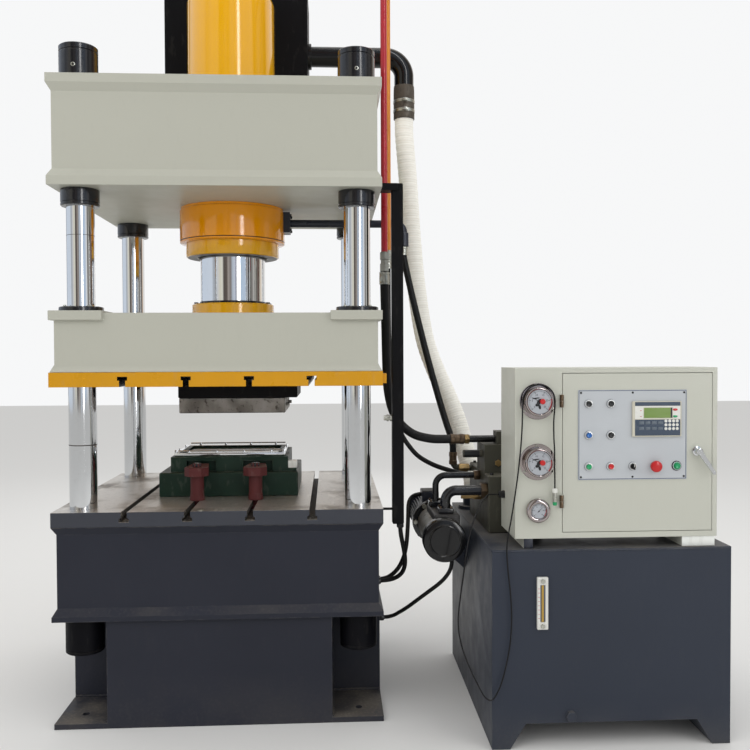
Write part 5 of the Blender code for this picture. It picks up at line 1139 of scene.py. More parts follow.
@dataclass
class Column:
    """One chromed column with its three nuts."""

    corner: str
    side_x: int
    side_y: int
    across: float = 0.51
    back: float = 0.41
    radius: float = 0.05
    end_radius: float = 0.045
    nut: float = 0.0695

    def place(self) -> Point:
        """The column's axis on the floor."""
        return (self.side_x * self.across, self.side_y * self.back, 0.0)

    def build(self) -> None:
        """Build and dress the column and its nuts."""
        low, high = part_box("column_" + self.corner)
        table, under = 0.7403, 1.9697
        top = high[2]
        dress(turned("column_shaft_" + self.corner, ((0.012, low[2] + 0.002), (0.04, low[2] + 0.002),
            (self.end_radius, low[2] + 0.006), (self.end_radius, table), (self.radius - 0.001, table),
            (self.radius, table + 0.001), (self.radius, under - 0.06), (self.end_radius, under - 0.06),
            (self.end_radius, top - 0.003), (self.end_radius - 0.003, top), (0.008, top), (0.003, top - 0.005)),
            self.place(), segments=72), CHROME, nodes=("column_" + self.corner,))
        if self.corner == "front_left":
            marks = [turned(f"column_mark_{index}", (*section((0, 0), (0.3, 0), out=self.radius, up=level + height),
                *section((0.3, 0), (0, 0), out=self.radius, up=level)), self.place(), segments=72, ring=True)
                for index, (level, height) in enumerate(((1.0285, 0.0035), (1.8, 0.0016)))]
            dress(joined("column_marks", marks), DARK_OIL_AND_SHADE)
        self.build_nut("bed_nut", low[2], 0.3967)
        self.build_nut("beam_nut", under - 0.0617, under)
        self.build_top_nut()

    def build_nut(self, name: str, low: float, high: float) -> None:
        """Build a round nut between two heights."""
        bore = self.end_radius + 0.0003 if name == "bed_nut" else self.radius + 0.0002
        outline = (*section((0, 0), out=bore, up=high), *section((-2, 0), (0, -2), out=self.nut, up=high),
            *section((0, 14), (-2.5, 12.5), (-2.5, 10.5), (0, 9), (0, 3), (-3, 0), out=self.nut, up=low),
            *section((0, 0), out=bore, up=low))
        dress(turned(f"{name}_{self.corner}", outline, self.place(), ring=True),
            DULL_NUT if name == "bed_nut" else NUT_BLACK)

    def build_top_nut(self) -> None:
        """Build the nut above the beam, with its groove and set screws."""
        base, lid = heights(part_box("top_nut_" + self.corner))
        bore = self.end_radius + 0.0003
        dress(turned("top_nut_dressed_" + self.corner, (*section((0, -2), (2, 0), out=bore, up=lid),
            *section((-3, 0), (0, -3), (0, -19), (-3, -21), (-3, -25), (0, -27), out=self.nut, up=lid),
            *section((0, 3), (-3, 0), out=self.nut, up=base), *section((0, 0), out=bore, up=base)), self.place(),
            segments=72, ring=True), NUT_BLACK, nodes=("top_nut_" + self.corner,))
        screw = turned("set_screw", section((7.5, -3), (7.5, 0.6), (6.5, 1.2), (4, 1.2), (4, -2)), segments=20)
        x, y, _ = self.place()
        height = base + 0.041
        places = []
        for angle in (-90, 30, 150):
            lean = radians(angle)
            places.append(((x + self.nut * cos(lean), y + self.nut * sin(lean), height), (0, pi / 2, lean)))
        dress(repeated("set_screws_" + self.corner, screw, places), ZINC)


@dataclass
class Beam:
    """The welded top beam."""

    def build(self) -> None:
        """Build and dress the beam."""
        dress(refined("beam_dressed", "top_beam", 0.004, 3), GREY)


@dataclass
class MainCylinder:
    """The yellow main cylinder with its load ring and gland."""

    radius: float = 0.18
    ring: float = 0.218
    gland: float = 0.193
    ram: float = 0.135

    def build(self) -> None:
        """Build and dress the cylinder's fixed pieces."""
        base, top = heights(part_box("main_cylinder"))
        dress(turned("cylinder_dressed", (*section((20, 0), up=top),
            *section((-50, 0), (-38, -3), (-18, -14), (-6, -30), (0, -50), out=self.radius, up=top),
            *section((0, 0), (-30, 0), out=self.radius, up=base), *section((-30, -70), out=self.radius, up=top),
            *section((20, -70), up=top)), segments=128), YELLOW, nodes=("main_cylinder",))
        self.build_ring()
        self.build_gland()

    def build_ring(self) -> None:
        """Build the load ring under the beam."""
        base, top = heights(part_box("load_ring"))
        bore = self.radius + 0.0004
        dress(turned("load_ring_dressed", (*section((0, 0), out=bore, up=top),
            *section((-4, 0), (-4, -10), (0, -12), out=self.ring, up=top),
            *section((0, 12), (-1.6, 10.5), (-1.6, 8.5), (0, 7), (-1, 2), (-5, 0), out=self.ring, up=base),
            *section((0, 0), out=bore, up=base)), segments=128, ring=True), ORANGE_YELLOW, nodes=("load_ring",))
        # Dark band in the groove above the step: painted shade.
        dress(turned("ring_groove_shade", section((-1.7, 11.2), (-0.4, 10.4), (-0.4, 8.2), (-1.7, 7.5), out=self.ring,
            up=base), segments=128, ring=True), DARK_OIL_AND_SHADE)

    def build_gland(self) -> None:
        """Build the gland ring with its wiper and a dark ring on its underside, which is painted shade."""
        base, top = heights(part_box("gland_ring"))
        bore = self.ram + 0.0008
        dress(turned("gland_dressed", ((bore, top), (self.gland, top), (self.gland, base + 0.006),
            (self.gland - 0.002, base + 0.002), (self.gland - 0.006, base), (bore + 0.01, base),
            (bore + 0.008, base + 0.004), (bore, base + 0.004)), segments=128, ring=True), YELLOW,
            nodes=("gland_ring",))
        dress(turned("ram_wiper", section((0, 6), (9, 4), (6, -1), (0, 0), out=bore, up=base), segments=96,
            ring=True), RUBBER)
        # Thin dark brown ring on the underside: painted shade.
        dress(turned("gland_underside_shade", ((bore + 0.0105, base + 0.0006), (self.gland - 0.007, base + 0.0006),
            (self.gland - 0.008, base - 0.0003), (bore + 0.0105, base - 0.0003)), segments=128, ring=True),
            DARK_OIL_AND_SHADE)


@dataclass
class Ram:
    """The chromed ram and the flange that clamps it to the slide."""

    radius: float = 0.135
    flange: float = 0.1705

    def build(self) -> None:
        """Build and dress the moving pieces of the cylinder."""
        base, top = heights(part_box("ram"))
        _, flange_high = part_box("ram_flange")
        collar = flange_high[2]
        dress(turned("ram_dressed", ((0.02, top), (0.14, top), (0.1455, top - 0.005), (0.1455, top - 0.03),
            (0.143, top - 0.032), (0.143, top - 0.046), (0.1455, top - 0.048), (0.1455, top - 0.1),
            (self.radius, top - 0.1), (self.radius, base), (0.02, base)), segments=128), CHROME, Body.SLIDE,
            nodes=("ram",))
        dress(turned("ram_collar", section((0.2, 10.3), (3, 10.3), (4, 9), (4, 0.5), (0.2, 0.5), out=self.radius,
            up=collar), segments=96, ring=True), NUT_BLACK, Body.SLIDE)
        dress(turned("ram_flange_dressed", (*section((0.3, 0), out=self.radius, up=collar),
            *section((-4, 0), (0, -4), out=self.flange, up=collar), *section((0, 12), (-2, 10), (-2, 0.3),
            out=self.flange, up=base), *section((0.3, 0.3), out=self.radius, up=base)), segments=128, ring=True),
            YELLOW, Body.SLIDE, nodes=("ram_flange",))
        screw = socket_screw("flange_screw", 0.009, 0.008)
        dress(repeated("flange_screws", screw, ring_places(12, 0.1535, (0, 0, collar), first=15)), NUT_BLACK,
            Body.SLIDE)


@dataclass
class Slide:
    """The moving slide with its plate and wiper rings."""

    across: float = 0.51
    back: float = 0.41
    pad_top: float = 1.522

    def build(self) -> None:
        """Build and dress the slide's pieces."""
        dress(refined("slide_dressed", "slide_beam", 0.003, 3), GREY, Body.SLIDE)
        dress(refined("slide_plate_dressed", "slide_plate", 0.0016), PLATE_YELLOW, Body.SLIDE)
        rings = []
        for corner, side_x, side_y in CORNERS:
            at = (side_x * self.across, side_y * self.back, 0.0)
            rings.append(turned("wiper_" + corner, section((51.5, 17.5), (73.5, 17.5), (79.5, 14), (80, 0.4),
                (78, 0.4), (78, 16.2), (51.5, 16.2), up=self.pad_top), at, ring=True))
        dress(joined("wiper_rings", rings), NUT_BLACK, Body.SLIDE)
        screw = socket_screw("pad_screw", 0.0055, 0.005)
        places = []
        for _, side_x, side_y in CORNERS:
            places += ring_places(4, 0.0655, (side_x * self.across, side_y * self.back, self.pad_top + 0.0172),
                first=45)
        dress(repeated("wiper_screws", screw, places), ZINC, Body.SLIDE)


@dataclass
class Dies:
    """The upper and lower dies and the clamps that hold the lower one."""

    clamp_y: float = -0.275

    def build(self) -> None:
        """Build and dress the dies."""
        dress(refined("upper_die_plate_dressed", "upper_die_plate", 0.002), BLACK_PAINT, Body.SLIDE)
        dress(refined("upper_die_block_dressed", "upper_die_block", 0.0015), DIE_STEEL, Body.SLIDE)
        dress(refined("lower_die_dressed", "lower_die", 0.0022), DIE_GREEN)
        self.build_rim()
        for name in ("clamp_left", "clamp_right"):
            self.build_clamp(name)

    def build_rim(self) -> None:
        """Build the pale frame on the lower die's rim, its clips and the bright floor inside it."""
        _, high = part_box("lower_die")
        top = high[2]
        outer_x, outer_y, width = 0.2225, 0.1585, 0.012
        bars = []
        for side in (-1, 1):
            y = sorted((side * (outer_y - width), side * outer_y))
            bars.append(slab(f"rim_y_{side}", (-outer_x, y[0], top - 0.008), (outer_x, y[1], top + 0.0015), 0.0012))
            x = sorted((side * (outer_x - width), side * outer_x))
            bars.append(slab(f"rim_x_{side}", (x[0], -outer_y + width, top - 0.008),
                (x[1], outer_y - width, top + 0.0015), 0.0012))
        dress(joined("die_rim", bars), CHROME)
        inner_x, inner_y = outer_x - width, outer_y - width
        edge = [slab(f"rim_band_{name}", low, up, 0.001) for name, low, up in (
            ("front", (-inner_x, -inner_y, top - 0.006), (inner_x, -0.128, top + 0.0004)),
            ("back", (-inner_x, 0.128, top - 0.006), (inner_x, inner_y, top + 0.0004)),
            ("left", (-inner_x, -0.128, top - 0.006), (-0.192, 0.128, top + 0.0004)),
            ("right", (0.192, -0.128, top - 0.006), (inner_x, 0.128, top + 0.0004)))]
        dress(joined("rim_bands", edge), DIE_GREEN)
        dress(slab("cavity_floor", (-0.19, -0.126, top - 0.0125), (0.19, 0.126, top - 0.011), 0.0006, 1), SATIN)
        clip = slab("rim_clip", (-0.0045, -0.003, -0.004), (0.0045, 0.003, 0.011), 0.0012)
        places = [((x, side * (outer_y - 0.006), top + 0.0015), (0, 0, 0)) for x in (-0.165, -0.055, 0.055, 0.165)
            for side in (-1, 1)]
        places += [((side * (outer_x - 0.006), y, top + 0.0015), (0, 0, pi / 2)) for y in (-0.075, 0.075)
            for side in (-1, 1)]
        dress(repeated("rim_clips", clip, places), CHROME)
        posts = [slab(f"rim_post_{side}", (side * 0.2165 - 0.0055, -0.1575, top - 0.006),
            (side * 0.2165 + 0.0055, -0.1445, top + 0.015), 0.0015) for side in (-1, 1)]
        dress(joined("rim_posts", posts), CHROME)
        rods = [turned(f"rim_rod_{index}", section((1, -208), (3, -207), (3, 207), (1, 208)),
            (0, side * (outer_y - 0.006), top + 0.0105), Axis.RIGHT, 16) for index, side in enumerate((-1, 1))]
        dress(joined("rim_rods", rods), CHROME)
        dress(slab("die_key", (0.2345, -0.1705, 0.902), (0.2705, -0.1295, 0.9315), 0.002), WHITE_RIM)

    def build_clamp(self, name: str) -> None:
        """Dress a clamp's casting and give it its nut.

        Args:
            name: The CAD node of the clamp.
        """
        low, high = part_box(name)
        dress(refined(name + "_dressed", name, 0.0022), CLAMP_RED)
        x = (low[0] + high[0]) / 2
        dress(turned(name + "_nut", section((9.6, 0.2), (15, 0.2), (17.2, -2), (17.2, -13.5), (9.6, -13.5),
            up=high[2]), (x, self.clamp_y, 0), segments=6, ring=True), NUT_BLACK)
        dress(turned(name + "_stud", section((1, 0.6), (7.5, 0.6), (9.4, -1), (9.4, -10), up=high[2]),
            (x, self.clamp_y, 0), segments=24), STEEL)


@dataclass
class PrefillTank:
    """The black tank behind the cylinder, with its suction elbow."""

    def build(self) -> None:
        """Build and dress the tank and the elbow."""
        dress(refined("prefill_dressed", "prefill_tank", 0.003), BLACK_PAINT)
        self.build_elbow()

    def build_elbow(self) -> None:
        """Build the suction elbow with its flange, sleeve and clamp bands."""
        x, y, side, height, end = 0.748, 0.25, 0.3143, 2.704, 2.4263
        course = bent_course(((side, y, height), (x, y, height), (x, y, end + 0.002)), 0.085, 20)
        dress(tube("suction_elbow_dressed", course, 0.044, facets=14), GLOSS_BLACK, nodes=("suction_elbow",))
        dress(turned("elbow_flange", section((44.2, 16), (54, 16), (56, 14), (56, 0), (44.2, 0), up=side),
            (0, y, height), Axis.RIGHT, 64, ring=True), GLOSS_BLACK)
        dress(turned("elbow_sleeve", section((44.2, 150), (45, 150), (46.2, 146), (47.2, 120), (47.2, 2), (44.2, 2),
            up=end), (x, y, 0), segments=64, ring=True), CAST_GREY)
        bands = []
        for index, low in enumerate((0.03, 0.072)):
            bands.append(turned(f"elbow_band_{index}", section((47.2, 14), (48.4, 14), (49, 12), (49, 2), (48.4, 0),
                (47.2, 0), up=end + low), (x, y, 0), ring=True))
            bands.append(slab(f"band_screw_{index}", (x - 0.012, y - 0.06, end + low + 0.001),
                (x + 0.012, y - 0.046, end + low + 0.013), 0.002))
        dress(joined("elbow_bands", bands), ZINC)


@dataclass
class Pipes:
    """The steel pipes between the cylinder and the hoses."""

    valve_radius: float = 0.0953
    block_face: float = 0.242

    def build(self) -> None:
        """Build and dress the red, orange and rod-side pipes with their fittings."""
        self.riser("pressure_pipe", (0.6205, -0.3), 0.0125, 1.6813, 2.905, RED_PAINT, 0.019, 0.078)
        self.riser("pilot_pipe", (0.65, -0.1), 0.011, 1.7513, 2.93, ORANGE_PAINT, 0.015, 0.04)
        self.build_rod_side()

    def riser(self, name: str, foot: tuple[float, float], radius: float, low: float, high: float, finish: Finish,
            nut: float, length: float) -> None:
        """Build a pipe that rises beside the beam and runs in to the prefill valve.

        Args:
            name: The CAD node that it stands for.
            foot: Its place on plan.
            radius: Its radius.
            low: Height of its lower end.
            high: Height of its upper run.
            finish: Its paint.
            nut: Radius of its fitting.
            length: Length of its fitting.
        """
        share = self.valve_radius / hypot(*foot)
        end = (foot[0] * share, foot[1] * share, high)
        course = bent_course(((*foot, low + 0.004), (*foot, high), end), 0.06, 14)
        dress(tube(name + "_dressed", course, radius, facets=10), finish, nodes=(name,))
        at = (*foot, 0)
        outline = ((radius + 0.0002, low + length), (nut * 0.86, low + length), (nut, low + length - 0.003),
            (nut, low + length * 0.62), (nut * 0.84, low + length * 0.6), (nut * 0.84, low + length * 0.42),
            (nut, low + length * 0.4), (nut, low + 0.003), (nut * 0.86, low), (radius + 0.0002, low))
        dress(turned(name + "_fitting", outline, at, segments=6, ring=True), ZINC)

    def build_rod_side(self) -> None:
        """Build the rod-side pipe with its flange block on the load ring."""
        x, height, low = 0.722, 1.915, 1.8183
        dress(refined("rod_side_block", "rod_side_pipe", 0.0012), BLUE_BLACK)
        screw = socket_screw("rod_block_screw", 0.006, 0.007)
        places = [((self.block_face, y, height + z), (0, pi / 2, 0)) for y in (-0.028, 0.028) for z in (-0.03, 0.03)]
        dress(repeated("rod_block_screws", screw, places), NUT_BLACK)
        course = bent_course(((0.244, 0, height), (x, 0, height), (x, 0, low + 0.055)), 0.035, 14)
        dress(tube("rod_side_run", course, 0.0162, facets=10), BLUE_BLACK)


@dataclass
class SwitchPost:
    """The post with the slide's limit switches."""

    x: float = 0.6615
    y: float = -0.41
    half: float = 0.0215

    def build(self) -> None:
        """Build and dress the post and its sensor."""
        dress(refined("switch_post_dressed", "switch_post", 0.002), BLACK_PAINT)
        sensor = turned("switch_sensor", section((4, 31), (9.5, 31), (9.5, 20), (13, 20), (13, 13), (9.5, 13),
            (9.5, 8), (13, 8), (13, 1), up=self.half), (self.x, self.y, 1.12), Axis.RIGHT, 32)
        pick(sensor)
        bpy.ops.object.mode_set(mode="EDIT")
        bpy.ops.mesh.select_all(action="SELECT")
        bpy.ops.transform.rotate(value=pi, orient_axis="Z", center_override=(self.x, self.y, 1.12))
        bpy.ops.object.mode_set(mode="OBJECT")
        dress(sensor, ZINC)


@dataclass
class OilTank:
    """The oil tank with its level gauge and welds."""

    left: float = 0.956
    right: float = 1.794
    front: float = -0.745
    back: float = 0.185
    top: float = 0.69

    def build(self) -> None:
        """Build and dress the tank's pieces."""
        dress(refined("oil_tank_dressed", "oil_tank", 0.0025), TANK_PAINT)
        self.build_level()
        self.build_welds()

    def build_level(self) -> None:
        """Build the level gauge's case, tube and screws."""
        low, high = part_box("level_gauge")
        middle = (low[0] + high[0]) / 2
        face = low[1]
        dress(refined("level_case", "level_gauge", 0.0012), WHITE_PLASTIC)
        dress(slab("level_back", (middle - 0.0085, face + 0.004, low[2] + 0.027),
            (middle + 0.0085, face + 0.0056, high[2] - 0.027), 0.0004), PANEL_LINE)
        dress(turned("level_tube", (*section((3.5, 27), (4.5, 28), up=low[2]),
            *section((4.5, -28), (3.5, -27), up=high[2])), (middle, face + 0.0045, 0), segments=24), OIL_AMBER)
        screw = hex_nut("level_screw", 0.008, 0.006)
        places = [((middle, face, height), (pi / 2, 0, 0)) for height in (low[2] + 0.013, high[2] - 0.013)]
        dress(repeated("level_screws", screw, places), ZINC)
        ticks = slab("level_tick", (-0.003, -0.0003, -0.0006), (0.003, 0.0003, 0.0006), 0.0001, 1)
        places = [((middle - 0.0135, face, low[2] + 0.04 + 0.0145 * index), (0, 0, 0)) for index in range(8)]
        dress(repeated("level_scale", ticks, places), RED_PLASTIC)

    def build_welds(self) -> None:
        """Weld beads along the front, left and right edges of the tank's lid."""
        inset = 0.0015
        seams = [line_course((self.left + 0.004, self.front + inset, self.top - 0.006),
            (self.right - 0.004, self.front + inset, self.top - 0.006), 0.007),
            line_course((self.left + inset, self.front + 0.004, self.top - 0.006),
            (self.left + inset, self.back - 0.004, self.top - 0.006), 0.007),
            line_course((self.right - inset, self.front + 0.004, self.top - 0.006),
            (self.right - inset, self.back - 0.004, self.top - 0.006), 0.007)]
        beads = [welded(f"tank_weld_{index}", course, 0.003) for index, course in enumerate(seams)]
        dress(joined("tank_welds", beads), TANK_PAINT)


@dataclass
class Cabinet:
    """The control cabinet's shell, door and handle."""

    hinge: Point = (1.198, -0.7415, 0.0)
    hinge_heights: tuple[float, float] = (0.853, 1.198)
    foot: tuple[float, float] = (0.6905, 0.7245)

    def build(self) -> None:
        """Build and dress the shell, the door, its handle and hinges, a cable gland, a rail and a pad."""
        dress(refined("cabinet_shell", "control_cabinet", 0.0016), CABINET_GREY)
        dress(refined("door_dressed", "cabinet_door", 0.0016), CABINET_GREY, Body.DOOR)
        dress(refined("handle_dressed", "door_handle", 0.0012), CHROME, Body.HANDLE)
        for index, height in enumerate(self.hinge_heights):
            for side, body in ((-0.022, Body.PRESS), (0.0003, Body.DOOR)):
                low, high = height + side, height + side + 0.0215
                dress(turned(f"hinge_{index}_{body.value}", (*section((6.1, 0), (6.4, 0), (6.8, -0.8), up=high),
                    *section((6.8, 0.8), (6.4, 0), (6.1, 0), up=low)), self.hinge, segments=24, ring=True),
                    BROWN_STEEL, body)
        low, high = self.foot
        dress(slab("cabinet_rail", (1.0695, -0.7315, low), (1.1005, -0.7285, high), 0.0008), BLUE_BLACK)
        dress(turned("side_gland", section((3.2, 1017.4), (10, 1017.4), (12.6, 1019), (12.6, 1029), (14.2, 1029.5),
            (14.2, 1037.9), (12.2, 1037.9), (12.2, 1017.8), (3.2, 1017.8)), (0, -0.56, 0.85), Axis.RIGHT, 12,
            ring=True), BLACK_PLASTIC)
        dress(slab("cabinet_pad", (1.6245, -0.7315, low), (1.7405, -0.7285, high), 0.0008), WHITE_RIM)


@dataclass
class Panel:
    """The operating panel on the door: face plate, bezels, display and its keys."""

    left: float = 1.256
    bottom: float = 0.925
    width: float = 0.381
    height: float = 0.31
    face: float = -0.7373
    column: tuple[float, ...] = tuple(1.2925 + 0.0771 * index for index in range(5))
    rows: tuple[float, float, float] = (0.9715, 1.0795, 1.1875)
    # Width of the dark line of painted shade round the plate.
    edge_shade: float = 0.0022

    def places(self) -> dict[str, tuple[float, float]]:
        """X and Z of each operating element by its body's node name."""
        low, middle, high = self.rows
        column = self.column
        return {"button_raise": (column[0], high), "button_lower": (column[1], high),
            "button_reset": (column[0], middle), "button_light": (column[1], middle),
            "button_motor_on": (column[0], low), "button_motor_off": (column[1], low),
            "mode_selector": (column[2], low), "emergency_stop": (column[3], low), "button_cycle": (column[4], low)}

    def build(self) -> None:
        """Build and dress the panel's pieces."""
        dress(refined("panel_dressed", "panel_plate", 0.0004, 1), PANEL_LIGHT, Body.DOOR)
        self.build_edge_shade()
        self.build_bezels()
        self.build_display()

    def build_edge_shade(self) -> None:
        """Build a thin dark line round the face plate, painted shade along its edge, and the plate's screws."""
        inset = 0.0018
        x0, x1 = self.left + inset, self.left + self.width - inset
        z0, z1 = self.bottom + inset, self.bottom + self.height - inset
        y0, y1 = self.face - 0.0004, self.face + 0.0003
        edge = self.edge_shade
        # Dark line round the plate's edge: painted shade.
        bars = [slab("line_a", (x0, y0, z0), (x1, y1, z0 + edge), 0.0001, 1),
            slab("line_b", (x0, y0, z1 - edge), (x1, y1, z1), 0.0001, 1),
            slab("line_c", (x0, y0, z0 + edge), (x0 + edge, y1, z1 - edge), 0.0001, 1),
            slab("line_d", (x1 - edge, y0, z0 + edge), (x1, y1, z1 - edge), 0.0001, 1)]
        dress(joined("panel_edge_shade", bars), PANEL_LINE, Body.DOOR)
        screw = turned("panel_screw", section((3.8, -0.4), (3.8, 0.6), (2.6, 1.6), (1, 1.9)), segments=20)
        places = [((x, self.face, z), (pi / 2, 0, 0)) for x in (self.left + 0.01, self.left + self.width / 2,
            self.left + self.width - 0.01) for z in (self.bottom + 0.01, self.bottom + self.height - 0.01)]
        dress(repeated("panel_screws", screw, places), NUT_BLACK, Body.DOOR)

    def build_bezels(self) -> None:
        """Build the metal ring round each operating element, a dark ring of painted shadow round each, and the cycle
        button's base.
        """
        rings = []
        front = -self.face
        for name, (x, z) in self.places().items():
            ring = turned("ring_" + name, section((9.8, 5.8), (10.6, 6.6), (12.4, 6.4), (13.6, 4.4), (13.8, 0.2),
                (13, 0.2), (9.8, 4.2), up=front), (x, 0, z), Axis.FRONT, 40, ring=True)
            if name == "button_cycle":
                dress(ring, GREEN_PLASTIC, Body.DOOR)
            else:
                rings.append(ring)
        dress(joined("control_rings", rings), SATIN, Body.DOOR)
        # Thin dark ring round each bezel, shaped as a washer: painted shadow line.
        washer = turned("control_shade_ring", section((13.8, 1.2), (14.6, 1.1), (14.9, 0.2), (13.8, 0.2)), segments=32,
            ring=True)
        places = [((x, self.face, z), (pi / 2, 0, 0)) for x, z in self.places().values()]
        dress(repeated("control_shade_rings", washer, places), NUT_BLACK, Body.DOOR)
        x, z = self.places()["button_cycle"]
        dress(turned("cycle_base", section((15, 2.6), (16.6, 2.2), (17.2, 1.2), (17.2, 0.2), (15, 0.2), up=front),
            (x, 0, z), Axis.FRONT, 48, ring=True), BLACK_PLASTIC, Body.DOOR)

    def build_display(self) -> None:
        """Build the operator display with its screen and keys."""
        low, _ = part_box("operator_display")
        front = low[1]
        dress(refined("display_case", "operator_display", 0.0015), BEIGE_PLASTIC, Body.DOOR)
        plates = (("display_strip", (1.4517, 1.1795), (1.6105, 1.1925), 0.0006, DARK_FACE),
            ("display_body", (1.4517, 1.1345), (1.6105, 1.179), 0.0005, WHITE_PLASTIC),
            ("display_keypad", (1.4517, 1.077), (1.6105, 1.1322), 0.0006, DARK_FACE),
            ("display_frame", (1.48, 1.136), (1.584, 1.1745), 0.001, BEIGE_PLASTIC),
            ("display_screen", (1.4826, 1.1378), (1.576, 1.1728), 0.0015, SCREEN_GREEN),
            ("display_bar", (1.5762, 1.1378), (1.5818, 1.1728), 0.0014, BLACK_PLASTIC))
        for name, (x0, z0), (x1, z1), rise, finish in plates:
            dress(slab(name, (x0, front - rise, z0), (x1, front + 0.001, z1), 0.0003, 1), finish, Body.DOOR)
        white = turned("display_key", section((5.2, -0.4), (5.2, 0.8), (4.4, 1.4), (1, 1.4)), segments=20)
        places = [((x, front - 0.0006, z), (pi / 2, 0, 0)) for x in (1.5596, 1.573, 1.5864, 1.5992)
            for z in (1.127, 1.1138, 1.1006)]
        dress(repeated("display_keys", white, places), WHITE_PLASTIC, Body.DOOR)
        grey = slab("display_pad", (-0.0085, -0.001, -0.005), (0.0085, 0.0004, 0.005), 0.0012)
        places = [((x, front - 0.0006, z), (0, 0, 0)) for x in (1.475, 1.4966, 1.5188, 1.541)
            for z in (1.1213, 1.1018)]
        dress(repeated("display_pads", grey, places), GREY_KEY, Body.DOOR)
        for name, z, finish in (("key_red", 1.1663, RED_PLASTIC), ("key_green", 1.143, GREEN_PLASTIC)):
            dress(drawn(name, [(0.008 * cos(2 * pi * step / 24), 0.0042 * sin(2 * pi * step / 24))
                for step in range(24)], 0.003, (1.5922, front - 0.0008, z), Axis.FRONT, 0.0006), finish, Body.DOOR)
        tick = slab("display_tick", (-0.003, -0.0004, -0.0008), (0.003, 0.0004, 0.0008), 0.0002, 1)
        places = [((1.472, front - 0.0006, z), (0, 0, 0)) for z in (1.163, 1.143)]
        dress(repeated("display_ticks", tick, places), RED_PLASTIC, Body.DOOR)


@dataclass
class Controls:
    """The buttons, the selector and the emergency stop."""

    panel: Panel = field(default_factory=Panel)

    def build(self) -> None:
        """Build and dress each operating element on its own body."""
        finishes = {"button_reset": BLUE_PLASTIC, "button_motor_on": GREEN_PLASTIC, "button_motor_off": RED_PLASTIC,
            "button_cycle": GREEN_PLASTIC}
        front = -self.panel.face
        for name, (x, z) in self.panel.places().items():
            body = name + "_body"
            if name == "emergency_stop":
                outline = section((4, 27), (12, 26.8), (17, 25), (19.5, 21.5), (20, 18), (20, 15.5), (18.5, 13.7),
                    (9.2, 13.7), (9.2, 6.8), (5.8, 6.8), (5.8, -34), up=front)
                finish = RED_PLASTIC
            else:
                outline = section((4, 10.6), (7.2, 11), (8.4, 10.4), (9, 9.2), (9, 4.7), (5.8, 4.7), (5.8, -34),
                    up=front)
                finish = finishes.get(name, BLACK_PLASTIC)
            dress(turned(name + "_cap", outline, (x, 0, z), Axis.FRONT, 48), finish, body, nodes=(name,))
            if name == "mode_selector":
                dress(slab("selector_bar", (x - 0.0034, -front - 0.0215, z - 0.0098),
                    (x + 0.0034, -front - 0.0105, z + 0.0098), 0.0012), BLACK_PLASTIC, body)
                dress(slab("selector_mark", (x - 0.0011, -front - 0.022, z - 0.0005),
                    (x + 0.0011, -front - 0.0212, z + 0.0092), 0.0002, 1), WHITE_PLASTIC, body)


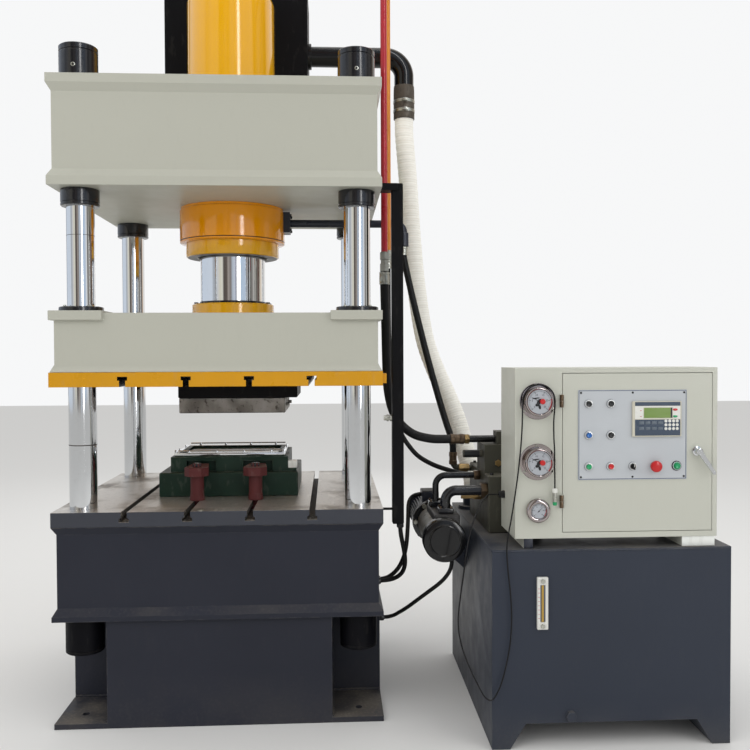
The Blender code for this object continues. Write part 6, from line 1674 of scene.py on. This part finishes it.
@dataclass
class Gauge:
    """One round pressure gauge with its dial."""

    node: str
    x: float
    z: float
    radius: float
    dial: float
    rise: float
    flange: float
    needle: float
    front: float = 0.7353
    back: float = 0.7053

    def build(self) -> None:
        """Build and dress the gauge's case, dial, scale and needle."""
        top = self.front + self.rise
        at = (self.x, 0, self.z)
        lip = self.radius - self.dial
        outline = [(self.dial, top - 0.005), (self.dial + lip * 0.12, top - 0.0012), (self.dial + lip * 0.3, top),
            (self.dial + lip * 0.5, top - 0.0004), (self.dial + lip * 0.74, top - 0.002),
            (self.dial + lip * 0.9, top - 0.0044), (self.radius, top - 0.008), (self.radius, top - 0.011),
            (self.radius - 0.0016, top - 0.0118), (self.radius - 0.0016, top - 0.014), (self.radius, top - 0.0148),
            (self.radius, self.front + 0.003)]
        if self.flange:
            outline += [(self.flange - 0.001, self.front + 0.003), (self.flange, self.front + 0.002),
                (self.flange, self.front)]
        neck = 0.038 if self.flange else 0.024
        outline += [(neck, self.front), (neck, self.back)]
        dress(turned(self.node + "_case", [(0.004, top - 0.0058), (self.dial - 0.0005, top - 0.0058), *outline], at,
            Axis.FRONT, 72), GAUGE_STEEL, nodes=(self.node,))
        face = top - 0.0058
        # The dial's grey is painted shade on a white face.
        dress(turned(self.node + "_dial", (*section((2, 0.8), up=face),
            *section((-1, 0.8), (-1, 0.1), out=self.dial, up=face)), at, Axis.FRONT, 64), SHADED_DIAL)
        self.build_scale(face + 0.0008)
        self.build_needle(face + 0.0016)
        if self.flange:
            screw = turned("gauge_screw", section((4.2, -0.4), (4.2, 1), (2.8, 2.2), (1, 2.4)), segments=20)
            places = ring_places(3, (self.radius + self.flange) / 2, (self.x, -0.7383, self.z), Axis.FRONT, 95)
            dress(repeated(self.node + "_screws", screw, places), ZINC)

    def build_scale(self, face: float) -> None:
        """Build the dial's marks, its red stretch and its numbers.

        Args:
            face: Distance of the dial's face in front of the cabinet frame's origin.
        """
        tick = slab("tick", (-0.00035, -0.00012, self.dial * 0.8), (0.00035, 0.00012, self.dial * 0.92), 0.00005, 1)
        places = [((self.x, -face, self.z), (0, radians(-135 + 270 * step / 50), 0)) for step in range(51)]
        fine = repeated(self.node + "_ticks", tick, places)
        bar = slab("bar", (-0.0008, -0.00014, self.dial * 0.74), (0.0008, 0.00014, self.dial * 0.92), 0.00005, 1)
        places = [((self.x, -face, self.z), (0, radians(-135 + 270 * step / 5), 0)) for step in range(6)]
        bold = repeated(self.node + "_bars", bar, places)
        dress(joined(self.node + "_scale", [fine, bold]), BLACK_PLASTIC)
        size = self.dial * 0.22
        words = []
        for step in range(6):
            lean = radians(-135 + 270 * step / 5)
            reach = self.dial * 0.6
            bpy.ops.object.select_all(action="DESELECT")
            bpy.ops.object.text_add(location=(0, 0, 0))
            word = bpy.context.object
            word.data.body = str(step * 5)
            word.data.size = size
            word.data.align_x = "CENTER"
            word.data.align_y = "CENTER"
            word.data.extrude = 0.0001
            pick(word)
            bpy.ops.object.convert(target="MESH")
            words.append(settle(bpy.context.object, (self.x + reach * sin(lean), -face - 0.0001,
                self.z + reach * cos(lean)), (pi / 2, 0, 0)))
        dress(joined(self.node + "_numbers", words), BLACK_PLASTIC)
        red = []
        for step in range(14):
            lean = radians(78 + step * 4.0)
            red.append(((self.x, -face, self.z), (0, lean, 0)))
        arc = slab("red_arc", (-self.dial * 0.036, -0.0001, self.dial * 0.93),
            (self.dial * 0.036, 0.0001, self.dial * 0.975), 0.00004, 1)
        dress(repeated(self.node + "_limit", arc, red), RED_PLASTIC)

    def build_needle(self, face: float) -> None:
        """Build the needle and its hub.

        Args:
            face: Distance of the needle's middle in front of the cabinet frame's origin.
        """
        lean = radians(self.needle)
        long, half = self.dial * 0.78, self.dial * 0.03
        shape = ((-half, -self.dial * 0.22), (half, -self.dial * 0.22), (half * 0.3, long), (-half * 0.3, long))
        outline = [(x * cos(lean) + z * sin(lean), -x * sin(lean) + z * cos(lean)) for x, z in shape]
        needle = drawn(self.node + "_needle", outline, 0.0006, (self.x, -face, self.z), Axis.FRONT, 0.0001)
        hub = turned(self.node + "_hub", ((0.0008, face + 0.002), (self.dial * 0.075, face + 0.0018),
            (self.dial * 0.085, face - 0.0008)), (self.x, 0, self.z), Axis.FRONT, 32)
        dress(joined(self.node + "_pointer", [needle, hub]), BLACK_PLASTIC)
        if self.flange:
            dress(turned(self.node + "_knob", section((4, 9), (8.5, 8.6), (9.3, 7), (9.3, 1.2), up=face),
                (self.x + 0.009, 0, self.z + 0.001), Axis.FRONT, 32), RED_PLASTIC)
            self.build_dark_lumps(face)

    def build_dark_lumps(self, face: float) -> None:
        """Build dark lumps drawn on the dial.

        Args:
            face: Distance of the lumps in front of the cabinet frame's origin.
        """
        parts = []
        for index, (across, up, half, tall, lean) in enumerate(((-0.008, -0.01, 0.0075, 0.0055, 0.5),
                (0.0, -0.018, 0.0042, 0.008, 0.2), (-0.013, 0.012, 0.013, 0.0022, 0.15),
                (0.002, 0.006, 0.0075, 0.004, 0.0), (-0.004, -0.003, 0.006, 0.007, 0.3))):
            outline = [(half * cos(2 * pi * step / 12) * cos(lean) - tall * sin(2 * pi * step / 12) * sin(lean),
                half * cos(2 * pi * step / 12) * sin(lean) + tall * sin(2 * pi * step / 12) * cos(lean))
                for step in range(12)]
            parts.append(drawn(f"{self.node}_lump_{index}", outline, 0.0008 + 0.00004 * index,
                (self.x + across, -face + 0.0004, self.z + up), Axis.FRONT, 0.0001))
        dress(joined(self.node + "_dark_lumps", parts), BLACK_PLASTIC)


@dataclass
class PumpSet:
    """The pump, its port pipes and the motor behind it."""

    x: float = 0.822
    z: float = 0.68
    front: float = 0.56
    length: float = 0.385
    manifold: float = 0.9947

    def build(self) -> None:
        """Build and dress the pump, its pipes and the motor."""
        at = (self.x, 0, self.z)
        front, rear = self.front, self.front - self.length
        dress(turned("pump_cover", section((10, -4), (52, -4), (54, -1), (56, 0), (58.5, -1), (60, -5), (70, -6),
            (76, -8), (79.5, -14), (79.5, -56), (76, -60), (30, -60), up=front), at, Axis.FRONT, 96), GLOSS_BLACK,
            nodes=("pump",))
        dress(turned("pump_body", (*section((30, -60.2), (65.5, -60.2), (65.5, -100), (67.5, -102), (67.5, -128),
            (65.5, -130), up=front), *section((65.5, 40), (58, 30), (58, 22.5), (30, 22.5), up=rear)), at,
            Axis.FRONT, 80), PUMP_SILVER)
        dress(turned("pump_flange", section((30, 22.2), (81, 22.2), (83, 20), (83, 1), (81, 0), (30, 0), up=rear),
            at, Axis.FRONT, 80), NUT_BLACK)
        bolt = hex_nut("pump_bolt", 0.01, 0.008)
        dress(repeated("pump_bolts", bolt, ring_places(6, 0.072, (self.x, -(rear + 0.0222), self.z), Axis.FRONT,
            0)), ZINC)
        self.build_ports()
        self.build_gland()
        self.build_motor()

    def build_ports(self) -> None:
        """Build the port block and the two bent pipes with their flanges."""
        dress(slab("pump_ports", (0.79, -0.5, 0.69), (0.885, -0.25, 0.765), 0.006, 3), PUMP_BLACK)
        for name, foot, height, radius in (("discharge", (0.837, -0.45), 0.848, 0.019),
                ("return", (0.819, -0.3), 0.884, 0.0125)):
            course = bent_course(((*foot, 0.766), (*foot, height), (self.manifold, foot[1], height)), 0.04, 16)
            dress(tube(name + "_pipe", course, radius, facets=10), NUT_BLACK)
            dress(slab(name + "_flange", (foot[0] - 0.028, foot[1] - 0.028, 0.7645),
                (foot[0] + 0.028, foot[1] + 0.028, 0.785), 0.004, 3), NUT_BLACK)
            screw = socket_screw(name + "_screw", 0.0048, 0.006)
            places = [((foot[0] + a, foot[1] + b, 0.785), (0, 0, 0)) for a in (-0.02, 0.02) for b in (-0.02, 0.02)]
            dress(repeated(name + "_screws", screw, places), BROWN_STEEL)
            dress(turned(name + "_union", ((radius + 0.0002, 0.9947), (radius * 1.5, 0.9947), (radius * 1.6, 0.992),
                (radius * 1.6, 0.972), (radius * 1.5, 0.97), (radius + 0.0002, 0.97)), (0, foot[1], height),
                Axis.RIGHT, 6, ring=True), BROWN_STEEL)

    def build_gland(self) -> None:
        """Build the cable gland under the pump."""
        dress(turned("pump_gland", section((7.8, 598), (10.5, 598), (12, 600), (12, 608), (14, 608.5), (14, 618),
            (11, 619)), (0.858, -0.47, 0), segments=12), BLACK_PLASTIC)

    def build_motor(self) -> None:
        """Build the motor with cooling ribs, cowl, feet and terminal box."""
        at = (self.x, 0, self.z)
        start = self.front - self.length - 0.0003
        body = turned("motor_body", section((30, 0), (82, 0), (83, -1), (83, -13), (60, -14), (60, -229),
            (74.5, -230), (76, -232), (76, -275), (70, -284), (58, -290), (30, -290), up=start), at, Axis.FRONT, 80)
        rib = slab("motor_rib", (-0.0016, -start + 0.016, 0.058), (0.0016, -start + 0.228, 0.071), 0.0008)
        places = [((self.x, 0, self.z), (0, 2 * pi * index / 36, 0)) for index in range(36)]
        ribs = repeated("motor_ribs", rib, places)
        feet = slab("motor_feet", (self.x - 0.055, -start + 0.05, 0.6042), (self.x + 0.055, -start + 0.19, 0.63),
            0.003)
        dress(joined("motor_dressed", [body, ribs, feet]), BLUE_BLACK, nodes=("drive_motor",))
        dress(slab("motor_terminals", (0.787, -0.115, 0.738), (0.857, -0.025, 0.7905), 0.005, 3), BLUE_BLACK)
        dress(slab("terminal_lid", (0.7885, -0.1135, 0.785), (0.8555, -0.0265, 0.7912), 0.002), BLACK_PAINT)


@dataclass
class Valves:
    """The manifold with its valve, solenoid and hose ends."""

    def build(self) -> None:
        """Build and dress the valve block's pieces."""
        dress(refined("manifold_dressed", "valve_block", 0.0025), VALVE_PAINT)
        screw = socket_screw("manifold_screw", 0.007, 0.008)
        places = [((x, y, 0.905), (0, 0, 0)) for x in (1.012, 1.182) for y in (-0.455, -0.185, -0.085)]
        dress(repeated("manifold_screws", screw, places), NUT_BLACK)
        dress(turned("solenoid_coil", section((6, 926.5), (13.5, 926.5), (15, 928.5), (15, 986), (12, 987),
            (12, 994)), (0, -0.33, 0.972), Axis.RIGHT, 40), BLACK_PLASTIC)
        plug = hex_nut("valve_plug", 0.0135, 0.009)
        dress(settle(plug, (1.047, -0.4, 0.943), (pi / 2, 0, 0)), BRASS)
        dress(turned("stub_sleeve", section((12.7, 1044.5), (13.8, 1044.5), (13.8, 944), (12.7, 944)),
            (0, -0.35, 1.0315), Axis.RIGHT, 40, ring=True), GLOSS_BLACK)
        self.build_unions()

    def build_unions(self) -> None:
        """Build the ferrules and nuts where the hoses and small pipes meet the valves."""
        crimps = []
        for name, at, axis, bore, grip, low, high in (("stub_ferrule", (0, -0.35, 1.0315), Axis.RIGHT, 0.0127, 0.02,
                0.8705, 0.924), ("rod_ferrule", (0.918, -0.1, 0), Axis.UP, 0.0132, 0.017, 0.9, 0.952)):
            crimps.append(turned(name, (*section((0, 0), out=bore, up=high),
                *section((-1, 0), (0, -4), (0, -16), (-1.5, -18), out=grip, up=high),
                *section((-1.5, 18), (0, 16), (0, 2), (-2, 0), out=grip, up=low),
                *section((0, 0), out=bore, up=low)), at, axis, 32, ring=True))
        dress(joined("crimp_sleeves", crimps), BROWN_STEEL)
        nuts = []
        for name, at, bore, across, low, high in (("stub_nut", (0, -0.35, 1.0315), 0.0127, 0.0205, 0.9245, 0.9435),
                ("rod_nut", (0, -0.1, 0.885), 0.0132, 0.0195, 0.94, 0.985),
                ("tap_nut_low", (0, -0.33, 0.802), 0.004, 0.01, 0.962, 0.9945),
                ("tap_nut_high", (0, -0.3, 0.83), 0.004, 0.01, 0.966, 0.9945)):
            nuts.append(turned(name, ((bore, high), (across * 0.9, high), (across, high - 0.003),
                (across, low + 0.003), (across * 0.88, low), (bore, low)), at, Axis.RIGHT, 6, ring=True))
        for name, at, low, high in (("tap_pipe_low", (0, -0.33, 0.802), 0.915, 0.98),
                ("tap_pipe_high", (0, -0.3, 0.83), 0.925, 0.98)):
            nuts.append(turned(name, ((0.002, low), (0.006, low), (0.0065, low + 0.001), (0.0065, high)), at,
                Axis.RIGHT, 20))
        dress(joined("brass_unions", nuts), BRASS)


@dataclass(frozen=True)
class Route:
    """A free cord: its node, radius, finish and the points that it passes."""

    node: str
    radius: float
    finish: Finish
    stiffness: str
    points: tuple[Point, ...]
    spacing: float = 0.012

    def build(self) -> Piece:
        """Returns:
            The cord's tube.
        """
        course = smooth_course(self.points, self.spacing)
        swell = ()
        if self.finish is HOSE_WRAP:
            swell = tuple(1.0 - 0.045 * ((index % 6) / 6) for index in range(len(course)))
        piece = tube(self.node + "_run", course, self.radius, swell, 10)
        dress(piece, self.finish, nodes=(self.node,))
        return piece


ROUTES = (Route("suction_hose", 0.0425, HOSE_WRAP, "stiff", millimetres((748, 250, 2426), (748, 250, 2370),
    (757, 248, 2250), (766, 245, 2130), (783, 240, 1860), (804, 230, 1640), (836, 220, 1435), (880, 200, 1298),
    (934, 172, 1170), (972, 145, 1065), (998, 115, 960), (1020, 78, 865), (1030, 50, 800), (1030, 50, 760.5)),
    0.005), Route("pressure_hose", 0.017, RUBBER, "stiff", millimetres((620.5, -300, 1681), (620.5, -300, 1630),
    (624.5, -300, 1456), (627, -300, 1330), (632, -301, 1225), (649, -307, 1145), (680, -318, 1090),
    (730, -332, 1050), (790, -345, 1034), (840, -350, 1031.5), (870, -350, 1031.5))),
    Route("pilot_hose", 0.0095, RUBBER, "medium", millimetres((650, -100, 1751), (650, -100, 1700),
    (651, -100, 1462), (656, -100, 1300), (664, -100, 1180), (678, -102, 1100), (702, -107, 1030), (732, -120, 981),
    (770, -148, 940), (828, -183, 909), (895, -218, 889), (950, -236, 878), (994.7, -236, 878))),
    Route("rod_side_hose", 0.014, RUBBER, "stiff", millimetres((722, 0, 1818), (722, 0, 1780), (747, 0, 1660),
    (783, 0, 1507), (825, -10, 1336), (866, -30, 1180), (893, -61, 1078), (909.5, -87, 1020), (917.2, -98.5, 984),
    (918, -100, 966), (918, -100, 952.6))), Route("motor_cable", 0.0075, RUBBER, "medium",
    millimetres((858, -470, 597.7), (858, -470, 580), (854.5, -468.5, 560), (845.5, -463.5, 538), (829, -451, 512),
    (806, -428, 483), (776, -392, 448), (743, -351, 409), (711, -311, 371), (687, -281, 345),
    (671.8, -257.9, 328.6), (663.5, -249.7, 320.6), (649, -240.9, 312.2), (631.7, -235.4, 306.8),
    (613, -233.5, 305), (600.3, -233.5, 305)), 0.008), Route("switch_conduit", 0.0085, RUBBER, "medium",
    millimetres((670, -410, 719.7), (670, -410, 707.7), (672.3, -406.8, 681.6), (677.7, -398.1, 652.3),
    (684.3, -385.4, 621.1), (690.1, -369.9, 589.5), (693.2, -353, 558.8), (691.4, -336.1, 530.6),
    (682.8, -320.6, 506.2), (665.4, -307.9, 487), (637.2, -299.2, 474.5), (596.3, -296, 470), (584.3, -296, 470)),
    0.008), Route("motor_conduit", 0.0085, RUBBER, "medium", millimetres((786.7, -70, 772), (780, -70, 772),
    (756, -73.5, 766.5), (738.5, -84, 752), (730, -103, 730), (726.2, -133, 700), (721.5, -167, 664),
    (716, -198, 627), (709, -224, 587), (697, -242, 548), (679, -252, 514), (656, -256.5, 488.5),
    (629, -258, 471.8), (599, -258, 466), (584.3, -258, 466)), 0.008),
    Route("gauge_wire", 0.0025, RUBBER, "limp", millimetres((1171.5, -752, 900.3), (1171.5, -752, 925),
    (1169, -757, 985), (1169, -757, 1030), (1168, -752, 1075), (1167.5, -752, 1130), (1170.5, -755, 1185),
    (1166, -756, 1222), (1146, -756, 1246), (1116, -756, 1255), (1086, -756, 1246), (1066, -755, 1222),
    (1060.5, -753, 1185), (1059, -750, 1110), (1055, -747, 1040), (1047, -745, 960), (1035, -744, 870),
    (1022, -746, 793), (1010, -752, 735), (1005, -757, 690), (1009, -758, 620), (1017, -758, 545),
    (1021, -758, 470), (1018, -758, 390), (1006, -759, 315), (988, -761, 245), (968, -764, 200), (948, -766, 181),
    (925, -766, 197), (899, -765, 245), (870, -765, 308), (846, -765, 380), (837, -763, 452), (845, -758, 532),
    (858, -748, 610), (872, -735, 694), (895, -710, 772), (930, -660, 828), (970, -585, 850), (995, -560, 850),
    (1017.5, -560, 850)), 0.008),)


@dataclass
class Cords:
    """The free hoses and cables, with the fittings at their ends."""

    routes: tuple[Route, ...] = ROUTES

    def build(self) -> None:
        """Build the cords and their fittings."""
        for route in self.routes:
            route.build()
        self.build_plug()
        self.build_fittings()

    def build_plug(self) -> None:
        """Build the plug that hangs on the gauge wire."""
        x, y, top = 1.1715, -0.752, 0.9
        dress(turned("wire_plug_cap", section((2.8, 0), (7, 0), (9, -3), (9, -14), (7.2, -14.5), up=top), (x, y, 0),
            segments=32), WHITE_PLASTIC, nodes=("wire_plug",))
        dress(turned("wire_plug_body", section((7, -14.3), (7.4, -16), (7.4, -44), (6.8, -46), (5, -46), up=top),
            (x, y, 0), segments=32), ZINC)
        dress(turned("wire_plug_end", section((6.6, -46.1), (7, -48), (7, -56), (6, -58), up=top), (x, y, 0),
            segments=32), GREEN_PLASTIC)

    def build_fittings(self) -> None:
        """Build the crimped ferrules and glands at the hoses' ends."""
        ferrules = []
        for name, radius, at, axis, low, high in (("pressure_top", 0.0172, (0.6205, -0.3, 0), Axis.UP, 1.632, 1.68),
                ("pilot_top", 0.0097, (0.65, -0.1, 0), Axis.UP, 1.715, 1.7505),
                ("pilot_low", 0.0097, (0, -0.236, 0.878), Axis.RIGHT, 0.957, 0.9945),
                ("rod_top", 0.0142, (0.722, 0.0, 0), Axis.UP, 1.782, 1.8175)):
            grip = radius + 0.0028
            ferrules.append(turned("ferrule_" + name, ((radius, high), (grip, high), (grip, high - 0.008),
                (grip - 0.0012, high - 0.01), (grip, high - 0.012), (grip, low + 0.01),
                (grip - 0.0012, low + 0.008), (grip, low + 0.006), (grip, low + 0.001), (radius, low)), at, axis,
                32, ring=True))
        dress(joined("hose_ferrules", ferrules), ZINC)
        glands = []
        for name, at, axis, low, high, radius in (("bed_cable", (0, -0.2335, 0.305), Axis.RIGHT, 0.6003, 0.618,
                0.0078), ("bed_switch", (0, -0.296, 0.47), Axis.RIGHT, 0.5843, 0.602, 0.0088),
                ("bed_motor", (0, -0.258, 0.466), Axis.RIGHT, 0.5843, 0.602, 0.0088),
                ("post_foot", (0.67, -0.41, 0), Axis.UP, 0.704, 0.7197, 0.0088)):
            glands.append(turned("gland_" + name, (*section((0, 0), (3.5, 0), (5, -4), out=radius, up=high),
                *section((5, 4), (4, 0), (0, 0), out=radius, up=low)), at, axis, 10, ring=True))
        dress(joined("cable_glands", glands), BLACK_PLASTIC)


@dataclass
class Studio:
    """The floor, the lights, the world and the camera."""

    camera_at: Point = (0.41062, -3.538592, 1.355409)
    yaw: float = 0.052945
    pitch: float = -0.023291
    roll: float = -0.003902
    lens: float = 39.84
    level: float = 0.76
    strip: float = 9.0
    bands: tuple[tuple[float, Point], ...] = ((-180, (1.0, 1.0, 1.0)), (-152, (0.9, 0.92, 0.95)),
        (-149, (0.1, 0.08, 0.11)), (-142, (0.12, 0.1, 0.14)), (-138, (0.75, 0.83, 0.95)), (-80, (0.8, 0.87, 0.97)),
        (-70, (0.45, 0.47, 0.5)), (-56, (0.8, 0.8, 0.8)), (-46, (0.85, 0.8, 0.66)), (-38, (0.95, 0.92, 0.8)),
        (-33, (0.12, 0.1, 0.09)), (-21, (0.16, 0.13, 0.11)), (-17, (0.48, 0.42, 0.38)), (-8, (0.26, 0.23, 0.21)),
        (-2, (0.6, 0.66, 0.74)), (7, (0.72, 0.78, 0.88)), (9, (0.12, 0.12, 0.22)), (12, (1.0, 1.0, 1.0)),
        (24, (1.0, 1.0, 1.0)), (27, (0.6, 0.73, 0.9)), (48, (0.66, 0.76, 0.9)), (53, (1.0, 1.0, 1.0)),
        (59, (0.95, 0.95, 0.95)), (63, (0.16, 0.15, 0.14)), (71, (0.3, 0.28, 0.26)), (78, (0.62, 0.6, 0.56)),
        (92, (0.34, 0.32, 0.28)), (100, (0.1, 0.05, 0.04)), (106, (0.16, 0.07, 0.05)), (111, (0.95, 0.78, 0.6)),
        (126, (1.0, 0.96, 0.92)), (180, (1.0, 1.0, 1.0)))

    def build(self) -> None:
        """Build the stage and set the camera."""
        self.build_camera()
        self.build_floor()
        self.build_world()
        for name, at, size, power in (("key", (-2.6, -4.2, 4.4), 3.6, 70.0), ("fill", (4.4, -3.4, 3.2), 3.6, 45.0),
                ("over", (0.6, 0.6, 5.6), 4.6, 60.0), ("rear", (0.6, 5.0, 3.4), 4.0, 30.0)):
            self.build_lamp(name, at, size, power)
        scene = bpy.context.scene
        scene.view_settings.view_transform = "Standard"

    def build_camera(self) -> None:
        """Set the camera at the photograph's place and angle."""
        forward = Vector((sin(self.yaw) * cos(self.pitch), cos(self.yaw) * cos(self.pitch), sin(self.pitch)))
        level = Vector((cos(self.yaw), -sin(self.yaw), 0))
        upright = level.cross(forward)
        right = cos(self.roll) * level + sin(self.roll) * upright
        up = -sin(self.roll) * level + cos(self.roll) * upright
        data = bpy.data.cameras.new("photo_camera")
        data.lens = self.lens
        data.sensor_width = 36.0
        data.clip_end = 60.0
        camera = bpy.data.objects.new("photo_camera", data)
        bpy.context.scene.collection.objects.link(camera)
        turn = Matrix((right, up, -forward)).transposed().to_4x4()
        camera.matrix_world = Matrix.Translation(self.camera_at) @ turn
        bpy.context.scene.camera = camera

    def build_floor(self) -> None:
        """Lay a plain pale floor."""
        clear_selection()
        bpy.ops.mesh.primitive_plane_add(size=40, location=(0, 0, -0.0005))
        floor = bpy.context.object
        floor.name = "floor"
        made, tree, shader = start_material("floor_pale")
        place = tree.place()
        cloud = tree.times(tree.noise(place, 1.2, 4), 0.06)
        tree.link(tree.mix(cloud, (0.8, 0.795, 0.78, 1), (0.7, 0.69, 0.67, 1)), shader.inputs["Base Color"])
        fill(shader, Roughness=0.7, Specular_IOR_Level=0.0)
        floor.data.materials.append(made)

    def build_world(self) -> None:
        """Light the scene evenly, with a pale background behind it."""
        world = bpy.data.worlds.new("studio_world")
        bpy.context.scene.world = world
        world.use_nodes = True
        tree = Tree(world.node_tree)
        lamp = world.node_tree.nodes["Background"]
        rays = tree.add("LightPath")
        spot = tree.parts(tree.add("TexCoord").outputs["Generated"])
        turn = tree.maths("ARCTAN2", spot["X"], tree.times(spot["Y"], -1.0))
        share = tree.plus(tree.maths("DIVIDE", turn, 2 * pi), 0.482)
        strip = tree.times(tree.ramp(share, 0.541, 0.552), tree.ramp(share, 0.571, 0.56))
        hall = tree.add("ValToRGB")
        tree.link(share, hall.inputs["Fac"])
        stops = hall.color_ramp.elements
        stops[0].color = (*self.bands[0][1], 1)
        stops[1].color = (*self.bands[-1][1], 1)
        for angle, colour in self.bands[1:-1]:
            stops.new(angle / 360 + 0.5).color = (*colour, 1)
        glossy = tree.maths("MAXIMUM", rays.outputs["Is Glossy Ray"], rays.outputs["Is Transmission Ray"])
        seen = tree.maths("MAXIMUM", rays.outputs["Is Camera Ray"], glossy)
        plain = tree.mix(rays.outputs["Is Camera Ray"], (1.0, 1.0, 1.0, 1), (0.93, 0.935, 0.94, 1))
        tree.link(tree.mix(glossy, plain, hall.outputs["Color"]), lamp.inputs["Color"])
        strength = tree.plus(tree.times(seen, 1.0 - self.level), self.level)
        shine = tree.times(tree.times(strip, glossy), self.strip)
        strength = tree.plus(strength, shine)
        tree.link(strength, lamp.inputs["Strength"])

    def build_lamp(self, name: str, at: Point, size: float, power: float) -> None:
        """Hang a soft square lamp that looks at the press.

        Args:
            name: The lamp's name.
            at: Its place.
            size: Its side.
            power: Its power in watts.
        """
        data = bpy.data.lights.new(name, "AREA")
        data.size = size
        data.energy = power
        lamp = bpy.data.objects.new(name, data)
        lamp.location = at
        lamp.visible_glossy = False
        lamp.rotation_mode = "QUATERNION"
        lamp.rotation_quaternion = (Vector((0.6, -0.1, 1.2)) - Vector(at)).to_track_quat("-Z", "Y")
        bpy.context.scene.collection.objects.link(lamp)


def main() -> None:
    """Build every sub-assembly."""
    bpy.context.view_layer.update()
    Studio().build()
    Cords().build()
    Bed().build()
    for corner, side_x, side_y in CORNERS:
        Column(corner, side_x, side_y).build()
    Beam().build()
    MainCylinder().build()
    Ram().build()
    Slide().build()
    Dies().build()
    PrefillTank().build()
    Pipes().build()
    SwitchPost().build()
    OilTank().build()
    Cabinet().build()
    Panel().build()
    Controls().build()
    Gauge("gauge_main", 1.116, 1.197, 0.05, 0.042, 0.034, 0.0625, -60).build()
    Gauge("gauge_return", 1.116, 0.989, 0.05, 0.042, 0.034, 0.0625, -60).build()
    Gauge("gauge_pilot", 1.116, 0.823, 0.041, 0.026, 0.024, 0.0, 45).build()
    PumpSet().build()
    Valves().build()


if __name__ == "__main__":
    logging.basicConfig(level=logging.INFO, format="%(name)s %(message)s")
    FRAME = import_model()
    FRAME_NODES = FRAME["nodes"]
    main()
